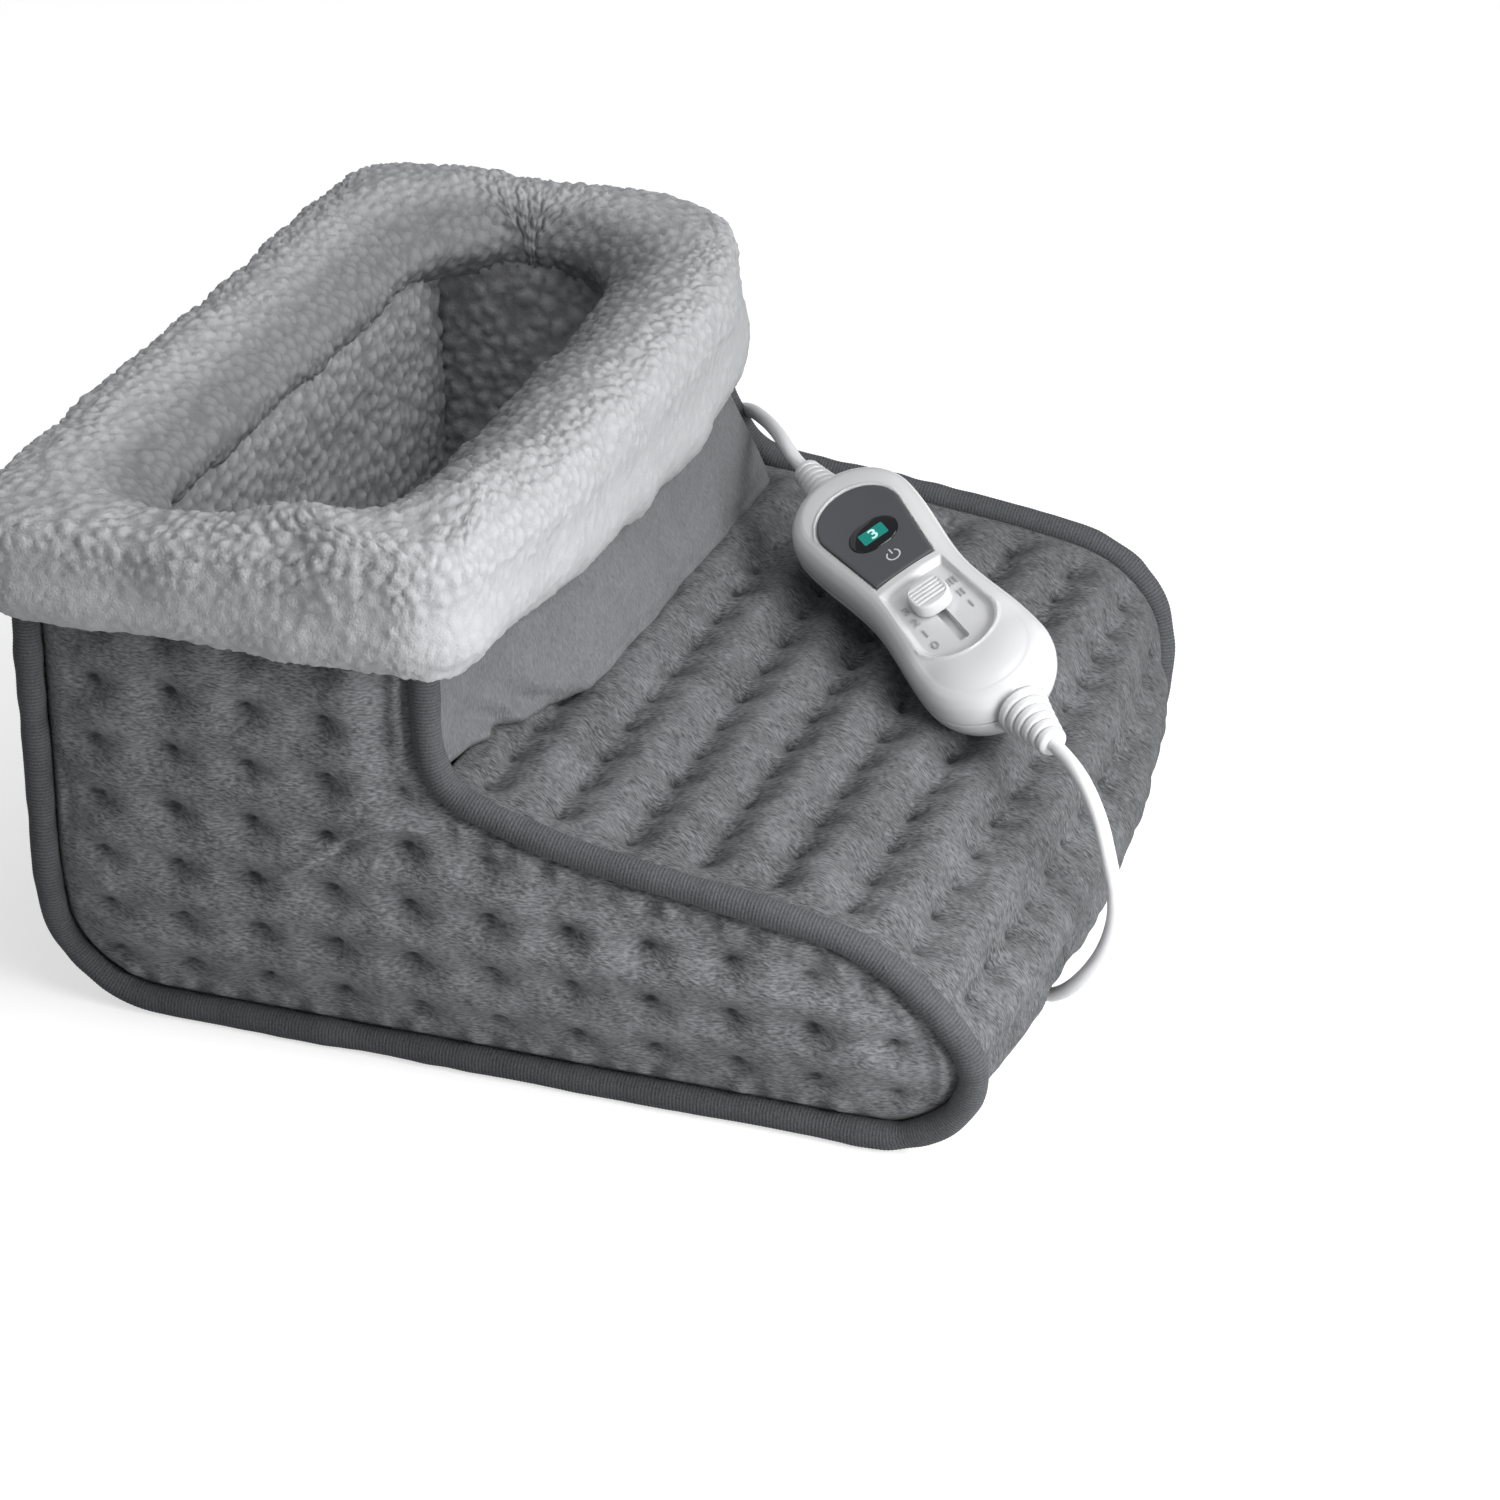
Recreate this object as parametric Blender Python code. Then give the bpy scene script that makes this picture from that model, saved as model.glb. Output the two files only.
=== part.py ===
"""Electric foot warmer: a quilted boot for both feet, warmed from the sole, with a slide controller on its cord.

The boot is a band of quilted fabric (vamp, sole, heel) between two quilted side panels, with a ribbed
binding rolled over each seam, a collar panel at the front of the shaft, a woolly lining and a
folded cuff. Under the lining lie a foam sole, a felt heating pad, its wire, a thermostat and a fuse.
The controller is a two-part moulded shell with a faceplate, a display, a circuit board and a slide
switch whose knob moves in a slot.

Frame: metres, +Z up, floor at z = 0, toe towards -Y, left side at -X.
"""
import math

import bmesh
import bpy
import numpy as np
from mathutils import Matrix, Vector
from mathutils.bvhtree import BVHTree
from mathutils.geometry import delaunay_2d_cdt

MERGE = 0.00001             # points closer than this are one
SLOPE_STEP = 0.002          # half the stretch over which a line's slope is measured
SMOOTH = math.radians(40.0) # edges blunter than this are shaded smooth

# Boot envelope
HALF_WIDTH = 0.140          # seam plane of a side panel
COLLAR_Y = 0.014            # front seam of the shaft
TOE_REACH = 0.170           # from the front seam to the nose
HEEL_Y = 0.1434             # back seam
INSTEP_HEIGHT = 0.0975      # seam height at the foot of the collar
PANEL_TOP = 0.166           # cut edge of the shaft's panels, under the cuff
HEEL_RADIUS = 0.032         # round of the heel seam above the floor
TOE_SETBACK = 0.017         # how far the right side of the nose has settled back
SETBACK_POWER = 8           # keeps the setback to the nose itself
SHAFT_LEAN = 0.022          # how far the shaft's right front corner leans back
CORNER_POWER = 2            # keeps the lean to the corner
LEAN_FOOT = 0.090           # height where the lean begins
SOLE_TUCK = 0.010           # how far the side seams draw in at the floor
TUCK_HEIGHT = 0.060         # height where they stand upright
TUCK_START_SHARE = 0.6      # from this share of the half width outwards the tuck is full
INSTEP_SINK = 0.009         # how far the seam has sunk at the collar's right foot
SINK_REACH = 0.024

# Panels and seams
PANEL_DEPTH = 0.017         # vamp, heel and collar, padding included
SIDE_DEPTH = 0.0048         # side panel at a tuft
SIDE_CROWN = 0.007          # how far a side puff stands out
BAND_CROWN = 0.0025         # how far a vamp puff stands above its seam
NOSE_CROWN = 0.006          # and how much further the nose bulges in its middle
TUFT_DEPTH = 0.0115         # from the crown of a vamp puff down to a tuft
BINDING_RADIUS = 0.0048     # rolled binding
BINDING_END = 0.003         # binding stops short of the panels' cut edge
SEAT_GAP = 0.0003           # clearance between hard pieces that touch
SOFT_GAP = 0.0014           # room between two layers of fabric
REST_GAP = 0.0008           # room under the controller
SEAM_STEP = 0.015           # longest step between points of a seam
PUFF_FADE = 0.018           # strip along a seam where the puffs flatten
CUT_OVERRUN = 0.004         # how far a cutter runs past what it cuts

# Quilting
VAMP_ROW_PITCH = 0.0234
VAMP_COLUMN_PITCH = 0.020
VAMP_FIRST_ROW = 0.012      # from the collar seam to the first row of tufts
SIDE_ROW_PITCH = 0.0194
SIDE_COLUMN_PITCH = 0.0255
SIDE_FIRST_ROW = 0.0236     # height of the lowest row of side tufts
SIDE_FIRST_COLUMN = 0.0724  # one column of side tufts, seen from the middle
CORNER_SHARE = 1.035        # height of the collar's foot against the instep's seam
VAMP_VALLEY_SHARE = 0.6
NOSE_START_SHARE = 0.45     # where along the vamp the nose's bulge begins
SIDE_VALLEY_SHARE = 0.4

# Sole and heating
SOLE_THICKNESS = 0.003
FOAM_THICKNESS = 0.0137
FELT_THICKNESS = 0.0017
FELT_MARGIN = 0.018         # felt inside the foam's edge
WIRE_RADIUS = 0.0012
WIRE_RUNS = 6
WIRE_MARGIN = 0.014         # outer run inside the felt's edge
WIRE_CAP_STEPS = 6
WIRE_CHANNEL = 0.007        # room behind the foam where the wire rises from the gland
FUSE_LENGTH = 0.012
FUSE_RADIUS = 0.0011
THERMOSTAT_LENGTH = 0.011
THERMOSTAT_WIDTH = 0.007
THERMOSTAT_HEIGHT = 0.0022
SENSOR_OFFSET = 0.009       # sensors beside the middle of the felt
LINING_THICKNESS = 0.008
LINING_ROWS = 36
SOLE_ROWS = 7

# Cuff
RIM_HEIGHT = 0.180
RIM_LIFT = 0.010            # the cuff stands higher at its front left corner
RIM_LIFT_REACH = 0.032
CUFF_BULGE = 0.0105
CUFF_CORNER_RADIUS = 0.012
CUFF_INNER_RADIUS = 0.034
CUFF_LOW_LEFT = 0.145       # lower edge of the cuff on the left
CUFF_LOW_RIGHT = 0.124      # and on the right
CUFF_CORNER_STEPS = 4
CUFF_SIDE_STEPS = 8

# Controller
LOBE_RADIUS_IN = 0.0222     # lobe with the display, where the lead comes in
LOBE_RADIUS_OUT = 0.0224    # lobe with the slider, where the mains cord goes out
WAIST_HALF_WIDTH = 0.0186
SHELL_END_IN = 0.062        # from the faceplate's straight edge to the lead's end
SHELL_END_OUT = 0.069       # and to the mains cord's end
SHELL_TOP = 0.0120          # parting line up to the deck
SHELL_BOTTOM = 0.0140       # parting line down to the belly
SHELL_WALL = 0.0021
DECK_WALL = 0.0040
DECK_INSET = 0.0062         # from the shell's outline in to the flat deck
PLATE_THICKNESS = 0.0009
PLATE_TOP = 0.0465          # from its straight edge up to the faceplate's round end
PLATE_HALF_WIDTH = 0.0148
PLATE_EDGE_HALF_WIDTH = 0.0112
WINDOW_LENGTH = 0.0165
WINDOW_WIDTH = 0.0105
WINDOW_CENTRE = 0.0214
LCD_LENGTH = 0.0096
LCD_WIDTH = 0.0062
LCD_THICKNESS = 0.0022
RECESS_TOP = 0.0040         # from the faceplate's straight edge to the recess
RECESS_END = 0.0440
RECESS_HALF_WIDTH = 0.0142
RECESS_TOP_HALF_WIDTH = 0.0122
RECESS_DEPTH = 0.0022
KNOB_LENGTH = 0.0130
KNOB_WIDTH = 0.0122
KNOB_HEIGHT = 0.0048
KNOB_RIBS = 5
KNOB_RIB_HEIGHT = 0.0006
KNOB_RIB_SPAN_SHARE = 0.78  # ribs over the knob's length
KNOB_RIB_REACH_SHARE = 0.36
KNOB_SQUARE_SHARE = 0.8     # 1 is an ellipse, less is squarer
KNOB_REST = 0.0169          # from the faceplate's straight edge to the knob at its highest step
KNOB_TRAVEL = 0.0200
STEM_SIDE = 0.0030
SWITCH_HALF_WIDTH = 0.0050
SWITCH_HEIGHT = 0.0042
SWITCH_FLOOR = 0.0012
SWITCH_END_WALL = 0.0022
ACTUATOR_LENGTH = 0.0060
BOARD_THICKNESS = 0.0013
BOARD_MARGIN = 0.0022       # board inside the cavity
BOARD_END_MARGIN = 0.015
POST_RADIUS = 0.0034
SCREW_RADIUS = 0.0011
SCREW_HEAD_RADIUS = 0.0024
SCREW_HEAD_HEIGHT = 0.0018
SCREW_SINK = 0.0012
SCREW_IN = 0.046            # screw under the display lobe
SCREW_OUT = 0.054           # screw under the slider lobe
CONTROLLER_YAW = math.radians(46.0)
CONTROLLER_PITCH = math.radians(8.0)
CONTROLLER_ROLL = math.radians(27.4)
CONTROLLER_X = 0.0285
CONTROLLER_Y = -0.0849

# Strain reliefs
RELIEF_FLANGE_RADIUS = 0.0050
RELIEF_FLANGE_LENGTH = 0.0020
RELIEF_NECK_RADIUS = 0.0040
RELIEF_FLANGE_DEPTH = 0.0068    # from the shell's end in to the flange
LEAD_RELIEF_RADIUS = 0.0068
LEAD_RELIEF_LENGTH = 0.0165
LEAD_RELIEF_RIBS = 4
MAINS_RELIEF_RADIUS = 0.0092
MAINS_RELIEF_LENGTH = 0.0200
MAINS_RELIEF_RIBS = 6
RELIEF_TIP_RADIUS = 0.0040
RIB_DEPTH = 0.0007

# Cord
CORD_RADIUS = 0.0024
GLAND_SIDE_INSET = 0.034    # from the side seam in to the gland
GLAND_X = HALF_WIDTH - GLAND_SIDE_INSET
GLAND_Z = 0.0140
GLAND_RADIUS = 0.0046
GLAND_FACE_INSET = 0.0050    # from the heel seam's upright in to where the gland's ribs begin
GLAND_TIP_RADIUS = 0.0036
GLAND_LENGTH = 0.022
GLAND_RIBS = 4
COIL_CENTRE = (0.213, 0.062)
COIL_INNER_RADIUS = 0.0195
COIL_PITCH = 0.0053
COIL_TURNS = 3.5            # in each layer
COIL_STEPS = 24             # points for each turn
ROUTE_STEPS = 12            # steps of the smooth curve between two points of a route
TIE_WIDTH = 0.008
TIE_THICKNESS = 0.0012
PLUG_LENGTH = 0.036
PLUG_WIDTH = 0.0255
PLUG_HEIGHT = 0.0135
PLUG_RELIEF_LENGTH = 0.020
PLUG_RELIEF_RADIUS = 0.0052
PIN_RADIUS = 0.0020
PIN_LENGTH = 0.0190
PIN_SPACING = 0.0186
PIN_ROOT = 0.006

# Where layers are divided across the boot, as shares of their half width
STATION_SHARES = (-1.0, -0.6, 0.0, 0.4, 0.7, 0.86, 1.0)
# Seam line of the toe: shares of the toe's reach and of the instep's height
TOE_SHARES = ((0.000, 1.290), (0.010, 1.165), (0.045, 1.060), (0.125, 0.990), (0.253, 0.922),
              (0.418, 0.872), (0.603, 0.830), (0.770, 0.770), (0.885, 0.655), (0.968, 0.500),
              (1.000, 0.360), (0.982, 0.215), (0.930, 0.090), (0.850, 0.012), (0.770, 0.0))
# Cuff section: shares of the bulge outward and of the height from the lower edge to the rim
CUFF_OUTER_SHARES = ((0.72, 0.0), (1.0, 0.16), (0.92, 0.45), (0.95, 0.70), (0.62, 0.92))
# and shares of the wall's depth inward and of the height from the cut edge to the rim
CUFF_INNER_SHARES = ((0.10, 1.0), (0.42, 0.96), (0.75, 0.62), (1.0, 0.0))
# Shell section, from the parting line to the deck: shares of the deck's inset and of its height
TOP_SHARES = ((0.0, 0.0), (0.03, 0.30), (0.18, 0.60), (0.48, 0.84), (0.80, 0.97), (1.0, 1.0))
BELLY_SHARES = ((0.0, 0.0), (0.14, 0.32), (0.50, 0.62), (1.05, 0.86), (1.65, 0.98), (2.1, 1.0))

# Plug body: shares of its length from the middle, of its width and of its height
PLUG_SHARES = ((-0.5, 0.62, 0.84), (-0.40, 0.70, 0.90), (-0.16, 0.74, 0.92), (0.14, 0.95, 1.0), (0.5, 1.0, 1.0))

# Routes of the free cord, in metres, chosen by hand; each goes on from the strain relief before it
LEAD_ROUTE = (
    (0.1060, 0.1784, 0.0150), (0.1075, 0.1864, 0.0085), (0.1120, 0.1974, 0.0040),
    (0.1215, 0.2069, 0.0025), (0.1345, 0.2104, 0.0025), (0.1470, 0.2064, 0.0025),
    (0.1560, 0.1954, 0.0025), (0.1600, 0.1804, 0.0025), (0.1610, 0.1620, 0.0025),
    (0.1610, 0.1450, 0.0025), (0.1608, 0.1200, 0.0025), (0.1606, 0.0950, 0.0025),
    (0.1600, 0.0780, 0.0030), (0.1592, 0.0640, 0.0065), (0.1580, 0.0520, 0.0150),
    (0.1570, 0.0430, 0.0280), (0.1560, 0.0360, 0.0440), (0.1555, 0.0305, 0.0620),
    (0.1555, 0.0255, 0.0790), (0.1560, 0.0220, 0.0900), (0.1540, 0.0150, 0.0990),
    (0.1450, 0.0055, 0.1050), (0.1310, -0.0045, 0.1070), (0.1150, -0.0145, 0.1100),
    (0.0990, -0.0240, 0.1125),
)
MAINS_ROUTE = (
    (-0.0440, -0.1560, 0.0925), (-0.0530, -0.1640, 0.0890), (-0.0580, -0.1700, 0.0815),
    (-0.0590, -0.1740, 0.0715), (-0.0565, -0.1760, 0.0590), (-0.0530, -0.1745, 0.0450),
    (-0.0495, -0.1705, 0.0320), (-0.0465, -0.1640, 0.0205), (-0.0420, -0.1570, 0.0115),
    (-0.0350, -0.1495, 0.0050), (-0.0240, -0.1435, 0.0025), (-0.0080, -0.1415, 0.0025),
    (0.0150, -0.1405, 0.0025), (0.0400, -0.1400, 0.0025), (0.0650, -0.1395, 0.0025),
    (0.0900, -0.1390, 0.0025), (0.1130, -0.1390, 0.0025), (0.1320, -0.1360, 0.0025),
    (0.1460, -0.1240, 0.0025), (0.1535, -0.1050, 0.0025), (0.1575, -0.0800, 0.0025),
    (0.1600, -0.0500, 0.0025), (0.1645, -0.0220, 0.0025), (0.1700, 0.0050, 0.0025),
    (0.1735, 0.0270, 0.0030),
)
TAIL_ROUTE = ((0.2520, 0.0380, 0.0068), (0.2500, 0.0250, 0.0046), (0.2460, 0.0125, 0.0046))
PLUG_PLACE = (0.2150, -0.0420)     # middle of the plug's flat body
PLUG_HEADING = math.radians(-118.0)


def clear_scene():
    """Remove every object, so that the script gives the same result in an open file."""
    for item in list(bpy.data.objects):
        bpy.data.objects.remove(item, do_unlink=True)


def material(name, colour, roughness, metallic=0.0):
    """A plain Principled material."""
    made = bpy.data.materials.new(name)
    made.use_nodes = True
    shader = made.node_tree.nodes["Principled BSDF"]
    shader.inputs["Base Color"].default_value = (*colour, 1.0)
    shader.inputs["Roughness"].default_value = roughness
    shader.inputs["Metallic"].default_value = metallic
    return made


def add_object(name, data, finish, parent=None):
    """Link a mesh or curve to the scene with its finish, and hang it on its parent."""
    made = bpy.data.objects.new(name, data)
    bpy.context.scene.collection.objects.link(made)
    made.data.materials.append(finish)
    made.parent = parent
    return made


def solid(name, verts, faces, finish, parent=None, smooth=None):
    """An object from vertices and faces, its faces turned outwards, shaded smooth below an angle."""
    mesh = bpy.data.meshes.new(name)
    mesh.from_pydata([tuple(map(float, v)) for v in verts], [], [tuple(map(int, f)) for f in faces])
    work = bmesh.new()
    work.from_mesh(mesh)
    bmesh.ops.remove_doubles(work, verts=work.verts, dist=MERGE)
    bmesh.ops.recalc_face_normals(work, faces=work.faces)
    work.to_mesh(mesh)
    work.free()
    if smooth:
        mesh.shade_smooth()
        mesh.set_sharp_from_angle(angle=smooth)
    return add_object(name, mesh, finish, parent)


def boolean(target, cutter, operation="DIFFERENCE"):
    """Cut or join with another object, which stays as a wire guide."""
    cutter.hide_render = True
    cutter.display_type = "WIRE"
    step = target.modifiers.new(operation.lower(), "BOOLEAN")
    step.operation = operation
    step.solver = "EXACT"
    step.object = cutter


def smooth_line(points, per_span):
    """A smooth curve through the points, with per_span steps between two of them."""
    nodes = np.array(points, float)
    padded = np.vstack([2 * nodes[0] - nodes[1], nodes, 2 * nodes[-1] - nodes[-2]])
    made = []
    for i in range(len(nodes) - 1):
        a, b, c, d = padded[i:i + 4]
        for t in np.arange(per_span) / per_span:
            made.append(0.5 * (2 * b + (c - a) * t + (2 * a - 5 * b + 4 * c - d) * t ** 2
                               + (3 * b - a - 3 * c + d) * t ** 3))
    made.append(nodes[-1])
    return np.array(made)


def spread(line, marks):
    """Points of a line at the given distances along it."""
    steps = np.concatenate([[0.0], np.cumsum(np.linalg.norm(np.diff(line, axis=0), axis=1))])
    return np.stack([np.interp(marks, steps, line[:, k]) for k in range(line.shape[1])], -1)


def line_length(line):
    """Length of a line of points."""
    return float(np.linalg.norm(np.diff(line, axis=0), axis=1).sum())


def inset(line, distance):
    """Move a (y, z) line sideways, to the left of the way it runs, by a distance."""
    ways = np.diff(line, axis=0)
    ways /= np.linalg.norm(ways, axis=1)[:, None]
    sides = np.stack([-ways[:, 1], ways[:, 0]], -1)
    mean = np.vstack([sides[:1], sides[:-1] + sides[1:], sides[-1:]])
    mean /= np.linalg.norm(mean, axis=1)[:, None]
    reach = np.concatenate([[1.0], (mean[1:-1] * sides[1:]).sum(1), [1.0]])
    return line + mean * (distance / reach)[:, None]


def smoothstep(x):
    """Rises from 0 to 1 with level ends."""
    x = np.clip(x, 0.0, 1.0)
    return x * x * (3 - 2 * x)


def settle(points):
    """Let the fabric settle: nose, shaft and instep give way on the right, both sides tuck in below."""
    points = np.array(points, float)
    x, y, z = (points[..., k].copy() for k in range(3))
    across = np.clip(x / HALF_WIDTH, 0.0, None) ** 2
    nose = np.clip((COLLAR_Y - y) / TOE_REACH, 0.0, 1.0) ** SETBACK_POWER
    rise = smoothstep((z - LEAN_FOOT) / (PANEL_TOP - LEAN_FOOT))
    front = 1 - smoothstep((y - COLLAR_Y) / (HEEL_Y - COLLAR_Y))
    near = np.exp(-((y - COLLAR_Y) / SINK_REACH) ** 2 / 2) * smoothstep(z / LEAN_FOOT) * (1 - rise)
    points[..., 1] += across * TOE_SETBACK * nose + across ** CORNER_POWER * SHAFT_LEAN * rise * front
    points[..., 2] -= across * INSTEP_SINK * near
    return tuck(points)


def fill_in(line):
    """Add points so that no step of a line is longer than a seam's step."""
    made = [line[:1]]
    for a, b in zip(line[:-1], line[1:]):
        count = math.ceil(np.linalg.norm(b - a) / SEAM_STEP)
        made.append(a + (b - a) * (np.arange(1, count + 1) / count)[:, None])
    return np.vstack(made)


def seam_line():
    """Centre line (y, z) of a binding: down the shaft's front, round the toe, the floor and the heel."""
    base = BINDING_RADIUS
    toe = [(COLLAR_Y - t * TOE_REACH, base + h * (INSTEP_HEIGHT - base)) for t, h in TOE_SHARES]
    toe = smooth_line(toe, 2)
    turns = np.linspace(0.0, math.pi / 2, 6)
    heel = np.stack([HEEL_Y - HEEL_RADIUS + HEEL_RADIUS * np.sin(turns),
                     base + HEEL_RADIUS - HEEL_RADIUS * np.cos(turns)], -1)
    return fill_in(np.vstack([[(COLLAR_Y, PANEL_TOP)], toe, heel, [(HEEL_Y, PANEL_TOP)]]))


def body_line(seam):
    """Centre line of the quilted band: as the seam, but with a sharp corner at the foot of the collar."""
    nose = int(np.argmin(seam[:, 0]))
    toe = seam[:nose]
    toe = toe[toe[:, 0] < COLLAR_Y - TOE_SHARES[4][0] * TOE_REACH]
    corner = (COLLAR_Y, INSTEP_HEIGHT * CORNER_SHARE)
    return fill_in(np.vstack([[(COLLAR_Y, PANEL_TOP), corner], toe, seam[nose:]]))


def tuft(along, across, row_pitch, column_pitch, valley_share):
    """Depth share of the quilting: 1 at a tuft, the valley share between two, 0 on a puff's crown."""
    row = 0.5 + 0.5 * np.cos(2 * math.pi * along / row_pitch)
    column = 0.5 + 0.5 * np.cos(2 * math.pi * across / column_pitch)
    return row * (valley_share + (1 - valley_share) * column)


def side_sheet(name, side, edge, faces_x, pitches, finish):
    """A closed sheet in the plane of a side: an outline with lattice points, pushed out at both faces."""
    column_pitch, row_pitch = pitches
    y_low, z_low = edge.min(0)
    y_high, z_high = edge.max(0)
    columns = np.arange(math.ceil((y_low - SIDE_FIRST_COLUMN) / column_pitch),
                        math.floor((y_high - SIDE_FIRST_COLUMN) / column_pitch) + 1)
    rows = np.arange(math.ceil((z_low - SIDE_FIRST_ROW) / row_pitch),
                     math.floor((z_high - SIDE_FIRST_ROW) / row_pitch) + 1)
    lattice = [(SIDE_FIRST_COLUMN + c * column_pitch, SIDE_FIRST_ROW + r * row_pitch)
               for c in columns for r in rows]
    border = np.vstack([edge, edge[:1]])
    places = [(c, r) for c in columns for r in rows]
    kept = [k for k, p in enumerate(lattice) if inside(p, edge) and border_distance(p, border) > row_pitch / 2]
    inner = [lattice[k] for k in kept]
    number = {places[k]: len(edge) + n for n, k in enumerate(kept)}
    creases = [(number[c, r], number[c + i, r + j]) for c, r in number if c % 2 == 0 and r % 2 == 0
               for i in (-1, 1) for j in (-1, 1) if (c + i, r + j) in number]
    flat = [Vector(p) for p in list(edge) + inner]
    points, _, faces, *_ = delaunay_2d_cdt(flat, creases, [list(range(len(edge)))], 1, MERGE)
    points = np.array([tuple(p) for p in points])
    reach = np.array([border_distance(p, border) for p in points])
    outer_x, inner_x = faces_x(points, reach)
    outer = np.column_stack([side * outer_x, points])
    back = np.column_stack([side * inner_x, points])
    start, count = len(outer), len(edge)
    faces = [tuple(f) for f in faces] + [tuple(start + i for i in f[::-1]) for f in faces]
    faces += [(i, (i + 1) % count, start + (i + 1) % count, start + i) for i in range(count)]
    return solid(name, tuck(np.vstack([outer, back])), faces, finish, smooth=SMOOTH)


def side_edge(seam, side, distance):
    """Outline of a side in its own plane: the settled seam drawn in by a distance."""
    settled = settle(np.column_stack([np.full(len(seam), side * HALF_WIDTH), seam]))[:, 1:]
    return inset(settled, distance)


def side_panel(name, side, seam, finish):
    """A quilted side: the seam outline drawn in by the binding, puffed outwards over its tufts."""
    edge = side_edge(seam, side, BINDING_RADIUS + SEAT_GAP)

    def faces_x(points, reach):
        depth = tuft(points[:, 1] - SIDE_FIRST_ROW, points[:, 0] - SIDE_FIRST_COLUMN,
                     SIDE_ROW_PITCH, SIDE_COLUMN_PITCH, SIDE_VALLEY_SHARE)
        puffs = SIDE_CROWN * smoothstep(reach / PUFF_FADE) * (1 - depth)
        return HALF_WIDTH + puffs, np.full(len(points), HALF_WIDTH - SIDE_DEPTH)

    return side_sheet(name, side, edge, faces_x, (SIDE_COLUMN_PITCH / 2, SIDE_ROW_PITCH / 2), finish)


def tuck(points):
    """Draw the sides in towards the floor."""
    outward = np.clip(points[..., 0] / HALF_WIDTH / TUCK_START_SHARE, -1.0, 1.0)
    points[..., 0] -= outward * SOLE_TUCK * (1 - smoothstep(points[..., 2] / TUCK_HEIGHT))
    return points


def inside(point, outline):
    """Whether a point lies inside a closed outline, by counting crossings."""
    y, z = point
    a, b = outline, np.roll(outline, -1, axis=0)
    spans = (a[:, 1] > z) != (b[:, 1] > z)
    rise = np.where(b[:, 1] == a[:, 1], 1.0, b[:, 1] - a[:, 1])
    cross = a[:, 0] + (z - a[:, 1]) / rise * (b[:, 0] - a[:, 0])
    return bool(np.count_nonzero(spans & (y < cross)) % 2)


def border_distance(point, border):
    """Distance from a point to the nearest piece of a line."""
    a, b = border[:-1], border[1:]
    way = b - a
    share = np.clip(((point - a) * way).sum(1) / (way ** 2).sum(1), 0.0, 1.0)
    return float(np.linalg.norm(a + way * share[:, None] - point, axis=1).min())


def band(name, line, marks, outer_offset, finish, half_width, column_pitch):
    """A quilted band across the boot: rows at marks along the line, puffed out and flat within."""
    reach = math.floor(half_width / column_pitch * 2)
    columns = np.arange(-reach, reach + 1)
    x = np.concatenate([[-half_width], columns * column_pitch / 2, [half_width]])
    x = x[np.concatenate([[True], np.diff(x) > column_pitch / 8])]
    x[-1] = half_width
    rows = len(marks)
    outer, lifts = [], []
    for mark in marks:
        lift = outer_offset(mark, x)
        lifts.append(lift)
        near = spread(line, np.array([mark - SLOPE_STEP, mark, mark + SLOPE_STEP]))
        way = near[2] - near[0]
        way /= np.linalg.norm(way)
        out = np.array([way[1], -way[0]])
        outer.append(np.column_stack([x, near[1][0] + out[0] * lift, near[1][1] + out[1] * lift]))
    outer = settle(np.array(outer))
    within = spread(inset(line, PANEL_DEPTH), inset_marks(line, marks, PANEL_DEPTH))
    stations = half_width * np.array(STATION_SHARES)
    inner = settle([[(x, *p) for x in stations] for p in within])
    verts = list(outer.reshape(-1, 3)) + list(inner.reshape(-1, 3))
    front = np.arange(rows * len(x)).reshape(rows, len(x))
    back = front.size + np.arange(rows * len(stations)).reshape(rows, len(stations))
    faces = creased(front, np.array(lifts))
    for r in range(rows - 1):
        faces += [(back[r, c], back[r, c + 1], back[r + 1, c + 1], back[r + 1, c])
                  for c in range(len(stations) - 1)]
    for r in range(rows - 1):
        faces.append((front[r, 0], front[r + 1, 0], back[r + 1, 0], back[r, 0]))
        faces.append((front[r, -1], back[r, -1], back[r + 1, -1], front[r + 1, -1]))
    faces.append((*front[0], *back[0][::-1]))
    faces.append((*front[-1], *back[-1][::-1]))
    return solid(name, verts, faces, finish, smooth=SMOOTH)


def creased(grid, lifts):
    """Triangles of a grid: each quad is cut along the diagonal with the larger step in height."""
    faces = []
    for r in range(grid.shape[0] - 1):
        for c in range(grid.shape[1] - 1):
            a, b, d, e = grid[r, c], grid[r, c + 1], grid[r + 1, c + 1], grid[r + 1, c]
            falling = abs(lifts[r, c] - lifts[r + 1, c + 1])
            rising = abs(lifts[r, c + 1] - lifts[r + 1, c])
            faces += [(a, b, d), (a, d, e)] if falling > rising else [(a, b, e), (b, d, e)]
    return faces


def inset_marks(line, marks, distance):
    """Marks on the inset line that face the given marks on the line itself."""
    own = np.concatenate([[0.0], np.cumsum(np.linalg.norm(np.diff(line, axis=0), axis=1))])
    moved = inset(line, distance)
    other = np.concatenate([[0.0], np.cumsum(np.linalg.norm(np.diff(moved, axis=0), axis=1))])
    return np.interp(marks, own, other)


def band_half():
    """Half the width of the quilted band between the side panels."""
    return HALF_WIDTH - SIDE_DEPTH - SOFT_GAP / 2


def half_row_marks(first, pitch, length):
    """Marks at every half pitch, with both ends of the line."""
    start = first % (pitch / 2)
    marks = np.arange(start, length, pitch / 2)
    marks = marks[(marks > pitch / 6) & (marks < length - pitch / 6)]
    return np.concatenate([[0.0], marks, [length]])


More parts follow.
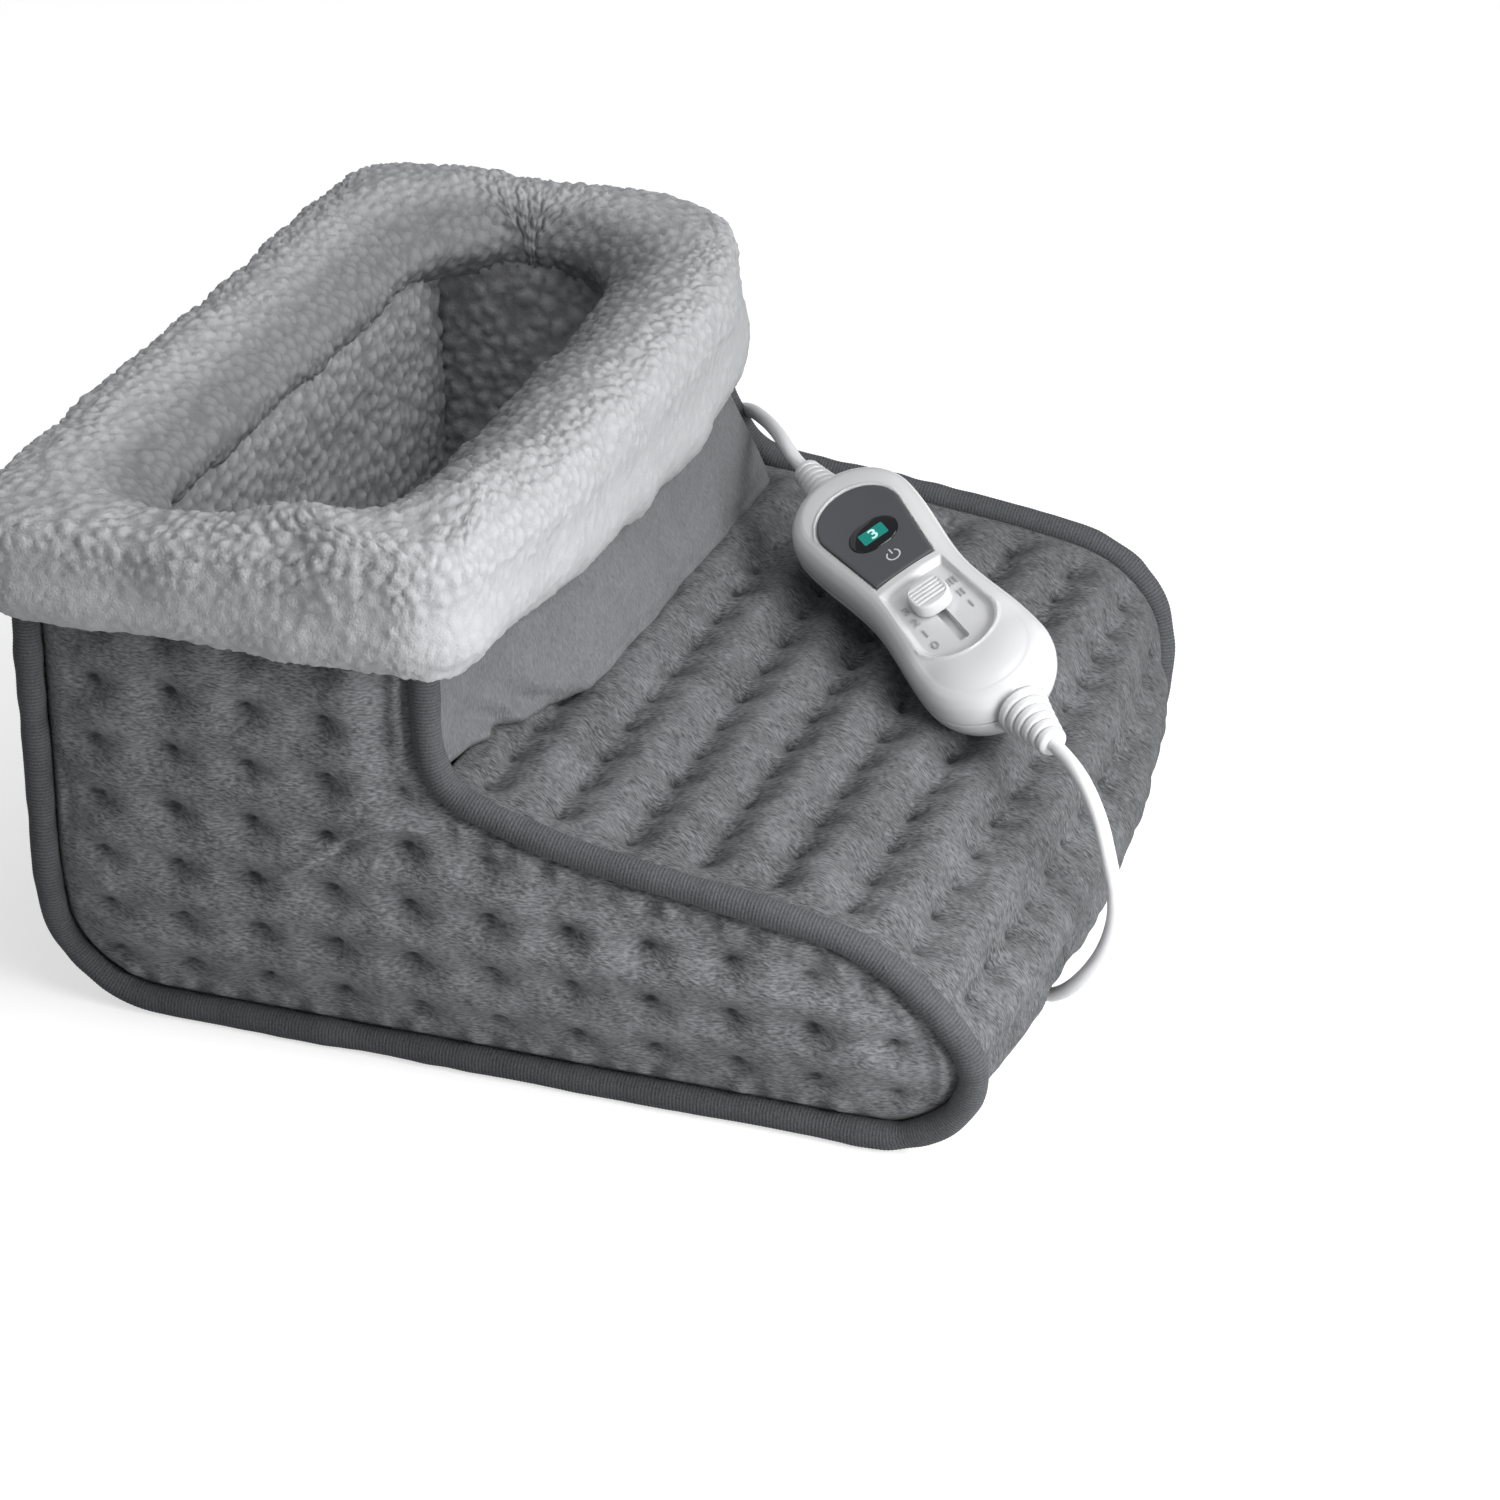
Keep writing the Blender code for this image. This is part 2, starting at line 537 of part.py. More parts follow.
def vamp_panel(line, finish):
    """The quilted top of the toe, from the collar over the instep and round the nose."""
    length = line_length(line)
    half = band_half()

    def lift(mark, x):
        ends = smoothstep(mark / PUFF_FADE) * smoothstep((length - mark) / (2 * PUFF_FADE))
        fade = ends * smoothstep((half - np.abs(x)) / PUFF_FADE)
        depth = tuft(mark - VAMP_FIRST_ROW, x, VAMP_ROW_PITCH, VAMP_COLUMN_PITCH, VAMP_VALLEY_SHARE)
        forward = smoothstep((mark / length - NOSE_START_SHARE) / (1 - NOSE_START_SHARE))
        nose = NOSE_CROWN * (1 - (x / half) ** 2) * forward
        return fade * (BAND_CROWN + nose - TUFT_DEPTH * depth)

    marks = half_row_marks(VAMP_FIRST_ROW, VAMP_ROW_PITCH, length)
    return band("vamp_panel", line, marks, lift, finish, half, VAMP_COLUMN_PITCH)


def heel_panel(line, finish):
    """The quilted back, from the floor round the heel and up the shaft."""
    length = line_length(line)
    half = band_half()

    def lift(mark, x):
        fade = smoothstep((half - np.abs(x)) / PUFF_FADE) * smoothstep(mark / (2 * PUFF_FADE))
        depth = tuft(length - mark, x, VAMP_ROW_PITCH, 2 * VAMP_COLUMN_PITCH, SIDE_VALLEY_SHARE)
        return fade * (BAND_CROWN - TUFT_DEPTH / 2 * depth)

    marks = half_row_marks(length, VAMP_ROW_PITCH, length)
    return band("heel_panel", line, marks, lift, finish, half, 2 * VAMP_COLUMN_PITCH)


def collar_panel(bottom, finish):
    """The smooth front of the shaft, between the two side panels, gently crowned."""
    half = band_half()
    x = half * np.array(STATION_SHARES)
    z = np.linspace(bottom, PANEL_TOP, 6)
    crown = BAND_CROWN * (1 - (x / half) ** 2)
    front = settle([np.column_stack([x, COLLAR_Y - crown, np.full(len(x), h)]) for h in z])
    depth = COLLAR_Y + PANEL_DEPTH
    back = settle([np.column_stack([x, np.full(len(x), depth), np.full(len(x), h)]) for h in z])
    return slab("collar_panel", front, back, finish)


def slab(name, front, back, finish, parent=None):
    """A closed slab between two grids of the same size."""
    rows, wide = front.shape[:2]
    verts = np.vstack([front.reshape(-1, 3), back.reshape(-1, 3)])
    index = np.arange(rows * wide).reshape(rows, wide)
    shift = rows * wide
    faces = []
    for r in range(rows - 1):
        for c in range(wide - 1):
            quad = (index[r, c], index[r, c + 1], index[r + 1, c + 1], index[r + 1, c])
            faces.append(quad)
            faces.append(tuple(shift + q for q in quad[::-1]))
    rim = list(index[0]) + list(index[1:, -1]) + list(index[-1, -2::-1]) + list(index[-2:0:-1, 0])
    for a, b in zip(rim, rim[1:] + rim[:1]):
        faces.append((a, b, shift + b, shift + a))
    return solid(name, verts, faces, finish, parent, smooth=SMOOTH)


def loft(name, rings, finish, parent=None, closed=False, smooth=None):
    """A solid through rings of equally many points, capped at both ends unless it closes on itself."""
    rings = np.array(rings)
    count, around = rings.shape[:2]
    index = np.arange(count * around).reshape(count, around)
    faces = []
    for r in range(count if closed else count - 1):
        following = index[(r + 1) % count]
        faces += [(index[r, k], index[r, (k + 1) % around], following[(k + 1) % around], following[k])
                  for k in range(around)]
    if not closed:
        faces += [tuple(index[0][::-1]), tuple(index[-1])]
    return solid(name, rings.reshape(-1, 3), faces, finish, parent, smooth or SMOOTH)


def inset_clean(line, distance):
    """Inset a line and leave out the loops that form inside tight bends."""
    moved = inset(line, distance)
    kept = [moved[0]]
    for place in moved[1:-1]:
        if border_distance(place, line) > distance - SEAT_GAP / 3 and math.dist(place, kept[-1]) > SOFT_GAP:
            kept.append(place)
    return np.array(kept + [moved[-1]])


def lining_band(body, half, finish):
    """The woolly lining's middle: a strip down the collar, into the toe, along the sole and up the heel."""
    wide = half - LINING_THICKNESS - 2 * SOFT_GAP
    stations = wide * np.array(STATION_SHARES)
    grids = []
    for distance in (PANEL_DEPTH + SOFT_GAP, PANEL_DEPTH + SOFT_GAP + LINING_THICKNESS):
        line = inset_clean(body, distance)
        line[[0, -1], 1] = PANEL_TOP
        line = spread(line, np.linspace(0.0, line_length(line), LINING_ROWS))
        grids.append(settle([[(x, *p) for x in stations] for p in line]))
    return slab("lining_band", grids[0], grids[1], finish)


def lining_side(name, side, seam, body, finish):
    """One side of the woolly lining, inside the quilted side panel."""
    settled = settle(np.column_stack([np.full(len(body), side * HALF_WIDTH), body]))[:, 1:]
    edge = inset_clean(settled, PANEL_DEPTH + SOFT_GAP)
    edge[[0, -1], 1] = PANEL_TOP
    outer_x = HALF_WIDTH - SIDE_DEPTH - SOFT_GAP

    def faces_x(points, reach):
        return np.full(len(points), outer_x), np.full(len(points), outer_x - LINING_THICKNESS)

    return side_sheet(name, side, edge, faces_x, (SIDE_COLUMN_PITCH, SIDE_ROW_PITCH), finish)


def plan_loop(half_x, front_y, back_y, radius, corner_steps, side_steps):
    """Points of a rounded rectangle seen from above, from its front left corner."""
    corners = ((-half_x + radius, front_y + radius, math.pi), (half_x - radius, front_y + radius, 1.5 * math.pi),
               (half_x - radius, back_y - radius, 0.0), (-half_x + radius, back_y - radius, 0.5 * math.pi))
    points = []
    for k, (x, y, start) in enumerate(corners):
        for angle in np.linspace(start, start + math.pi / 2, corner_steps):
            points.append((x + radius * math.cos(angle), y + radius * math.sin(angle)))
        next_x, next_y, angle = corners[(k + 1) % 4]
        last = np.array(points[-1])
        following = np.array((next_x + radius * math.cos(angle), next_y + radius * math.sin(angle)))
        points += [tuple(last + (following - last) * share) for share in np.arange(1, side_steps) / side_steps]
    return np.array(points)


def cuff(finish):
    """The folded cuff: a thick woolly roll over the shaft's cut edge with a skirt down its outside."""
    base_x, front_y = HALF_WIDTH + SIDE_CROWN + SOFT_GAP, COLLAR_Y - BINDING_RADIUS - 3 * SOFT_GAP
    back_y = HEEL_Y + BINDING_RADIUS + 2 * SOFT_GAP

    def loop(out, radius):
        return plan_loop(base_x + out, front_y - out, back_y + out, radius, CUFF_CORNER_STEPS, CUFF_SIDE_STEPS)

    base = loop(0.0, CUFF_CORNER_RADIUS)
    slide = smoothstep(-base[:, 0] / HALF_WIDTH)
    low = CUFF_LOW_RIGHT + (CUFF_LOW_LEFT - CUFF_LOW_RIGHT) * slide
    corner = np.array((-HALF_WIDTH, COLLAR_Y))
    rim = RIM_HEIGHT + RIM_LIFT * np.exp(-((base - corner) ** 2).sum(1) / (2 * RIM_LIFT_REACH ** 2))
    seat = np.full(len(base), PANEL_TOP + SOFT_GAP)
    reach = PANEL_DEPTH + LINING_THICKNESS
    levels = [(0.0, CUFF_CORNER_RADIUS, low)]
    levels += [(CUFF_BULGE * n, CUFF_CORNER_RADIUS + CUFF_BULGE * n, low + h * (rim - low))
               for n, h in CUFF_OUTER_SHARES]
    levels += [(-reach * n, CUFF_INNER_RADIUS, seat + h * (rim - seat)) for n, h in CUFF_INNER_SHARES]
    levels.append((0.0, CUFF_CORNER_RADIUS, seat))
    rings = [np.column_stack([loop(out, radius), height]) for out, radius, height in levels]
    return loft("sherpa_cuff", settle(np.array(rings).transpose(1, 0, 2)), finish, closed=True)


def tube(name, points, radius, finish, resolution=2, parent=None):
    """A round cord or wire along points, with filled caps."""
    curve = bpy.data.curves.new(name, "CURVE")
    curve.dimensions = "3D"
    line = curve.splines.new("POLY")
    line.points.add(len(points) - 1)
    for slot, place in zip(line.points, points):
        slot.co = (*[float(c) for c in place], 1.0)
    curve.bevel_depth = radius
    curve.bevel_resolution = resolution
    curve.use_fill_caps = True
    return add_object(name, curve, finish, parent)


def plate(name, outline, low, high, finish, parent=None):
    """A flat plate: an (x, y) outline between two heights."""
    outline = np.array(outline)
    rings = [[(x, y, z) for x, y in outline] for z in (low, high)]
    return loft(name, rings, finish, parent)


def rectangle(x_low, x_high, y_low, y_high):
    """Corners of a rectangle."""
    return [(x_low, y_low), (x_high, y_low), (x_high, y_high), (x_low, y_high)]


def rounded_bar(half_long, half_wide, steps=6, along_y=False):
    """A bar with half-round ends, centred on the origin."""
    middle = half_long - half_wide
    right = np.linspace(-math.pi / 2, math.pi / 2, steps)
    points = [(middle + half_wide * math.cos(a), half_wide * math.sin(a)) for a in right]
    points += [(-middle - half_wide * math.cos(a), -half_wide * math.sin(a)) for a in right]
    return [(-y, x) for x, y in points] if along_y else points


def turned(name, profile, finish, parent=None, axis_point=(0.0, 0.0, 0.0), way=(1.0, 0.0, 0.0), sides=16):
    """A solid of revolution: (distance along the axis, radius) pairs turned about a line."""
    way = Vector(way).normalized()
    turn = Vector((1.0, 0.0, 0.0)).rotation_difference(way).to_matrix()
    angles = 2 * math.pi * np.arange(sides) / sides
    rings = []
    for along, radius in profile:
        ring = [Vector(axis_point) + turn @ Vector((along, radius * math.cos(a), radius * math.sin(a)))
                for a in angles]
        rings.append([tuple(p) for p in ring])
    return loft(name, rings, finish, parent)


def relief_profile(start, base, tip, length, ribs, inner):
    """Profile of a ribbed strain relief: an inner flange and neck, then ribs that taper to the cord."""
    profile = list(inner)
    step = length / (2 * ribs)
    for k in range(2 * ribs):
        share = (k + 0.5) / (2 * ribs)
        radius = base + (tip - base) * share ** 0.8 - (RIB_DEPTH if k % 2 else 0.0)
        profile += [(start + k * step, radius), (start + (k + 1) * step, radius)]
    return profile


def shell_outline(shrink, steps):
    """Outline of the controller drawn in by a distance: two round lobes with a waist between them."""
    radius_in, radius_out = LOBE_RADIUS_IN - shrink, LOBE_RADIUS_OUT - shrink
    centre_in, centre_out = SHELL_END_IN - LOBE_RADIUS_IN, -(SHELL_END_OUT - LOBE_RADIUS_OUT)
    caps_in = np.linspace(-math.pi / 2, math.pi / 2, steps)
    caps_out = np.linspace(math.pi / 2, 1.5 * math.pi, steps)
    flank = np.linspace(centre_in, centre_out, steps + 2)[1:-1]
    waist = WAIST_HALF_WIDTH - shrink
    middle = (centre_in + centre_out) / 2
    lobe = np.where(flank > middle, radius_in, radius_out)
    reach = np.where(flank > middle, centre_in - middle, middle - centre_out)
    swell = np.abs(flank - middle) / reach
    width = waist + (lobe - waist) * smoothstep(swell)
    points = [(centre_in + radius_in * math.cos(a), radius_in * math.sin(a)) for a in caps_in]
    points += list(zip(flank, width))
    points += [(centre_out + radius_out * math.cos(a), radius_out * math.sin(a)) for a in caps_out]
    points += [(x, -y) for x, y in zip(flank[::-1], width[::-1])]
    return points


def shell_half(name, shares, deck_inset, height, steps, finish, parent, shrink=0.0, start=0.0):
    """One half of the shell as rings from the parting line to its flat, by the section's shares."""
    rings = []
    for across, up in shares:
        outline = shell_outline(shrink + deck_inset * across, steps)
        rings.append([(x, y, start + (height - start) * up) for x, y in outline])
    return loft(name, rings, finish, parent)


def plate_outline(clearance):
    """The faceplate: a round end over the display, tapering to a straight edge at the waist."""
    radius = PLATE_HALF_WIDTH - clearance
    centre = PLATE_TOP - PLATE_HALF_WIDTH
    edge = PLATE_EDGE_HALF_WIDTH - clearance
    lean = math.asin((PLATE_HALF_WIDTH - PLATE_EDGE_HALF_WIDTH) / centre)
    arc = [(centre + radius * math.cos(a), radius * math.sin(a))
           for a in np.linspace(-math.pi / 2 - lean, math.pi / 2 + lean, 13)]
    return arc + [(clearance, edge), (clearance, -edge)]


def recess_outline():
    """The dished field of the slider: a straight top, sides that swell and a round end."""
    centre = -(RECESS_END - RECESS_HALF_WIDTH)
    arc = [(centre - RECESS_HALF_WIDTH * math.cos(a), RECESS_HALF_WIDTH * math.sin(a))
           for a in np.linspace(-math.pi / 2, math.pi / 2, 11)]
    return [(-RECESS_TOP, -RECESS_TOP_HALF_WIDTH)] + arc + [(-RECESS_TOP, RECESS_TOP_HALF_WIDTH)]


def screw_places():
    """Where the two shell screws stand on the controller's long axis."""
    return (SCREW_IN, -SCREW_OUT)


def controller_shells(white, frame):
    """Top and bottom shells: hollow moulded halves that meet at the parting line."""
    half_gap = SEAT_GAP / 2
    top = shell_half("controller_top_shell", TOP_SHARES, DECK_INSET, SHELL_TOP, 9, white, frame, start=half_gap)
    bottom = shell_half("controller_bottom_shell", BELLY_SHARES, DECK_INSET, -SHELL_BOTTOM, 9, white, frame,
                        start=-half_gap)
    ceiling, floor = SHELL_TOP - DECK_WALL, -(SHELL_BOTTOM - SHELL_WALL)
    hollow_shares = (TOP_SHARES[0], TOP_SHARES[2], TOP_SHARES[-1])
    hollow_top = shell_half("top_hollow", hollow_shares, DECK_INSET, ceiling, 9, white, frame,
                            shrink=SHELL_WALL, start=-CUT_OVERRUN)
    hollow_shares = (BELLY_SHARES[0], BELLY_SHARES[2], BELLY_SHARES[-1])
    hollow_bottom = shell_half("bottom_hollow", hollow_shares, DECK_INSET, floor, 9, white, frame,
                               shrink=SHELL_WALL, start=CUT_OVERRUN)
    return top, bottom, hollow_top, hollow_bottom, ceiling, floor


def build_controller(white, dark, black, glow, board_green, steel, frame):
    """Every piece of the controller, in its own frame: +X to the lead's end, +Z out of the deck."""
    top, bottom, hollow_top, hollow_bottom, ceiling, floor = controller_shells(white, frame)
    board_top = -SEAT_GAP
    board_low = board_top - BOARD_THICKNESS
    boolean(top, hollow_top)
    boolean(bottom, hollow_bottom)

    for k, place in enumerate(screw_places()):
        post = turned(f"top_post_{k}", [(board_top + SEAT_GAP, POST_RADIUS), (ceiling + DECK_WALL / 4, POST_RADIUS)],
                      white, frame, (place, 0, 0), (0, 0, 1), 10)
        boolean(top, post, "UNION")
        stand = turned(f"bottom_post_{k}", [(floor - SHELL_WALL / 4, POST_RADIUS),
                                            (board_low - SEAT_GAP, POST_RADIUS)],
                       white, frame, (place, 0, 0), (0, 0, 1), 10)
        boolean(bottom, stand, "UNION")
    for k, place in enumerate(screw_places()):
        hole_radius = SCREW_RADIUS + SEAT_GAP
        shaft = turned(f"screw_hole_{k}", [(-SHELL_BOTTOM - CUT_OVERRUN, hole_radius), (ceiling, hole_radius)],
                       white, frame, (place, 0, 0), (0, 0, 1), 10)
        boolean(top, shaft)
        boolean(bottom, shaft)
        head_top = -SHELL_BOTTOM + SCREW_SINK + SCREW_HEAD_HEIGHT + SEAT_GAP
        sink = turned(f"screw_sink_{k}", [(-SHELL_BOTTOM - CUT_OVERRUN, SCREW_HEAD_RADIUS + SEAT_GAP),
                                          (head_top, SCREW_HEAD_RADIUS + SEAT_GAP)],
                      white, frame, (place, 0, 0), (0, 0, 1), 12)
        boolean(bottom, sink)

    pocket_floor = SHELL_TOP - PLATE_THICKNESS
    pocket = plate("plate_pocket", plate_outline(0.0), pocket_floor - SEAT_GAP, SHELL_TOP + CUT_OVERRUN, white, frame)
    boolean(top, pocket)
    shift = np.array((WINDOW_CENTRE, 0.0))
    well = rounded_bar(LCD_LENGTH / 2 + LCD_WIDTH / 2, LCD_WIDTH / 2 + 2 * SEAT_GAP, along_y=True)
    opening = np.array(well) + shift
    lcd_well = plate("display_well", opening, ceiling - CUT_OVERRUN, SHELL_TOP, white, frame)
    boolean(top, lcd_well)
    recess_floor = SHELL_TOP - RECESS_DEPTH
    recess = plate("slider_recess", recess_outline(), recess_floor, SHELL_TOP + CUT_OVERRUN, white, frame)
    boolean(top, recess)
    slot_end_in = -KNOB_REST + STEM_SIDE / 2 + 2 * SEAT_GAP
    slot_end_out = -KNOB_REST - KNOB_TRAVEL - STEM_SIDE / 2 - 2 * SEAT_GAP
    slot_half = STEM_SIDE / 2 + SEAT_GAP
    slot = plate("slider_slot", rectangle(slot_end_out, slot_end_in, -slot_half, slot_half),
                 ceiling - CUT_OVERRUN, SHELL_TOP, white, frame)
    boolean(top, slot)

    face = plate("faceplate", plate_outline(SEAT_GAP), pocket_floor, SHELL_TOP + SEAT_GAP, dark, frame)
    window_hole = np.array(rounded_bar(WINDOW_LENGTH / 2, WINDOW_WIDTH / 2, along_y=True)) + shift
    hole = plate("window_hole", window_hole, pocket_floor - CUT_OVERRUN, SHELL_TOP + CUT_OVERRUN, dark, frame)
    boolean(face, hole)
    window_long, window_wide = WINDOW_LENGTH / 2 - SEAT_GAP, WINDOW_WIDTH / 2 - SEAT_GAP
    plate("display_window", np.array(rounded_bar(window_long, window_wide, along_y=True)) + shift,
          pocket_floor, SHELL_TOP + SEAT_GAP, black, frame)
    lcd_top = pocket_floor - SEAT_GAP
    plate("lcd_module", np.array(rectangle(-LCD_WIDTH / 2, LCD_WIDTH / 2, -LCD_LENGTH / 2, LCD_LENGTH / 2)) + shift,
          lcd_top - LCD_THICKNESS, lcd_top, glow, frame)
    return top, bottom, ceiling, floor, recess_floor, board_top, board_low


def build_switch(ceiling, recess_floor, board_top, frame, slider, white, black, metal):
    """The slide switch: a fixed body on the board, and the knob, stem and actuator that slide."""
    middle = -KNOB_REST - KNOB_TRAVEL / 2
    channel_half = KNOB_TRAVEL / 2 + ACTUATOR_LENGTH / 2 + 2 * SEAT_GAP
    body_half = channel_half + SWITCH_END_WALL
    body_low = board_top + SEAT_GAP
    body_high = body_low + SWITCH_HEIGHT
    channel_wide = STEM_SIDE / 2 + SEAT_GAP
    body = plate("slide_switch_body", rectangle(middle - body_half, middle + body_half,
                                                -SWITCH_HALF_WIDTH, SWITCH_HALF_WIDTH),
                 body_low, body_high, black, frame)
    channel = plate("switch_channel", rectangle(middle - channel_half, middle + channel_half,
                                                -channel_wide, channel_wide),
                    body_low + SWITCH_FLOOR, body_high + CUT_OVERRUN, black, frame)
    boolean(body, channel)
    stem_low = body_high + SEAT_GAP
    actuator = plate("switch_actuator", rectangle(-ACTUATOR_LENGTH / 2, ACTUATOR_LENGTH / 2,
                                                  -STEM_SIDE / 2, STEM_SIDE / 2),
                     body_low + SWITCH_FLOOR + SEAT_GAP, stem_low - SEAT_GAP, metal, slider)
    knob_low = recess_floor + SEAT_GAP
    outline = np.array(knob_outline())
    levels = ((0.92, 0.0), (1.0, 0.12), (1.0, 0.5), (0.93, 0.82), (0.78, 1.0))
    rings = [[(x * s, y * s, knob_low + KNOB_HEIGHT * h) for x, y in outline] for s, h in levels]
    knob = loft("slider_knob", rings, white, slider)
    stem = plate("knob_stem", rectangle(-STEM_SIDE / 2, STEM_SIDE / 2, -STEM_SIDE / 2, STEM_SIDE / 2),
                 stem_low, knob_low + KNOB_HEIGHT / 2, white, slider)
    boolean(knob, stem, "UNION")
    rib_pitch = KNOB_LENGTH * KNOB_RIB_SPAN_SHARE / (KNOB_RIBS + 1)
    for k in range(KNOB_RIBS):
        x = (k - (KNOB_RIBS - 1) / 2) * rib_pitch
        reach = KNOB_WIDTH * KNOB_RIB_REACH_SHARE * math.sqrt(max(0.2, 1 - (2 * x / KNOB_LENGTH) ** 2))
        top_z = knob_low + KNOB_HEIGHT
        rib = plate(f"knob_rib_{k}", rectangle(x - rib_pitch / 5, x + rib_pitch / 5, -reach, reach),
                    top_z - KNOB_HEIGHT / 4, top_z + KNOB_RIB_HEIGHT, white, slider)
        boolean(knob, rib, "UNION")
    return body, actuator, knob


def knob_outline(steps=20):
    """Outline of the knob: a circle squared a little, longer along the slot."""
    angles = 2 * math.pi * np.arange(steps) / steps
    power = KNOB_SQUARE_SHARE
    return [(KNOB_LENGTH / 2 * math.copysign(abs(math.cos(a)) ** power, math.cos(a)),
             KNOB_WIDTH / 2 * math.copysign(abs(math.sin(a)) ** power, math.sin(a))) for a in angles]


def build_board(floor, board_top, board_low, frame, green, steel):
    """The circuit board on the lower posts, and the screws that clamp board and shells."""
    wide = WAIST_HALF_WIDTH - SHELL_WALL - DECK_INSET * BELLY_SHARES[1][0] - BOARD_MARGIN
    board = plate("circuit_board", rectangle(-(SHELL_END_OUT - BOARD_END_MARGIN), SHELL_END_IN - BOARD_END_MARGIN,
                                             -wide, wide), board_low, board_top, green, frame)
    for k, place in enumerate(screw_places()):
        hole = turned(f"board_hole_{k}", [(board_low - CUT_OVERRUN, SCREW_RADIUS + SEAT_GAP),
                                          (board_top + CUT_OVERRUN, SCREW_RADIUS + SEAT_GAP)],
                      green, frame, (place, 0, 0), (0, 0, 1), 10)
        boolean(board, hole)
        low = -SHELL_BOTTOM + SCREW_SINK
        profile = [(low, SCREW_HEAD_RADIUS), (low + SCREW_HEAD_HEIGHT, SCREW_HEAD_RADIUS),
                   (low + SCREW_HEAD_HEIGHT, SCREW_RADIUS), (board_top + POST_RADIUS, SCREW_RADIUS)]
        turned(f"shell_screw_{k + 1}", profile, steel, frame, (place, 0, 0), (0, 0, 1), 10)
    return board


def build_reliefs(top, bottom, frame, white):
    """Ribbed strain reliefs at both ends, each held by a flange inside the shells."""
    tips = []
    for name, end, way, base, length, ribs in (
            ("lead_strain_relief", SHELL_END_IN, 1.0, LEAD_RELIEF_RADIUS, LEAD_RELIEF_LENGTH, LEAD_RELIEF_RIBS),
            ("mains_strain_relief", SHELL_END_OUT, -1.0, MAINS_RELIEF_RADIUS, MAINS_RELIEF_LENGTH,
             MAINS_RELIEF_RIBS)):
        start = end + SEAT_GAP
        inside_wall = end - RELIEF_FLANGE_DEPTH
        inner = [(inside_wall - RELIEF_FLANGE_LENGTH, RELIEF_FLANGE_RADIUS), (inside_wall, RELIEF_FLANGE_RADIUS),
                 (inside_wall, RELIEF_NECK_RADIUS), (start, RELIEF_NECK_RADIUS)]
        turned(name, relief_profile(start, base, RELIEF_TIP_RADIUS, length, ribs, inner), white, frame,
               way=(way, 0, 0), sides=12)
        neck = turned(f"{name}_hole", [(inside_wall - RELIEF_FLANGE_LENGTH, RELIEF_NECK_RADIUS + SEAT_GAP),
                                       (end + CUT_OVERRUN, RELIEF_NECK_RADIUS + SEAT_GAP)],
                      white, frame, way=(way, 0, 0), sides=16)
        boolean(top, neck)
        boolean(bottom, neck)
        tips.append(Vector((way * (start + length), 0.0, 0.0)))
    return tips


def evaluated_tree(item):
    """Search tree over an object's finished mesh, in world space."""
    graph = bpy.context.evaluated_depsgraph_get()
    shape = item.evaluated_get(graph)
    mesh = shape.to_mesh()
    mesh.transform(shape.matrix_world)
    work = bmesh.new()
    work.from_mesh(mesh)
    tree = BVHTree.FromBMesh(work)
    places = [v.co.copy() for v in work.verts]
    work.free()
    shape.to_mesh_clear()
    return tree, places


def rest_height(moving, support):
    """How far to lower moving objects until one first touches the support, less the clearance."""
    bpy.context.view_layer.update()
    down, up = Vector((0, 0, -1)), Vector((0, 0, 1))
    support_tree, support_places = evaluated_tree(support)
    least = []
    for item in moving:
        tree, places = evaluated_tree(item)
        falls = [support_tree.ray_cast(p, down)[3] for p in places]
        falls += [tree.ray_cast(p, up)[3] for p in support_places]
        least += [d for d in falls if d is not None]
    return min(least) - REST_GAP


def build_plug(white, steel):
    """The mains plug lying flat, with its pins and its ribbed strain relief."""
    heading = Vector((math.cos(PLUG_HEADING), math.sin(PLUG_HEADING), 0.0))
    across = Vector((-heading.y, heading.x, 0.0))
    middle = Vector((*PLUG_PLACE, PLUG_HEIGHT / 2))
    rings = []
    for along, wide, tall in PLUG_SHARES:
        outline = rounded_bar(PLUG_WIDTH * wide / 2, PLUG_HEIGHT * tall / 2)
        place = middle + heading * (along * PLUG_LENGTH)
        rings.append([tuple(place + across * x + Vector((0, 0, y))) for x, y in outline])
    body = loft("plug_body", rings, white)
    for k, side in enumerate((-1, 1)):
        root = middle + heading * (PLUG_LENGTH / 2 - PIN_ROOT) + across * (side * PIN_SPACING / 2)
        turned(f"plug_pin_{k + 1}", [(0.0, PIN_RADIUS), (PIN_ROOT + PIN_LENGTH, PIN_RADIUS)],
               steel, axis_point=root, way=heading, sides=10)
        hole_radius = PIN_RADIUS + SEAT_GAP
        hole = turned(f"pin_hole_{k + 1}", [(-SEAT_GAP, hole_radius), (2 * PIN_ROOT, hole_radius)],
                      white, axis_point=root, way=heading, sides=10)
        boolean(body, hole)
    start = PLUG_LENGTH / 2 + SEAT_GAP
    profile = relief_profile(start, PLUG_RELIEF_RADIUS, RELIEF_TIP_RADIUS, PLUG_RELIEF_LENGTH, LEAD_RELIEF_RIBS, [])
    turned("plug_strain_relief", profile, white, axis_point=middle, way=-heading, sides=12)
    return middle - heading * (start + PLUG_RELIEF_LENGTH + SEAT_GAP), -heading


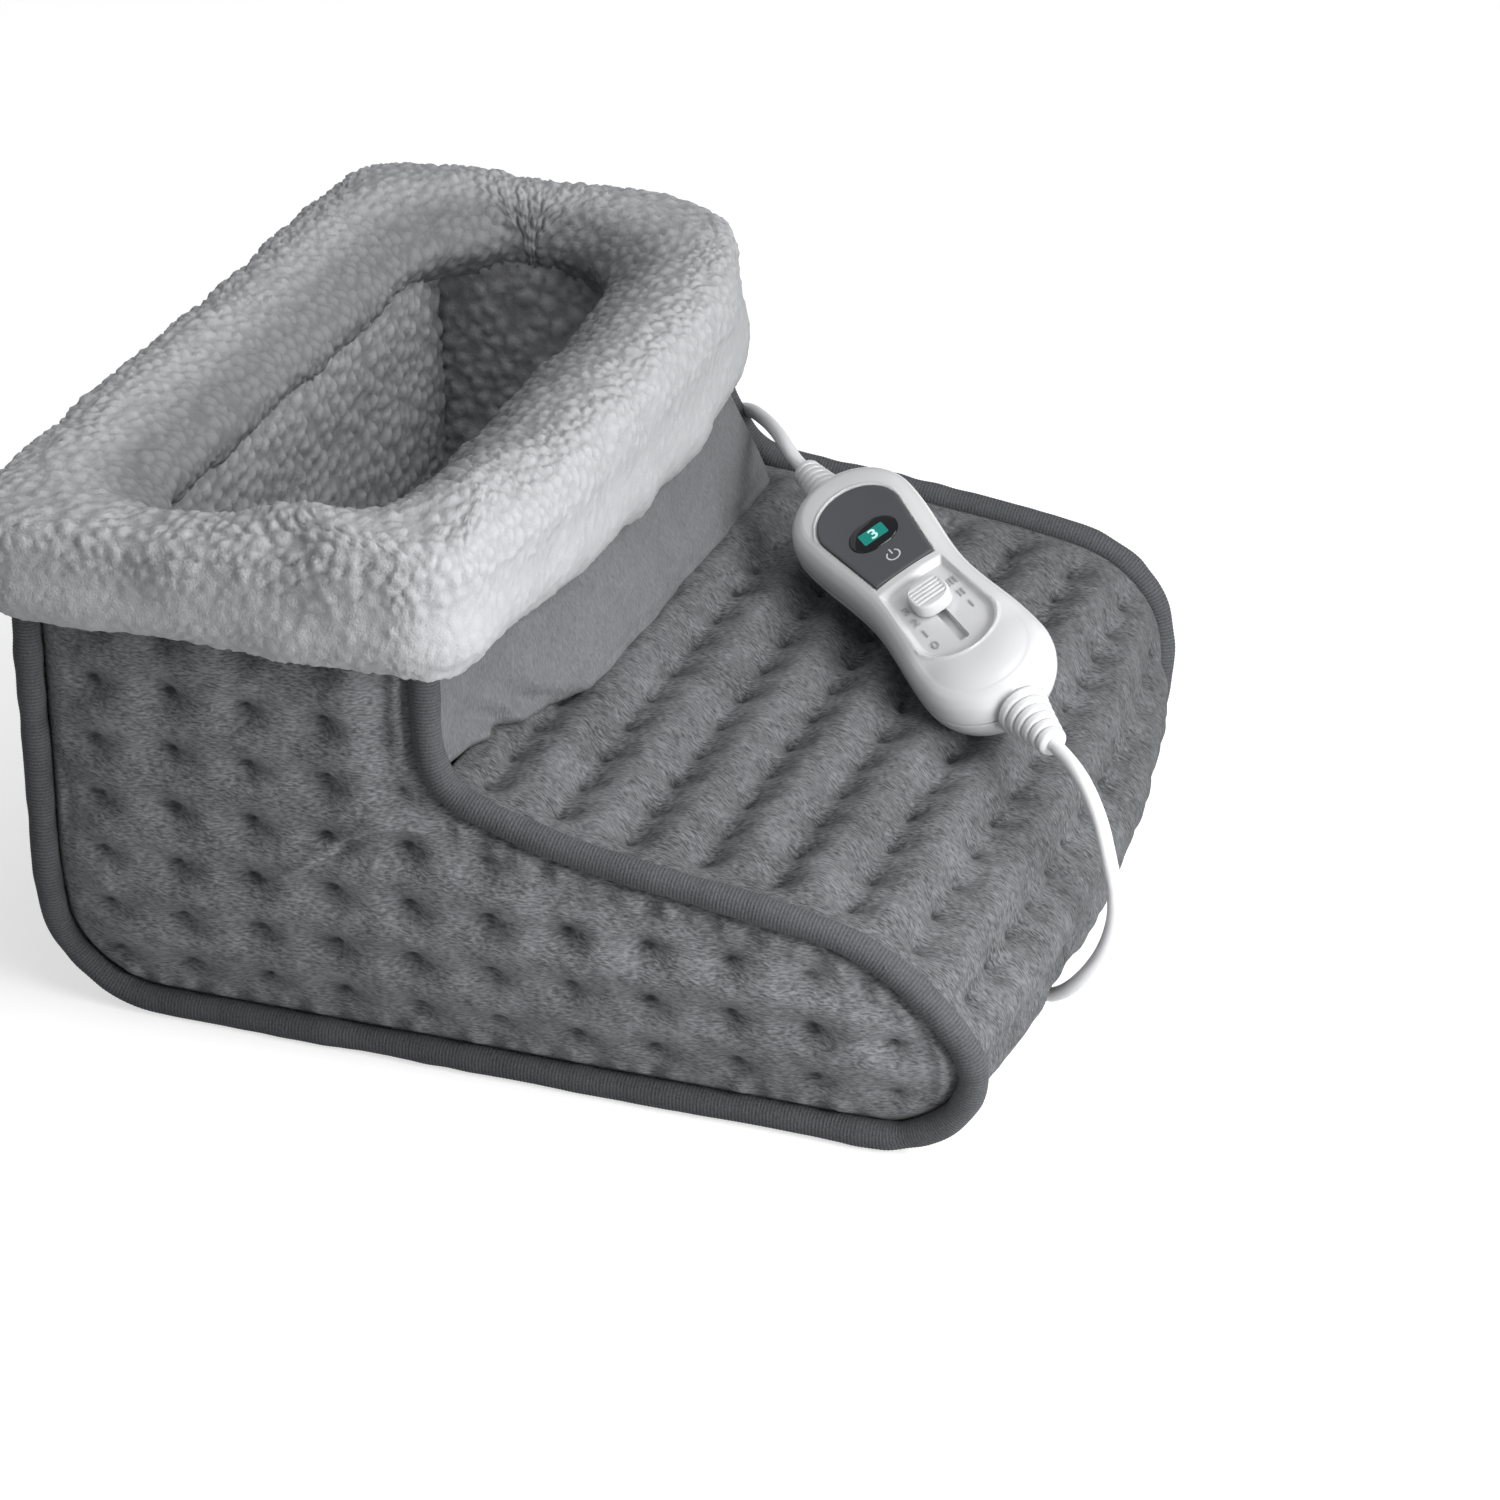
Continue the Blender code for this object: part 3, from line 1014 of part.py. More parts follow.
def build_tie(rubber):
    """The strap round the coil: a rectangular loop whose lower side lies on the floor."""
    quarter = COIL_PITCH / 4
    nearest = COIL_INNER_RADIUS + quarter - CORD_RADIUS
    low_y = math.sqrt(nearest ** 2 - (TIE_WIDTH / 2) ** 2) - SEAT_GAP
    high_y = COIL_INNER_RADIUS + COIL_PITCH * COIL_TURNS - quarter + CORD_RADIUS + SEAT_GAP
    low_z, high_z = TIE_THICKNESS, TIE_THICKNESS + 2 * SEAT_GAP + 2 * CORD_RADIUS + COIL_PITCH
    x, y = COIL_CENTRE
    rings = []
    for cy, cz, oy, oz in ((low_y, low_z, -1, -1), (high_y, low_z, 1, -1),
                           (high_y, high_z, 1, 1), (low_y, high_z, -1, 1)):
        rings.append([(x + sx * TIE_WIDTH / 2, y + cy + t * oy * TIE_THICKNESS, cz + t * oz * TIE_THICKNESS)
                      for sx, t in ((-1, 0), (1, 0), (1, 1), (-1, 1))])
    loft("coil_tie", rings, rubber, closed=True)


def cord_points(route, step):
    """Evenly spaced points on the smooth curve through a route, with a short straight piece at each end."""
    fine = smooth_line(route, ROUTE_STEPS)
    length, stub = line_length(fine), 2 * CORD_RADIUS
    count = max(2, round((length - 2 * stub) / step))
    places = spread(fine, np.linspace(stub, length - stub, count + 1))
    for near, end, towards in ((0, 0, 1), (-1, -1, -2)):
        way = route[towards] - route[end]
        places[near] = route[end] + way / np.linalg.norm(way) * stub
    return np.vstack([route[:1], places, route[-1:]])


def coil_points():
    """The put-away cord: spiralling in on the floor, up a layer in half a turn, and out again on top."""
    floor_z = TIE_THICKNESS + SEAT_GAP + CORD_RADIUS
    outer = COIL_INNER_RADIUS + COIL_PITCH * COIL_TURNS
    turns = np.linspace(0.0, 2 * COIL_TURNS + 0.5, round((2 * COIL_TURNS + 0.5) * COIL_STEPS) + 1)
    inward = np.minimum(turns, 2 * COIL_TURNS + 0.5 - turns)
    radius = outer - COIL_PITCH * inward
    climb = smoothstep((turns - COIL_TURNS) / 0.5)
    angle = math.pi - 2 * math.pi * turns
    points = np.stack([COIL_CENTRE[0] + radius * np.cos(angle), COIL_CENTRE[1] + radius * np.sin(angle),
                       floor_z + COIL_PITCH * climb], -1)
    last = points[-1] - points[-2]
    lead = 2 * CORD_RADIUS
    before = points[0] + np.array((0.0, -lead, 0.0))
    after = points[-1] + last / np.linalg.norm(last) * lead
    return np.vstack([before, points, after])


def least_self_gap(points, radius, skip):
    """Least clear distance of a tube to itself, leaving out the stretches next to each point."""
    fine = spread(points, np.arange(0.0, line_length(points), radius / 2))
    least = math.inf
    apart = round(skip / (radius / 2))
    for k in range(len(fine) - apart):
        least = min(least, float(np.linalg.norm(fine[k + apart:] - fine[k], axis=1).min()))
    return least - 2 * radius


def build_boot(grey, light_grey, trim, wool):
    """Every piece of the boot above its sole."""
    seam = seam_line()
    body = body_line(seam)
    half = band_half()
    side_panel("side_panel_left", -1, seam, grey)
    side_panel("side_panel_right", 1, seam, grey)
    corner = 1 + int(np.argmax(body[1:, 0] < COLLAR_Y - MERGE)) - 1
    nose = int(np.argmin(body[:, 0]))
    vamp_end = nose + int(np.argmax(body[nose:, 1] <= BINDING_RADIUS + SEAT_GAP))
    vamp_line = body[corner:vamp_end + 1]
    vamp = vamp_panel(vamp_line, grey)
    heel_start = vamp_end + int(np.argmax(body[vamp_end:, 0] > HEEL_Y - HEEL_RADIUS - MERGE))
    heel = heel_panel(body[heel_start:], grey)
    collar_panel(body[corner, 1] + SOFT_GAP, light_grey)
    lining_band(body, half, wool)
    for name, side in (("lining_left", -1), ("lining_right", 1)):
        lining_side(name, side, seam, body, wool)
    cuff(wool)
    rope = seam.copy()
    rope[[0, -1], 1] -= BINDING_END
    for name, side in (("binding_left", -1), ("binding_right", 1)):
        places = settle(np.column_stack([np.full(len(rope), side * HALF_WIDTH), rope]))
        tube(name, places, BINDING_RADIUS, trim)
    ends = np.vstack([vamp_line[-1:], inset(vamp_line, PANEL_DEPTH)[-1:]])
    return vamp, heel, half, float(ends[:, 0].max()) + SEAT_GAP, float(body[heel_start, 0]) - SEAT_GAP


def build_sole(half, front, back, sole_cloth, foam, felt, copper, steel):
    """The sole cloth, the foam, the felt pad with its wire, and the two temperature guards."""
    sole_half = half - SEAT_GAP
    rows = np.linspace(front, back, SOLE_ROWS)
    low = settle([[(-sole_half, y, 0.0), (sole_half, y, 0.0)] for y in rows])
    slab("sole_panel", low + np.array((0.0, 0.0, SOLE_THICKNESS)), low, sole_cloth)

    def corners(margin, height):
        left, right = -sole_half + margin, sole_half - margin
        toe, heel = front + margin, back - WIRE_CHANNEL - margin
        return settle([(left, toe, height), (right, toe, height), (right, heel, height), (left, heel, height)])

    foam_low = SOLE_THICKNESS + SEAT_GAP
    foam_high = foam_low + FOAM_THICKNESS
    felt_low = foam_high + SEAT_GAP
    felt_high = felt_low + FELT_THICKNESS
    loft("sole_foam", [corners(0.0, foam_low), corners(0.0, foam_high)], foam)
    loft("heating_felt", [corners(FELT_MARGIN, felt_low), corners(FELT_MARGIN, felt_high)], felt)

    wire_z = felt_high + SEAT_GAP + WIRE_RADIUS
    margin = FELT_MARGIN + WIRE_MARGIN
    toe_y, heel_y = front + margin, back - WIRE_CHANNEL - margin
    runs = np.linspace(sole_half - margin, margin - sole_half, WIRE_RUNS)
    bend = (runs[0] - runs[1]) / 2
    middle = back - WIRE_CHANNEL / 2
    wire = [(GLAND_X, back - SEAT_GAP, GLAND_Z), (GLAND_X, middle, GLAND_Z + WIRE_RADIUS),
            (GLAND_X, middle - WIRE_CHANNEL / 4, (GLAND_Z + wire_z) / 2), (GLAND_X, back - WIRE_CHANNEL, wire_z)]
    wire += [(runs[0], heel_y - bend, wire_z), (runs[0], toe_y + bend, wire_z)]
    for k in range(1, WIRE_RUNS):
        at_toe = k % 2 == 1
        turn_y, sign = (toe_y + bend, -1) if at_toe else (heel_y - bend, 1)
        for a in np.linspace(0, math.pi, WIRE_CAP_STEPS + 1)[1:-1]:
            wire.append((runs[k] + bend + bend * math.cos(a), turn_y + sign * bend * math.sin(a), wire_z))
        wire += [(runs[k], turn_y, wire_z), (runs[k], heel_y - bend if at_toe else toe_y + bend, wire_z)]
    tube("heating_wire", wire, WIRE_RADIUS, copper, resolution=1)
    middle = (toe_y + heel_y) / 2
    rest = felt_high + SEAT_GAP
    turned("thermal_fuse", [(-FUSE_LENGTH / 2, FUSE_RADIUS), (FUSE_LENGTH / 2, FUSE_RADIUS)], steel,
           axis_point=(0.0, middle - SENSOR_OFFSET, rest + FUSE_RADIUS), way=(0, 1, 0), sides=10)
    plate("thermostat", rectangle(-THERMOSTAT_WIDTH / 2, THERMOSTAT_WIDTH / 2, middle + SENSOR_OFFSET,
                                  middle + SENSOR_OFFSET + THERMOSTAT_LENGTH), rest, rest + THERMOSTAT_HEIGHT, steel)


def build_gland(heel, white):
    """The strain relief sewn through the heel, where the lead comes out of the boot."""
    inner_face = HEEL_Y - HEEL_RADIUS
    outer_face = HEEL_Y - GLAND_FACE_INSET
    inner = [(inner_face, GLAND_RADIUS), (outer_face, GLAND_RADIUS)]
    profile = relief_profile(outer_face, GLAND_RADIUS + RIB_DEPTH, GLAND_TIP_RADIUS, GLAND_LENGTH, GLAND_RIBS, inner)
    turned("lead_gland", profile, white, axis_point=(GLAND_X, 0.0, GLAND_Z), way=(0, 1, 0), sides=14)
    hole = turned("gland_hole", [(inner_face - CUT_OVERRUN, GLAND_RADIUS + SEAT_GAP),
                                 (outer_face + CUT_OVERRUN, GLAND_RADIUS + SEAT_GAP)],
                  white, axis_point=(GLAND_X, 0.0, GLAND_Z), way=(0, 1, 0), sides=14)
    boolean(heel, hole)
    return Vector((GLAND_X, outer_face + GLAND_LENGTH, GLAND_Z))


def build_cords(gland_tip, tips, frame, cord_finish, trim, steel):
    """The lead from boot to controller, the mains cord with its coil, its tie and its plug."""
    place = frame.matrix_world
    turn = place.to_3x3()
    straight = 3 * CORD_RADIUS
    lead_end = place @ tips[0] + turn @ Vector((SEAT_GAP, 0, 0))
    lead_way = turn @ Vector((1, 0, 0))
    start = gland_tip + Vector((0, SEAT_GAP, 0))
    lead = np.vstack([[start, start + Vector((0, straight / 2, 0))], LEAD_ROUTE,
                      [lead_end + lead_way * straight, lead_end]])
    tube("lead_cord", cord_points(lead, 5 * CORD_RADIUS), CORD_RADIUS, cord_finish)

    mains_start = place @ tips[1] - turn @ Vector((SEAT_GAP, 0, 0))
    mains_way = turn @ Vector((-1, 0, 0))
    coil = coil_points()
    join = coil[0] - np.array((0.0, SEAT_GAP, 0.0))
    mains = np.vstack([[mains_start, mains_start + mains_way * straight], MAINS_ROUTE,
                       [join - np.array((0.0, straight, 0.0)), join]])
    tube("mains_cord", cord_points(mains, 5 * CORD_RADIUS), CORD_RADIUS, cord_finish)
    tube("mains_cord_coil", coil, CORD_RADIUS, cord_finish, resolution=1)
    build_tie(trim)
    plug_end, plug_way = build_plug(cord_finish, steel)
    tail_start = coil[-1] + (coil[-1] - coil[-2]) / np.linalg.norm(coil[-1] - coil[-2]) * SEAT_GAP
    tail_way = (coil[-1] - coil[-2]) / np.linalg.norm(coil[-1] - coil[-2])
    tail = np.vstack([[tail_start, tail_start + tail_way * straight], TAIL_ROUTE,
                      [plug_end + plug_way * straight, plug_end]])
    tube("mains_cord_tail", cord_points(tail, 4 * CORD_RADIUS), CORD_RADIUS, cord_finish)
    print("tail length %.3f m" % line_length(tail), "plug end", [round(c, 4) for c in plug_end])
    print("coil: least gap to itself %.2f mm, length %.3f m" %
          (1000 * least_self_gap(coil, CORD_RADIUS, 12 * CORD_RADIUS), line_length(coil)))
    print("lead_cord length %.3f m, mains_cord length %.3f m" % (line_length(lead), line_length(mains)))
    print("lead exit", [round(c, 4) for c in start], "lead end", [round(c, 4) for c in lead_end])
    print("mains exit", [round(c, 4) for c in mains_start], "coil", coil[0].round(4), coil[-1].round(4))


def main():
    """Build the whole foot warmer."""
    clear_scene()
    grey = material("quilted_plush", (0.23, 0.235, 0.245), 0.9)
    light_grey = material("smooth_plush", (0.30, 0.305, 0.315), 0.9)
    trim = material("ribbed_binding", (0.06, 0.065, 0.07), 0.85)
    wool = material("sherpa", (0.62, 0.62, 0.63), 0.95)
    sole_cloth = material("sole_cloth", (0.05, 0.05, 0.055), 0.8)
    foam = material("foam", (0.75, 0.74, 0.70), 0.95)
    felt = material("felt", (0.70, 0.68, 0.62), 0.95)
    copper = material("wire_jacket", (0.65, 0.25, 0.15), 0.5)
    white = material("white_plastic", (0.82, 0.82, 0.83), 0.3)
    dark = material("faceplate_grey", (0.09, 0.09, 0.095), 0.35)
    black = material("window_black", (0.01, 0.01, 0.012), 0.15)
    glow = material("lcd", (0.03, 0.35, 0.33), 0.3)
    green = material("board", (0.02, 0.20, 0.08), 0.5)
    steel = material("steel", (0.55, 0.55, 0.56), 0.3, 1.0)
    cord_finish = material("cord_jacket", (0.80, 0.80, 0.81), 0.45)

    vamp, heel, half, front, back = build_boot(grey, light_grey, trim, wool)
    build_sole(half, front, back, sole_cloth, foam, felt, copper, steel)
    gland_tip = build_gland(heel, white)

    frame = bpy.data.objects.new("controller_frame", None)
    bpy.context.scene.collection.objects.link(frame)
    frame.rotation_euler = (Matrix.Rotation(CONTROLLER_YAW, 3, "Z") @ Matrix.Rotation(-CONTROLLER_PITCH, 3, "Y")
                            @ Matrix.Rotation(-CONTROLLER_ROLL, 3, "X")).to_euler()
    start_height = 2 * RIM_HEIGHT
    frame.location = (CONTROLLER_X, CONTROLLER_Y, start_height)
    slider = bpy.data.objects.new("slider_frame", None)
    bpy.context.scene.collection.objects.link(slider)
    slider.parent = frame
    slider.location = (-KNOB_REST, 0.0, 0.0)

    top, bottom, ceiling, floor, recess_floor, board_top, board_low = build_controller(
        white, dark, black, glow, green, steel, frame)
    build_board(floor, board_top, board_low, frame, green, steel)
    build_switch(ceiling, recess_floor, board_top, frame, slider, white, black, steel)
    tips = build_reliefs(top, bottom, frame, white)
    reliefs = [bpy.data.objects[n] for n in ("lead_strain_relief", "mains_strain_relief")]
    drop = rest_height([bottom, *reliefs], vamp)
    frame.location.z = start_height - drop
    bpy.context.view_layer.update()
    print("controller height", round(frame.location.z, 5))
    build_cords(gland_tip, tips, frame, cord_finish, trim, steel)


main()
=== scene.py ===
"""Looks of the electric foot warmer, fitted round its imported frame.

The boot's fabric, its woolly cuff, the controller and the cords are surfaces worked out with numpy: grids, and
profiles carried along paths, in the same frame and from the same sizes as the frame's solids. Every finish is
procedural. All lengths are in metres.
"""

import itertools
import logging
import math
from dataclasses import dataclass
from enum import Enum

import bmesh
import bpy
import numpy as np
from mathutils import Matrix, Vector
from mathutils.geometry import delaunay_2d_cdt

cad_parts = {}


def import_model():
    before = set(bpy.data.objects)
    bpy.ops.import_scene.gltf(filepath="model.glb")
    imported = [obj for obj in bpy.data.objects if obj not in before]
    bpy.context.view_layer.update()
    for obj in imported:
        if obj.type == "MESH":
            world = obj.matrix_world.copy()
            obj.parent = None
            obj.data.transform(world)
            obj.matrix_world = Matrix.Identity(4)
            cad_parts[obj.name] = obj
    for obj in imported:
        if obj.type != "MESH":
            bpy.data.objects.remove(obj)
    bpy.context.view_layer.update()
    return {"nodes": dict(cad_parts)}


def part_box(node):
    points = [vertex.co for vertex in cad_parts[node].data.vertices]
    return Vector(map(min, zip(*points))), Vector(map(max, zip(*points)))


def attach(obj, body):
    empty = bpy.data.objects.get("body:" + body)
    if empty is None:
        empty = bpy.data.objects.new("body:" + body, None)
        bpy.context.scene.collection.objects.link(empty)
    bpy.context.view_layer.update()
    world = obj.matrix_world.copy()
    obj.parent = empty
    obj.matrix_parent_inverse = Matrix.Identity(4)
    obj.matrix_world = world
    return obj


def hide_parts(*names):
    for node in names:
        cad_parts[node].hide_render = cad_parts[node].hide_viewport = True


LOG = logging.getLogger("foot_warmer")

BOOT_BODY = "boot"
SLIDER_BODY = "slider"
GAP = 0.0003                # clearance between hard pieces
MERGE = 0.00001             # points closer than this are one
LOOP_SLACK = 0.0004         # how much nearer than its inset a drawn-in point may lie
TILE_ROOT = 0.0001          # how deep a printed mark is rooted in what carries it
Colour = tuple[float, float, float]


class Side(Enum):
    """The two sides of the boot, as the sign of x."""

    LEFT = -1
    RIGHT = 1


# Plain helpers on arrays

def smoothstep(x: np.ndarray | float) -> np.ndarray:
    """Rises from 0 to 1 with level ends: 3x^2 - 2x^3."""
    x = np.clip(x, 0.0, 1.0)
    return x * x * (3 - 2 * x)


def smooth_line(points: np.ndarray, per_span: int) -> np.ndarray:
    """A Catmull-Rom curve through the points.

    Args:
        points: the points to pass through, one row each, of any width.
        per_span: steps between two of them.

    Returns:
        The curve's points, one row each.
    """
    nodes = np.array(points, float)
    padded = np.vstack([2 * nodes[0] - nodes[1], nodes, 2 * nodes[-1] - nodes[-2]])
    t = (np.arange(per_span) / per_span)[:, None]
    a, b, c, d = (padded[k:len(padded) - 3 + k, None] for k in range(4))
    curve = 0.5 * (2 * b + (c - a) * t + (2 * a - 5 * b + 4 * c - d) * t ** 2 + (3 * b - a - 3 * c + d) * t ** 3)
    return np.vstack([curve.reshape(-1, nodes.shape[1]), nodes[-1:]])


def marks_of(line: np.ndarray) -> np.ndarray:
    """Distance along a line at each of its points."""
    return np.concatenate([[0.0], np.cumsum(np.linalg.norm(np.diff(line, axis=0), axis=1))])


def spread(line: np.ndarray, marks: np.ndarray) -> np.ndarray:
    """Points of a line at the given distances along it."""
    steps = marks_of(line)
    return np.stack([np.interp(marks, steps, line[:, k]) for k in range(line.shape[1])], -1)


def evenly(line: np.ndarray, step: float) -> np.ndarray:
    """The line's points at even steps, about as long as the one given."""
    length = marks_of(line)[-1]
    return spread(line, np.linspace(0.0, length, max(2, round(length / step)) + 1))


def even_loop(line: np.ndarray, step: float) -> np.ndarray:
    """The points of a closed line at even steps, its first one not repeated."""
    return evenly(np.vstack([line, line[:1]]), step)[:-1]


def unit(vectors: np.ndarray) -> np.ndarray:
    """The vectors, each of length one."""
    return vectors / np.linalg.norm(vectors, axis=-1, keepdims=True)


def inset(line: np.ndarray, distance: float) -> np.ndarray:
    """Move a plane line sideways, to the left of the way it runs."""
    ways = unit(np.diff(line, axis=0))
    sides = np.stack([-ways[:, 1], ways[:, 0]], -1)
    mean = unit(np.vstack([sides[:1], sides[:-1] + sides[1:], sides[-1:]]))
    reach = np.concatenate([[1.0], (mean[1:-1] * sides[1:]).sum(1), [1.0]])
    return line + mean * (distance / reach)[:, None]


def inset_loop(line: np.ndarray, distance: float) -> np.ndarray:
    """Move a closed line sideways, to the left of the way it runs."""
    return inset(np.vstack([line[-1:], line, line[:1]]), distance)[1:-1]


def clean_inset(line: np.ndarray, distance: float) -> np.ndarray:
    """The line drawn in, its ends kept, without the loops that form inside tight bends."""
    moved = inset(line, distance)
    near = np.array([np.linalg.norm(line - place, axis=1).min() for place in moved])
    ends = np.arange(len(moved)) % (len(moved) - 1) == 0
    return moved[(near > distance - LOOP_SLACK) | ends]


def arc(centre: tuple[float, float], radius: float | np.ndarray, angles: np.ndarray) -> np.ndarray:
    """Points round a centre at the given angles; with a negative radius they lie on its far side."""
    return np.stack([centre[0] + radius * np.cos(angles), centre[1] + radius * np.sin(angles)], -1)


def rounded(low: tuple[float, float], high: tuple[float, float], radius: float, steps: int) -> np.ndarray:
    """A rectangle with round corners, with as many points at each corner whatever its size."""
    centres = ((high[0] - radius, high[1] - radius), (low[0] + radius, high[1] - radius),
               (low[0] + radius, low[1] + radius), (high[0] - radius, low[1] + radius))
    return np.vstack([arc(centre, radius, math.pi * (0.5 * turn + np.linspace(0.0, 0.5, steps)))
                      for turn, centre in enumerate(centres)])


def tile_outline(long: float, wide: float, radius: float) -> np.ndarray:
    """A rectangle with round corners, centred on the origin."""
    return rounded((-long / 2, -wide / 2), (long / 2, wide / 2), radius, 5)


def at_height(flat: np.ndarray, height: float | np.ndarray) -> np.ndarray:
    """Plane points with a height for each, or the same height for all."""
    return np.column_stack([flat, np.broadcast_to(height, len(flat))])


def across_boot(x: np.ndarray, flat: np.ndarray) -> np.ndarray:
    """Points of the boot from a grid of (y, z) and the x of its columns."""
    return np.concatenate([np.broadcast_to(x[:, None], (*flat.shape[:2], 1)), flat], -1)


def outline_reach(points: np.ndarray, outline: np.ndarray) -> np.ndarray:
    """Distance from each point to a closed outline, negative outside: nearest segment, signed by crossings."""
    a, b = outline, np.roll(outline, -1, axis=0)
    way = b - a
    found = []
    for part in np.array_split(points, max(1, len(points) // 4000)):
        gap = part[:, None] - a
        share = np.clip((gap * way).sum(-1) / (way ** 2).sum(-1), 0.0, 1.0)
        least = np.linalg.norm(gap - share[..., None] * way, axis=-1).min(1)
        high = part[:, None, 1]
        spans = (a[:, 1] > high) != (b[:, 1] > high)
        rise = np.where(way[:, 1] == 0, 1.0, way[:, 1])
        cross = a[:, 0] + (high - a[:, 1]) / rise * way[:, 0]
        inner = np.count_nonzero(spans & (part[:, None, 0] < cross), axis=1) % 2 == 1
        found.append(np.where(inner, least, -least))
    return np.concatenate(found)


def hashed(*keys: np.ndarray, seed: float = 0.0) -> np.ndarray:
    """A random-looking share from 0 to 1 for whole numbers: the fraction of a large sine of them."""
    total = sum(key * factor for key, factor in zip(keys, (127.1, 311.7, 74.7))) + seed * 19.19
    return np.modf(np.abs(np.sin(total) * 43758.5453))[0]


def drift(points: np.ndarray, size: float, seed: float) -> np.ndarray:
    """Smooth noise from -1 to 1: hashed values at the corners of cells of that size, blended by smoothstep."""
    grid = points / size
    base = np.floor(grid)
    part = smoothstep(grid - base)
    total = np.zeros(points.shape[:-1])
    for corner in itertools.product((0, 1), repeat=points.shape[-1]):
        weight = np.prod(np.where(np.array(corner, bool), part, 1 - part), axis=-1)
        cell = base + np.array(corner)
        total += weight * hashed(*np.moveaxis(cell, -1, 0), seed=seed)
    return 2 * total - 1


def curls(points: np.ndarray, size: float, seed: float) -> np.ndarray:
    """Height share of curls of wool: 1 on a crown, 0 in the creases where two curls meet.

    Each cell holds one strewn point. The share is a dome on the nearest of them, times a step of how much farther
    the second nearest is.
    """
    grid = points / size
    base = np.floor(grid)
    least, second = np.full(points.shape[:-1], 9.0), np.full(points.shape[:-1], 9.0)
    for offset in itertools.product((-1, 0, 1), repeat=3):
        cell = base + np.array(offset)
        keys = np.moveaxis(cell, -1, 0)
        centre = cell + 0.5 + 0.9 * (np.stack([hashed(*keys, seed=seed + k) for k in (1, 2, 3)], -1) - 0.5)
        away = np.linalg.norm(grid - centre, axis=-1)
        second = np.minimum(second, np.maximum(away, least))
        least = np.minimum(least, away)
    return smoothstep((second - least) / 0.42) ** 0.6 * (1 - 0.55 * np.minimum(least, 1.0) ** 2)


def grid_normals(grid: np.ndarray) -> np.ndarray:
    """Unit normals of a grid of points: the cross product of its steps along both ways."""
    normal = np.cross(np.gradient(grid, axis=1), np.gradient(grid, axis=0))
    return normal / np.maximum(np.linalg.norm(normal, axis=-1, keepdims=True), 1e-12)


# Meshes and pieces

def grid_faces(rows: int, columns: int, loop: bool = False, closed: bool = False) -> np.ndarray:
    """Quads of a grid of points; with loop the last column joins the first, with closed the last row too."""
    index = np.arange(rows * columns).reshape(rows, columns)
    if loop:
        index = np.hstack([index, index[:, :1]])
    if closed:
        index = np.vstack([index, index[:1]])
    return np.stack([index[:-1, :-1], index[:-1, 1:], index[1:, 1:], index[1:, :-1]], -1).reshape(-1, 4)


def slab_faces(rows: int, columns: int) -> np.ndarray:
    """Quads of a closed slab between two grids of the same size, the second stored after the first."""
    front = grid_faces(rows, columns)
    index = np.arange(rows * columns).reshape(rows, columns)
    rim = np.concatenate([index[0], index[1:, -1], index[-1, -2::-1], index[-2:0:-1, 0]])
    after, shift = np.roll(rim, -1), rows * columns
    return np.concatenate([front, front[:, ::-1] + shift, np.stack([rim, rim + shift, after + shift, after], -1)])


@dataclass(frozen=True)
class Place:
    """How a piece belongs to the frame: its body, its record slot and the solids that it stands for."""

    slot: str
    replaces: tuple[str, ...] = ()
    body: str = BOOT_BODY


def settle_piece(item: bpy.types.Object, finish: bpy.types.Material, place: Place) -> bpy.types.Object:
    """Give a piece its finish and its place in the frame."""
    item.data.materials.clear()
    item.data.materials.append(finish)
    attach(item, place.body)
    if place.replaces:
        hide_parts(*place.replaces)
    return item


def make_piece(name: str, verts: np.ndarray, faces: list | np.ndarray, finish: bpy.types.Material, place: Place,
               marks: dict[str, np.ndarray] | None = None, sharp: float | None = None,
               turn: Matrix | None = None) -> bpy.types.Object:
    """A piece from points and faces.

    Args:
        name: the piece's name.
        verts: its points, one row each.
        faces: its faces, as rows of point numbers.
        finish: its material.
        place: how it belongs to the frame.
        marks: named numbers for each point, which the finish may read.
        sharp: edges that bend by more than this many degrees stay crisp; none do where it is left out.
        turn: a matrix that takes the points into the frame.

    Returns:
        The finished object, at the origin, with its place in its mesh.
    """
    mesh = bpy.data.meshes.new(name)
    mesh.from_pydata(np.asarray(verts, float).tolist(), [], [list(map(int, face)) for face in faces])
    for key, values in (marks or {}).items():
        mesh.attributes.new(key, "FLOAT", "POINT").data.foreach_set("value", np.asarray(values, np.float32))
    if turn is not None:
        mesh.transform(turn)
    work = bmesh.new()
    work.from_mesh(mesh)
    bmesh.ops.remove_doubles(work, verts=work.verts, dist=MERGE)
    bmesh.ops.recalc_face_normals(work, faces=work.faces)
    work.to_mesh(mesh)
    work.free()
    mesh.shade_smooth()
    if sharp is not None:
        mesh.set_sharp_from_angle(angle=math.radians(sharp))
    item = bpy.data.objects.new(name, mesh)
    bpy.context.scene.collection.objects.link(item)
    settle_piece(item, finish, place)
    LOG.info("%s: %d faces", name, len(mesh.polygons))
    return item


def turned(profile: np.ndarray, sides: int) -> tuple[np.ndarray, list]:
    """A closed body of revolution about x: (along, radius) pairs turned in even steps, with flat ends.

    Args:
        profile: distance along the axis and radius, one row each.
        sides: points round the axis.

    Returns:
        Points and faces.
    """
    angles = 2 * math.pi * np.arange(sides) / sides
    along, radius = np.asarray(profile, float).T
    return lofted(np.stack([np.repeat(along[:, None], sides, 1), radius[:, None] * np.cos(angles),
                            radius[:, None] * np.sin(angles)], -1))


def lofted(rings: np.ndarray) -> tuple[np.ndarray, list]:
    """A closed body through rings of equally many points, with flat ends; returns points and faces."""
    count, around = rings.shape[:2]
    faces = grid_faces(count, around, loop=True).tolist()
    faces += [list(range(around)), list(range((count - 1) * around, count * around))]
    return rings.reshape(-1, 3), faces


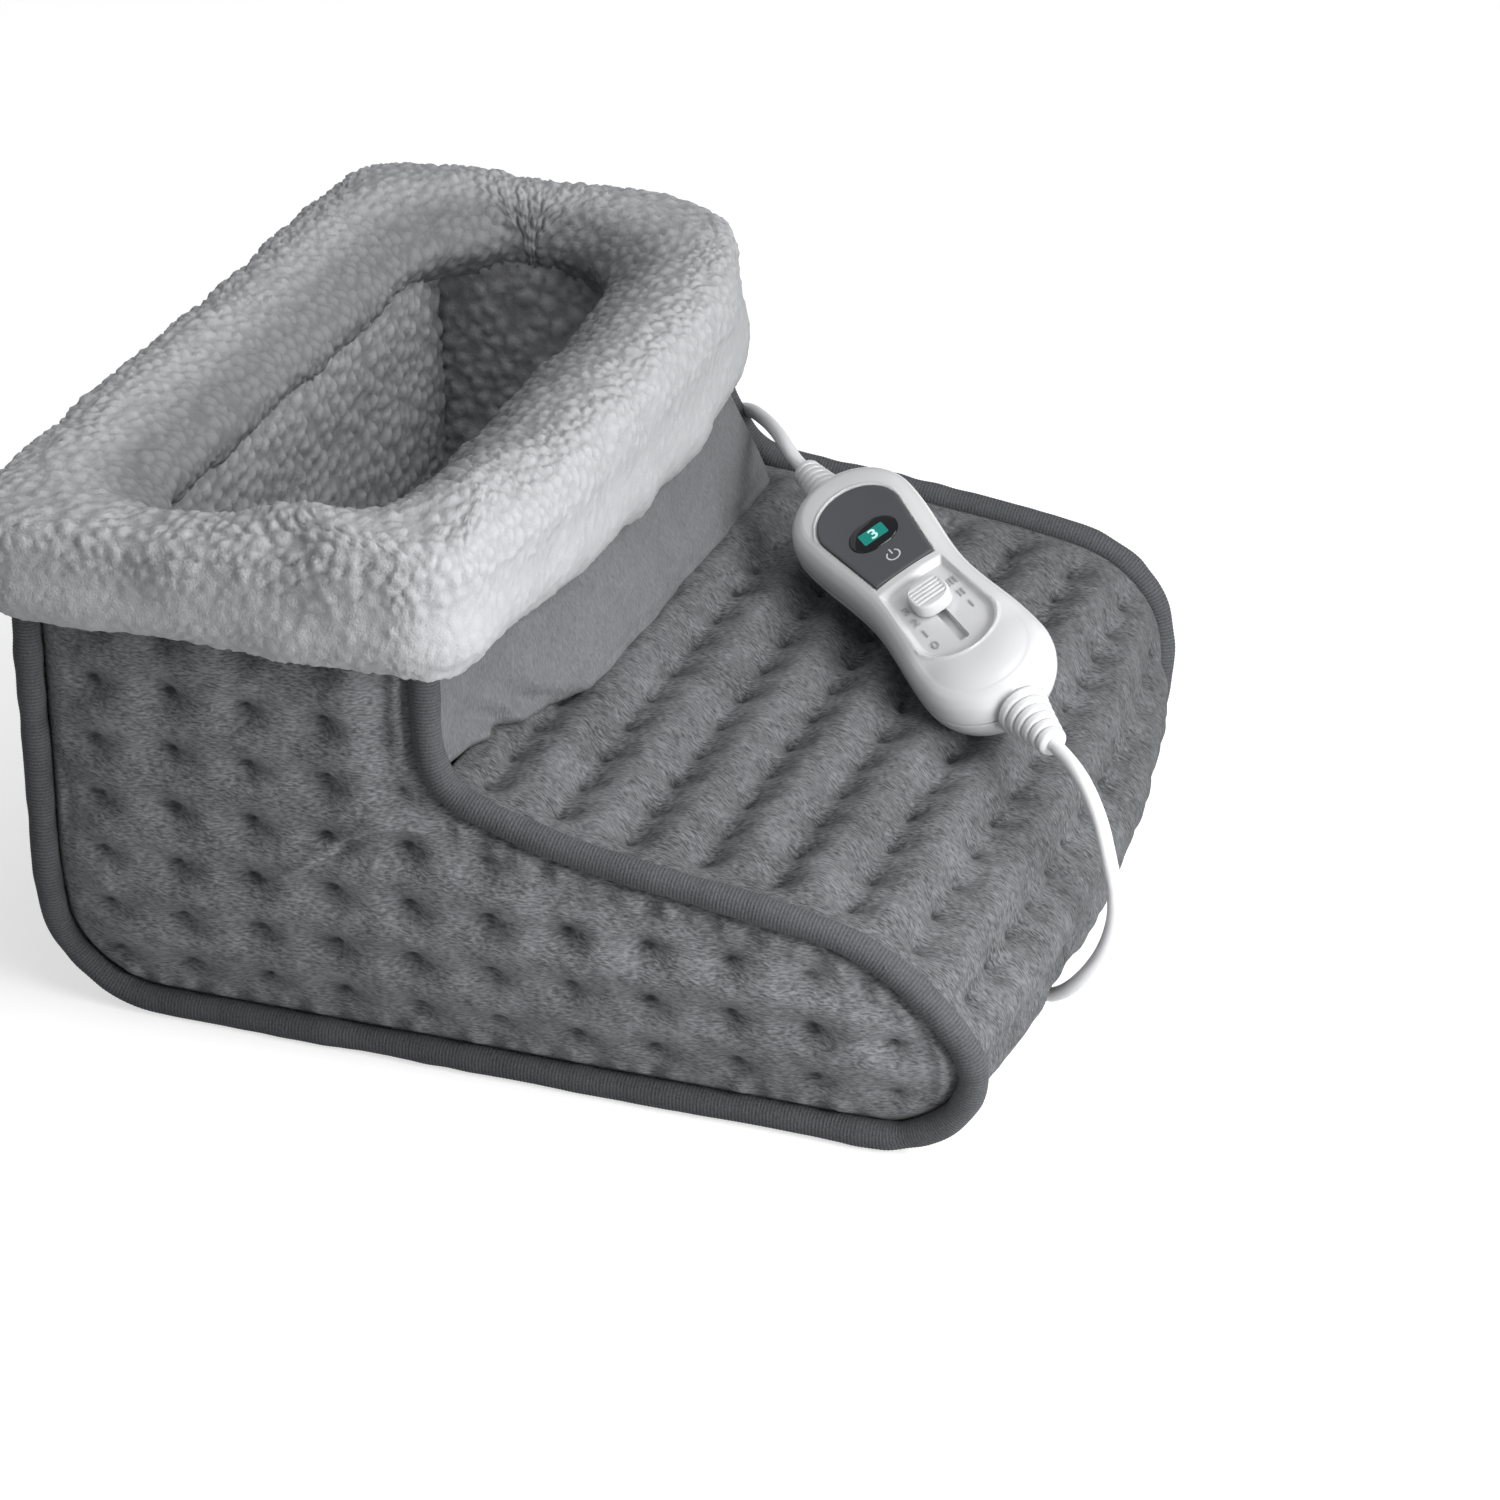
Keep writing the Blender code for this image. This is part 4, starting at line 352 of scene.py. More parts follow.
def relief_patch(outline: np.ndarray, loops: list[np.ndarray], spacing: float) -> tuple[np.ndarray, list]:
    """A flat patch inside an outline, triangulated over a lattice, with edges along the given loops.

    Args:
        outline: closed outline, one (x, y) row each.
        loops: closed lines inside it that edges have to follow.
        spacing: step of the lattice.

    Returns:
        (x, y) points, the outline's first, and triangles.
    """
    low, high = outline.min(0), outline.max(0)
    across, up = np.arange(low[0], high[0], spacing), np.arange(low[1], high[1], spacing)
    lattice = np.stack(np.meshgrid(across, up, indexing="ij"), -1).reshape(-1, 2)
    lattice[:, 1] += spacing / 2 * (np.round((lattice[:, 0] - low[0]) / spacing) % 2)
    lattice = lattice[outline_reach(lattice, outline) > spacing * 0.45]
    for loop in loops:
        lattice = lattice[np.abs(outline_reach(lattice, loop)) > spacing * 0.4]
    edges, flat = [], list(outline)
    for loop in loops:
        start, count = len(flat), len(loop)
        flat += list(loop)
        edges += [(start + k, start + (k + 1) % count) for k in range(count)]
    flat += list(lattice)
    points, _, faces, *_ = delaunay_2d_cdt([Vector(p) for p in flat], edges, [list(range(len(outline)))], 1, MERGE)
    return np.array([tuple(p) for p in points]), [tuple(face) for face in faces]


# Finishes

class Nodes:
    """Lays out the nodes of one material."""

    def __init__(self, name: str) -> None:
        """Start from a plain Principled material of that name."""
        self.material = bpy.data.materials.new(name)
        self.material.use_nodes = True
        self.tree = self.material.node_tree
        self.shader = self.tree.nodes["Principled BSDF"]
        self.output = self.tree.nodes["Material Output"]

    def add(self, kind: str, inputs: dict | None = None, **settings: object) -> bpy.types.Node:
        """A node of that kind, with its settings and its unlinked inputs, or links where an input is a socket."""
        made = self.tree.nodes.new(f"ShaderNode{kind}")
        for key, value in settings.items():
            setattr(made, key, value)
        for key, value in (inputs or {}).items():
            self.feed(made.inputs[key], value)
        return made

    def feed(self, socket: bpy.types.NodeSocket, value: object) -> None:
        """Link a socket to another, or set its value."""
        if isinstance(value, bpy.types.NodeSocket):
            self.tree.links.new(value, socket)
        else:
            socket.default_value = value

    def places(self, scale: tuple[float, float, float] = (1.0, 1.0, 1.0)) -> bpy.types.NodeSocket:
        """Object coordinates, stretched."""
        coordinates = self.add("TexCoord").outputs["Object"]
        return self.add("Mapping", {"Vector": coordinates, "Scale": scale}).outputs["Vector"]

    def noise(self, vector: bpy.types.NodeSocket, scale: float, detail: float = 3.0) -> bpy.types.NodeSocket:
        """Grey noise."""
        return self.add("TexNoise", {"Vector": vector, "Scale": scale, "Detail": detail}).outputs["Fac"]

    def math(self, operation: str, a: object, b: object = 0.0, c: object = 0.0) -> bpy.types.NodeSocket:
        """A sum, product or the like of sockets and numbers."""
        return self.add("Math", {0: a, 1: b, 2: c}, operation=operation).outputs[0]

    def between(self, value: object, low: float, high: float, to_low: float = 0.0,
                to_high: float = 1.0) -> bpy.types.NodeSocket:
        """Map a range of a value to another, without leaving it."""
        return self.add("MapRange", {"Value": value, "From Min": low, "From Max": high, "To Min": to_low,
                                     "To Max": to_high}).outputs["Result"]

    def blend(self, factor: object, low: object, high: object) -> bpy.types.NodeSocket:
        """A colour between two."""
        mix = self.add("Mix", data_type="RGBA")
        self.feed(mix.inputs[0], factor)
        for slot, value in ((6, low), (7, high)):
            self.feed(mix.inputs[slot], (*value, 1.0) if isinstance(value, tuple) else value)
        return mix.outputs[2]

    def mark(self, name: str) -> bpy.types.NodeSocket:
        """A number that the piece's points carry."""
        return self.add("Attribute", attribute_name=name).outputs["Fac"]

    def bump(self, height: bpy.types.NodeSocket, strength: float, distance: float) -> None:
        """Fine relief on the shader's normal."""
        made = self.add("Bump", {"Height": height, "Strength": strength, "Distance": distance})
        self.tree.links.new(made.outputs["Normal"], self.shader.inputs["Normal"])

    def surface(self, **values: object) -> bpy.types.Material:
        """Set the shader's sockets, an underscore standing for a space in a name, and return the material."""
        for key, value in values.items():
            socket = self.shader.inputs[key.replace("_", " ").title().replace("Ior", "IOR")]
            self.feed(socket, (*value, 1.0) if isinstance(value, tuple) and len(value) == 3 else value)
        return self.material


def shade(colour: Colour, factor: float) -> Colour:
    """The colour, lighter or darker."""
    return tuple(min(1.0, part * factor) for part in colour)


@dataclass(frozen=True)
class Plush:
    """Brushed pile: patches drift, short strokes of the nap run one way, and painted shade darkens the stitched pits.
    """

    name: str
    colour: Colour
    stroke: tuple[float, float, float]      # size of a nap stroke along x, y and z
    contrast: float = 0.58
    # painted shade: how far the stitched pits darken towards near black
    pit_shade: float = 0.8
    sheen: float = 0.06

    def make(self) -> bpy.types.Material:
        """Noise stretched along the nap, bent by coarser noise, over mottling and drift."""
        nodes = Nodes(self.name)
        plain = nodes.places()
        bend = nodes.add("TexNoise", {"Vector": plain, "Scale": 110.0, "Detail": 2.0}).outputs["Color"]
        shifted = nodes.add("VectorMath", {0: bend, 1: (-0.5, -0.5, -0.5)}, operation="ADD").outputs[0]
        moved = nodes.add("VectorMath", {0: shifted, 1: (0.0016, 0.0016, 0.0016), 2: plain},
                          operation="MULTIPLY_ADD").outputs[0]
        along = nodes.add("VectorMath", {0: moved, 1: tuple(1 / s for s in self.stroke)},
                          operation="MULTIPLY").outputs[0]
        nap = nodes.noise(along, 1.0, 2.5)
        mottle = nodes.noise(moved, 210.0, 4.0)
        patch = nodes.noise(plain, 42.0, 4.0)
        mixed = nodes.math("MULTIPLY_ADD", nap, 0.64, nodes.math("MULTIPLY_ADD", mottle, 0.16,
                                                                  nodes.math("MULTIPLY", patch, 0.20)))
        tone = nodes.between(mixed, 0.38, 0.62)
        cloth = nodes.blend(tone, shade(self.colour, 1 - self.contrast), shade(self.colour, 1 + self.contrast))
        # painted shade in the stitched pits, from the points' pit share
        pit = nodes.math("MULTIPLY", nodes.mark("pit"), self.pit_shade)
        colour = nodes.blend(pit, cloth, shade(self.colour, 0.12))
        nodes.bump(nodes.math("MULTIPLY_ADD", nap, 1.0, nodes.math("MULTIPLY", mottle, 0.45)), 0.75, 0.0010)
        return nodes.surface(base_color=colour, roughness=0.95, specular_ior_level=0.15, sheen_weight=self.sheen,
                             sheen_roughness=0.45)


@dataclass(frozen=True)
class Wool:
    """Curly pile: painted shade in the creases between the curls and a painted highlight on their crowns, with a fine
    fibre grain.
    """

    name: str
    colour: Colour
    # share of the colour left in the creases between curls: painted shade
    shadow: float = 0.74
    # painted shade: how much darker the inner face is, as if shaded by the roll of the cuff
    inside: float = 0.45            # how much darker the pile is where its points are marked as inside

    def make(self) -> bpy.types.Material:
        """The points' own curl height paints shade into the creases; two noises give the fibres."""
        nodes = Nodes(self.name)
        plain = nodes.places()
        fibre = nodes.noise(plain, 1500.0, 3.0)
        tuft = nodes.noise(plain, 420.0, 3.0)
        height = nodes.math("MULTIPLY_ADD", tuft, 0.5, nodes.math("MULTIPLY", fibre, 0.5))
        # painted shade: the curls' own height darkens the creases and lightens the crowns
        tone = nodes.math("MULTIPLY_ADD", nodes.mark("pile"), 0.75, nodes.between(height, 0.3, 0.7, 0.0, 0.25))
        plainly = nodes.blend(nodes.between(tone, 0.0, 0.85), shade(self.colour, self.shadow),
                              shade(self.colour, 1.06))
        # painted shade on the points marked inner: a darker copy of the wool
        painted_inner_shade = nodes.blend(nodes.between(tone, 0.0, 0.95), shade(self.colour, self.shadow * self.inside * 0.8),
                            shade(self.colour, 1.1 * self.inside))
        colour = nodes.blend(nodes.mark("inner"), plainly, painted_inner_shade)
        nodes.bump(height, 0.55, 0.0010)
        return nodes.surface(base_color=colour, roughness=0.95, specular_ior_level=0.1, sheen_weight=0.04,
                             sheen_roughness=0.5)


@dataclass(frozen=True)
class RibKnit:
    """Rib-knit tape: painted shade between its ribs and a painted highlight on their crowns."""

    name: str
    colour: Colour

    def make(self) -> bpy.types.Material:
        """The points' own rib height sets painted shade and highlight; fine noise roughens it."""
        nodes = Nodes(self.name)
        plain = nodes.places()
        lint = nodes.noise(plain, 1400.0, 3.0)
        patch = nodes.noise(plain, 60.0, 2.0)
        # painted shade between the ribs and painted highlight on their crowns, from the points' rib height
        tone = nodes.math("MULTIPLY_ADD", nodes.mark("rib"), 0.3, nodes.math("MULTIPLY_ADD", lint, 0.6,
                                                                              nodes.math("MULTIPLY", patch, 0.3)))
        colour = nodes.blend(nodes.between(tone, 0.3, 0.95), shade(self.colour, 0.5), shade(self.colour, 1.6))
        nodes.bump(lint, 0.5, 0.0006)
        return nodes.surface(base_color=colour, roughness=0.92, specular_ior_level=0.15, sheen_weight=0.04,
                             sheen_roughness=0.5)


@dataclass(frozen=True)
class Moulded:
    """Moulded plastic: faint flow in its tone and gloss, and a very fine skin."""

    name: str
    colour: Colour
    roughness: float
    grain: float = 900.0
    relief: float = 0.03
    coat: float = 0.0
    level: float = 0.5

    def make(self) -> bpy.types.Material:
        """Slow noise shifts tone and roughness; fine noise is the skin."""
        nodes = Nodes(self.name)
        plain = nodes.places()
        flow = nodes.noise(plain, 30.0, 2.0)
        skin = nodes.noise(plain, self.grain, 2.0)
        colour = nodes.blend(flow, shade(self.colour, 0.97), shade(self.colour, 1.02))
        rough = nodes.between(nodes.math("MULTIPLY_ADD", skin, 0.5, nodes.math("MULTIPLY", flow, 0.5)), 0.3, 0.7,
                              self.roughness * 0.85, self.roughness * 1.15)
        nodes.bump(skin, self.relief, 0.0003)
        return nodes.surface(base_color=colour, roughness=rough, coat_weight=self.coat, coat_roughness=0.08,
                             specular_ior_level=self.level)


@dataclass(frozen=True)
class Display:
    """A lit display: its colour glows, varied a little by slow noise."""

    name: str
    colour: Colour
    glow: float

    def make(self) -> bpy.types.Material:
        """Slow noise varies the lit colour."""
        nodes = Nodes(self.name)
        flow = nodes.noise(nodes.places(), 160.0, 2.0)
        lit = nodes.blend(flow, shade(self.colour, 0.85), shade(self.colour, 1.15))
        return nodes.surface(base_color=lit, roughness=0.2, emission_color=lit, emission_strength=self.glow)


@dataclass(frozen=True)
class Metal:
    """Drawn metal: fine lines along one way."""

    name: str
    colour: Colour
    roughness: float

    def make(self) -> bpy.types.Material:
        """Stretched noise varies roughness and tone."""
        nodes = Nodes(self.name)
        drawn = nodes.noise(nodes.places((300.0, 4000.0, 4000.0)), 1.0, 2.0)
        colour = nodes.blend(drawn, shade(self.colour, 0.85), shade(self.colour, 1.1))
        rough = nodes.between(drawn, 0.3, 0.7, self.roughness * 0.8, self.roughness * 1.2)
        nodes.bump(drawn, 0.05, 0.0001)
        return nodes.surface(base_color=colour, roughness=rough, metallic=1.0)


@dataclass(frozen=True)
class Woven:
    """Plain woven cloth, foam or felt: crossing waves under noise."""

    name: str
    colour: Colour
    thread: float
    contrast: float = 0.35

    def make(self) -> bpy.types.Material:
        """Two waves across each other make the weave."""
        nodes = Nodes(self.name)
        plain = nodes.places()
        waves = [nodes.add("TexWave", {"Vector": plain, "Scale": 0.16 / self.thread, "Distortion": 0.6,
                                       "Detail": 1.0}, bands_direction=way).outputs["Fac"] for way in ("X", "Y")]
        weave = nodes.math("MULTIPLY", waves[0], waves[1])
        lint = nodes.noise(plain, 700.0, 3.0)
        tone = nodes.math("MULTIPLY_ADD", weave, 0.5, nodes.math("MULTIPLY", lint, 0.6))
        colour = nodes.blend(nodes.between(tone, 0.2, 0.7), shade(self.colour, 1 - self.contrast),
                             shade(self.colour, 1 + self.contrast))
        nodes.bump(tone, 0.5, 0.0004)
        return nodes.surface(base_color=colour, roughness=0.92, specular_ior_level=0.2)


class Palette:
    """Every finish of the foot warmer, made once."""

    def __init__(self) -> None:
        """Make the materials."""
        self.vamp = Plush("vamp_plush", (0.124, 0.127, 0.134), (0.00046, 0.0021, 0.0021)).make()
        # the same quilted plush as the vamp, set lighter: painted light that makes up for the sides facing away from
        # the lamps
        self.side = Plush("side_plush", (0.178, 0.182, 0.191), (0.0021, 0.0021, 0.00048), 0.48).make()
        self.collar = Plush("collar_plush", (0.165, 0.168, 0.177), (0.0005, 0.0016, 0.0018), 0.20).make()
        # the cuff's wool: painted shade at 0.84 in its creases and 0.60 on its inner face
        self.wool = Wool("cuff_wool", (0.400, 0.405, 0.418), 0.84, 0.60).make()
        # the same sherpa as the cuff, set lighter: painted light that makes up for the shade inside the boot
        self.lining = Wool("lining_wool", (0.440, 0.445, 0.458), 0.58).make()
        self.binding = RibKnit("binding_knit", (0.080, 0.082, 0.088)).make()
        self.sole = Woven("sole_weave", (0.050, 0.050, 0.055), 0.0009).make()
        self.foam = Woven("foam_cells", (0.75, 0.74, 0.70), 0.0012, 0.12).make()
        self.felt = Woven("felt_fibres", (0.70, 0.68, 0.62), 0.0010, 0.12).make()
        self.wire = Moulded("wire_cover", (0.65, 0.25, 0.15), 0.45).make()
        self.shell = Moulded("shell_white", (0.640, 0.642, 0.653), 0.22, 1200.0, 0.02, 0.15).make()
        self.mark = Moulded("mark_grey", (0.360, 0.365, 0.380), 0.35).make()
        self.face = Moulded("faceplate_satin", (0.080, 0.083, 0.090), 0.34, 2200.0, 0.10).make()
        self.window = Moulded("window_gloss", (0.006, 0.006, 0.008), 0.06, 400.0, 0.005, 0.4).make()
        self.display = Display("display_teal", (0.006, 0.165, 0.138), 0.55).make()
        self.digit = Display("display_digit", (0.50, 0.80, 0.74), 0.35).make()
        self.sign = Moulded("sign_white", (0.620, 0.625, 0.640), 0.4).make()
        self.cord = Moulded("cord_jacket", (0.760, 0.763, 0.775), 0.36, 700.0, 0.06).make()
        self.board = Moulded("board_green", (0.02, 0.20, 0.08), 0.5).make()
        self.steel = Metal("drawn_steel", (0.55, 0.55, 0.56), 0.28).make()


# Shape of the boot, with the sizes of the frame's solids

@dataclass(frozen=True)
class BootShape:
    """Sizes of the boot's envelope and quilting, and how its fabric settles."""

    half_width: float = 0.140
    collar_y: float = 0.014
    toe_reach: float = 0.170
    heel_y: float = 0.1434
    instep_height: float = 0.0975
    panel_top: float = 0.166
    heel_radius: float = 0.032
    toe_setback: float = 0.017
    setback_power: float = 8
    shaft_lean: float = 0.022
    lean_foot: float = 0.090
    sole_tuck: float = 0.010
    tuck_height: float = 0.060
    tuck_start_share: float = 0.6
    instep_sink: float = 0.009
    sink_reach: float = 0.024
    panel_depth: float = 0.017
    side_depth: float = 0.0048
    side_crown: float = 0.007
    band_crown: float = 0.0025
    collar_bow: float = 0.0170
    collar_drop: float = 0.0065
    nose_crown: float = 0.006
    tuft_depth: float = 0.0060
    binding_radius: float = 0.0048
    soft_gap: float = 0.0014
    puff_fade: float = 0.018
    vamp_row_pitch: float = 0.0234
    vamp_column_pitch: float = 0.020
    vamp_first_row: float = 0.012
    side_row_pitch: float = 0.0194
    side_column_pitch: float = 0.0255
    side_first_row: float = 0.0236
    side_first_column: float = 0.0724
    corner_share: float = 1.035
    lining_thickness: float = 0.008
    toe_shares: tuple[tuple[float, float], ...] = (
        (0.000, 1.290), (0.010, 1.165), (0.045, 1.060), (0.125, 0.990), (0.253, 0.922), (0.418, 0.872),
        (0.603, 0.830), (0.770, 0.770), (0.885, 0.655), (0.968, 0.500), (1.000, 0.360), (0.982, 0.215),
        (0.930, 0.090), (0.850, 0.012), (0.770, 0.0))

    @property
    def band_half(self) -> float:
        """Half the width of the quilted band between the side panels."""
        return self.half_width - self.side_depth - self.soft_gap / 2

    def tuck(self, points: np.ndarray) -> np.ndarray:
        """Draw the sides in towards the floor."""
        outward = np.clip(points[..., 0] / self.half_width / self.tuck_start_share, -1.0, 1.0)
        points[..., 0] -= outward * self.sole_tuck * (1 - smoothstep(points[..., 2] / self.tuck_height))
        return points

    def settle(self, points: np.ndarray) -> np.ndarray:
        """Let the fabric give way on the right at nose, shaft and instep, and tuck in below.

        Args:
            points: points of the boot as it was sewn, with x, y and z last.

        Returns:
            The points where they have settled.
        """
        points = np.array(points, float)
        x, y, z = (points[..., k].copy() for k in range(3))
        across = np.clip(x / self.half_width, 0.0, None) ** 2
        nose = np.clip((self.collar_y - y) / self.toe_reach, 0.0, 1.0) ** self.setback_power
        rise = smoothstep((z - self.lean_foot) / (self.panel_top - self.lean_foot))
        front = 1 - smoothstep((y - self.collar_y) / (self.heel_y - self.collar_y))
        near = np.exp(-((y - self.collar_y) / self.sink_reach) ** 2 / 2) * smoothstep(z / self.lean_foot) * (1 - rise)
        points[..., 1] += across * self.toe_setback * nose + across ** 2 * self.shaft_lean * rise * front
        points[..., 2] -= across * self.instep_sink * near
        return self.tuck(points)

    def seam_line(self) -> np.ndarray:
        """Centre line (y, z) of a binding: down the shaft's front, round the toe, the floor and the heel."""
        base = self.binding_radius
        toe = smooth_line([(self.collar_y - t * self.toe_reach, base + h * (self.instep_height - base))
                           for t, h in self.toe_shares], 10)
        turns = np.linspace(0.0, math.pi / 2, 24)
        heel = np.stack([self.heel_y - self.heel_radius + self.heel_radius * np.sin(turns),
                         base + self.heel_radius - self.heel_radius * np.cos(turns)], -1)
        return np.vstack([[(self.collar_y, self.panel_top)], toe, heel, [(self.heel_y, self.panel_top)]])

    def body_line(self) -> np.ndarray:
        """Centre line of the quilted band: as the seam, but with a sharp corner at the foot of the collar."""
        seam = self.seam_line()
        nose = int(np.argmin(seam[:, 0]))
        toe = seam[:nose]
        toe = toe[toe[:, 0] < self.collar_y - self.toe_shares[4][0] * self.toe_reach]
        return np.vstack([[(self.collar_y, self.panel_top)], [self.corner], toe, seam[nose:]])

    @property
    def corner(self) -> tuple[float, float]:
        """Where the collar meets the instep."""
        return self.collar_y, self.instep_height * self.corner_share

    def vamp_line(self) -> np.ndarray:
        """Part of the band's line from the collar over the instep and round the nose to the floor."""
        body = self.body_line()
        nose = int(np.argmin(body[:, 0]))
        low = nose + int(np.argmax(body[nose:, 1] <= self.binding_radius + GAP))
        return evenly(body[1:low + 1], 0.0008)

    def heel_line(self) -> np.ndarray:
        """Part of the band's line from the floor round the heel and up the shaft."""
        body = self.body_line()
        start = len(body) - 1 - int(np.argmax(body[::-1, 0] < self.heel_y - self.heel_radius + GAP))
        return evenly(body[start:], 0.0008)


@dataclass(frozen=True)
class Quilting:
    """A lattice of stitched tufts with pillows between them."""

    row_pitch: float
    column_pitch: float
    valley_share: float
    seed: float
    softness: float = 0.42          # rounds the bottoms of the valleys
    pit_radius: float = 0.0021
    crease_reach: float = 0.0046

    def pillow(self, along: np.ndarray, pitch: float) -> np.ndarray:
        """1 in a valley and 0 on a crown: one less the size of a sine, its foot rounded."""
        wave = np.sin(math.pi * along / pitch)
        foot = self.softness
        return 1 - (np.sqrt(wave ** 2 + foot ** 2) - foot) / (math.sqrt(1 + foot ** 2) - foot)

    def depth(self, along: np.ndarray, across: np.ndarray) -> np.ndarray:
        """Depth share: 1 at a tuft, the valley share between two in a row, 0 on a pillow's crown."""
        row, column = self.pillow(along, self.row_pitch), self.pillow(across, self.column_pitch)
        return row * (self.valley_share + (1 - self.valley_share) * column)

    def stitches(self, along: np.ndarray, across: np.ndarray) -> tuple[np.ndarray, np.ndarray]:
        """The pit of each stitch and the creases that run out from it.

        Args:
            along: distance across the rows.
            across: distance along a row.

        Returns:
            Depth share of the pit, and height of the creases from -1 to 1.
        """
        row, column = np.round(along / self.row_pitch), np.round(across / self.column_pitch)
        shift = 0.0012 * (hashed(row, column, seed=self.seed) - 0.5)
        up, side = along - row * self.row_pitch - shift, across - column * self.column_pitch + shift
        radius, angle = np.hypot(up, side), np.arctan2(up, side)
        phase = 2 * math.pi * hashed(row, column, seed=self.seed + 1)
        count = 6 + np.round(3 * hashed(row, column, seed=self.seed + 2))
        reach = radius / self.crease_reach
        fan = np.cos(count * angle + phase + 1.5 * reach) * reach * np.exp(0.5 - reach ** 2 * 1.2)
        slot = np.hypot(up * 1.9, side + 0.6 * up)
        fan -= 1.9 * np.exp(-(radius / (1.35 * self.crease_reach)) ** 2)
        return np.exp(-(slot / self.pit_radius) ** 2), fan


class Boot:
    """The quilted boot: vamp, heel, collar, sides, bindings, lining, cuff and sole."""

    STEP = 0.00105                  # step of the quilted grids
    BACKING = 0.0035                # how far in a panel's hidden face lies
    AHEAD = 0.002                   # how far to both sides of a point the way of its line is taken
    CURL = 0.0060                   # across a curl of the lining's wool
    CURL_HEIGHT = 0.0016
    COVERED = 0.150                 # height from which the cuff covers the collar

    def __init__(self, shape: BootShape, palette: Palette) -> None:
        """Keep the shape and the finishes."""
        self.shape = shape
        self.palette = palette

    def build(self) -> None:
        """Make every piece of the boot."""
        self.vamp()
        self.heel()
        self.collar()
        for side in Side:
            self.side_panel(side)
            self.binding(side)
            self.lining_side(side)
        self.lining_band()
        self.cuff()
        self.sole()

    def band(self, name: str, line: np.ndarray, lift, finish: bpy.types.Material,
             nodes: tuple[str, ...]) -> bpy.types.Object:
        """A quilted band across the boot: points of the line pushed out along its normal by lift(mark, x).

        Args:
            name: the piece's name.
            line: its (y, z) line.
            lift: gives height and pit share for arrays of marks and of x.
            finish: its material.
            nodes: the solids that it stands for.

        Returns:
            The piece.
        """
        half = self.shape.band_half
        marks = np.linspace(0.0, marks_of(line)[-1], round(marks_of(line)[-1] / self.STEP) + 1)
        x = np.linspace(-half, half, round(2 * half / self.STEP) + 1)
        middle = spread(line, marks)
        way = unit(spread(line, marks + self.AHEAD) - spread(line, marks - self.AHEAD))
        out = np.stack([way[:, 1], -way[:, 0]], -1)
        height, pit = lift(*np.meshgrid(marks, x, indexing="ij"))
        grids = []
        for rise in (height, np.full_like(height, -self.BACKING) + np.minimum(height, 0.0)):
            grids.append(self.shape.settle(across_boot(x, middle[:, None] + out[:, None] * rise[..., None])))
        verts = np.vstack([grid.reshape(-1, 3) for grid in grids])
        # the pits' share, which the finish paints as shade
        pit_shade_marks = np.concatenate([pit.ravel(), np.zeros(pit.size)])
        piece = make_piece(name, verts, slab_faces(*height.shape), finish, Place("quilted_plush", nodes),
                           {"pit": pit_shade_marks})
        return piece

    def vamp(self) -> None:
        """The quilted top of the toe, in rows across, its nose bulging in the middle."""
        shape = self.shape
        line = shape.vamp_line()
        length, half = marks_of(line)[-1], shape.band_half
        quilt = Quilting(shape.vamp_row_pitch, shape.vamp_column_pitch, 0.62, 3.0)

        def lift(mark: np.ndarray, x: np.ndarray) -> tuple[np.ndarray, np.ndarray]:
            """Crown and nose, less the quilting, plus creases and drift; all flat at the seams."""
            ends = smoothstep(mark / shape.puff_fade) * smoothstep((length - mark) / (2 * shape.puff_fade))
            fade = ends * smoothstep((half - np.abs(x)) / shape.puff_fade)
            sway = 0.0016 * drift(np.stack([mark, x], -1), 0.055, 5.0)
            depth = quilt.depth(mark - shape.vamp_first_row + sway, x)
            pit, fan = quilt.stitches(mark - shape.vamp_first_row, x)
            forward = smoothstep((mark / length - 0.45) / 0.55)
            nose = shape.nose_crown * (1 - (x / half) ** 2) * forward
            flat = np.stack([mark, x], -1)
            ripple = 0.0009 * drift(flat, 0.019, 7.0) + 0.00030 * drift(flat, 0.0050, 8.0)
            height = shape.band_crown + nose - shape.tuft_depth * depth + ripple + 0.00055 * fan - 0.0018 * pit
            return fade * height, pit * smoothstep(fade * 2)

        self.band("vamp", line, lift, self.palette.vamp, ("vamp_panel",))

    def heel(self) -> None:
        """The quilted back, its tufts counted down from the cut edge."""
        shape = self.shape
        line = shape.heel_line()
        length, half = marks_of(line)[-1], shape.band_half
        quilt = Quilting(shape.vamp_row_pitch, 2 * shape.vamp_column_pitch, 0.4, 4.0)

        def lift(mark: np.ndarray, x: np.ndarray) -> tuple[np.ndarray, np.ndarray]:
            """Crown less the quilting, flat at the seams and the sole."""
            fade = smoothstep((half - np.abs(x)) / shape.puff_fade) * smoothstep(mark / (2 * shape.puff_fade))
            depth = quilt.depth(length - mark, x)
            pit, fan = quilt.stitches(length - mark, x)
            ripple = 0.0006 * drift(np.stack([mark, x], -1), 0.015, 17.0)
            return fade * (shape.band_crown - shape.tuft_depth / 2 * depth + ripple + 0.0006 * fan - 0.001 * pit), (
                pit * smoothstep(fade * 2))

        self.band("heel", line, lift, self.palette.vamp, ("heel_panel",))

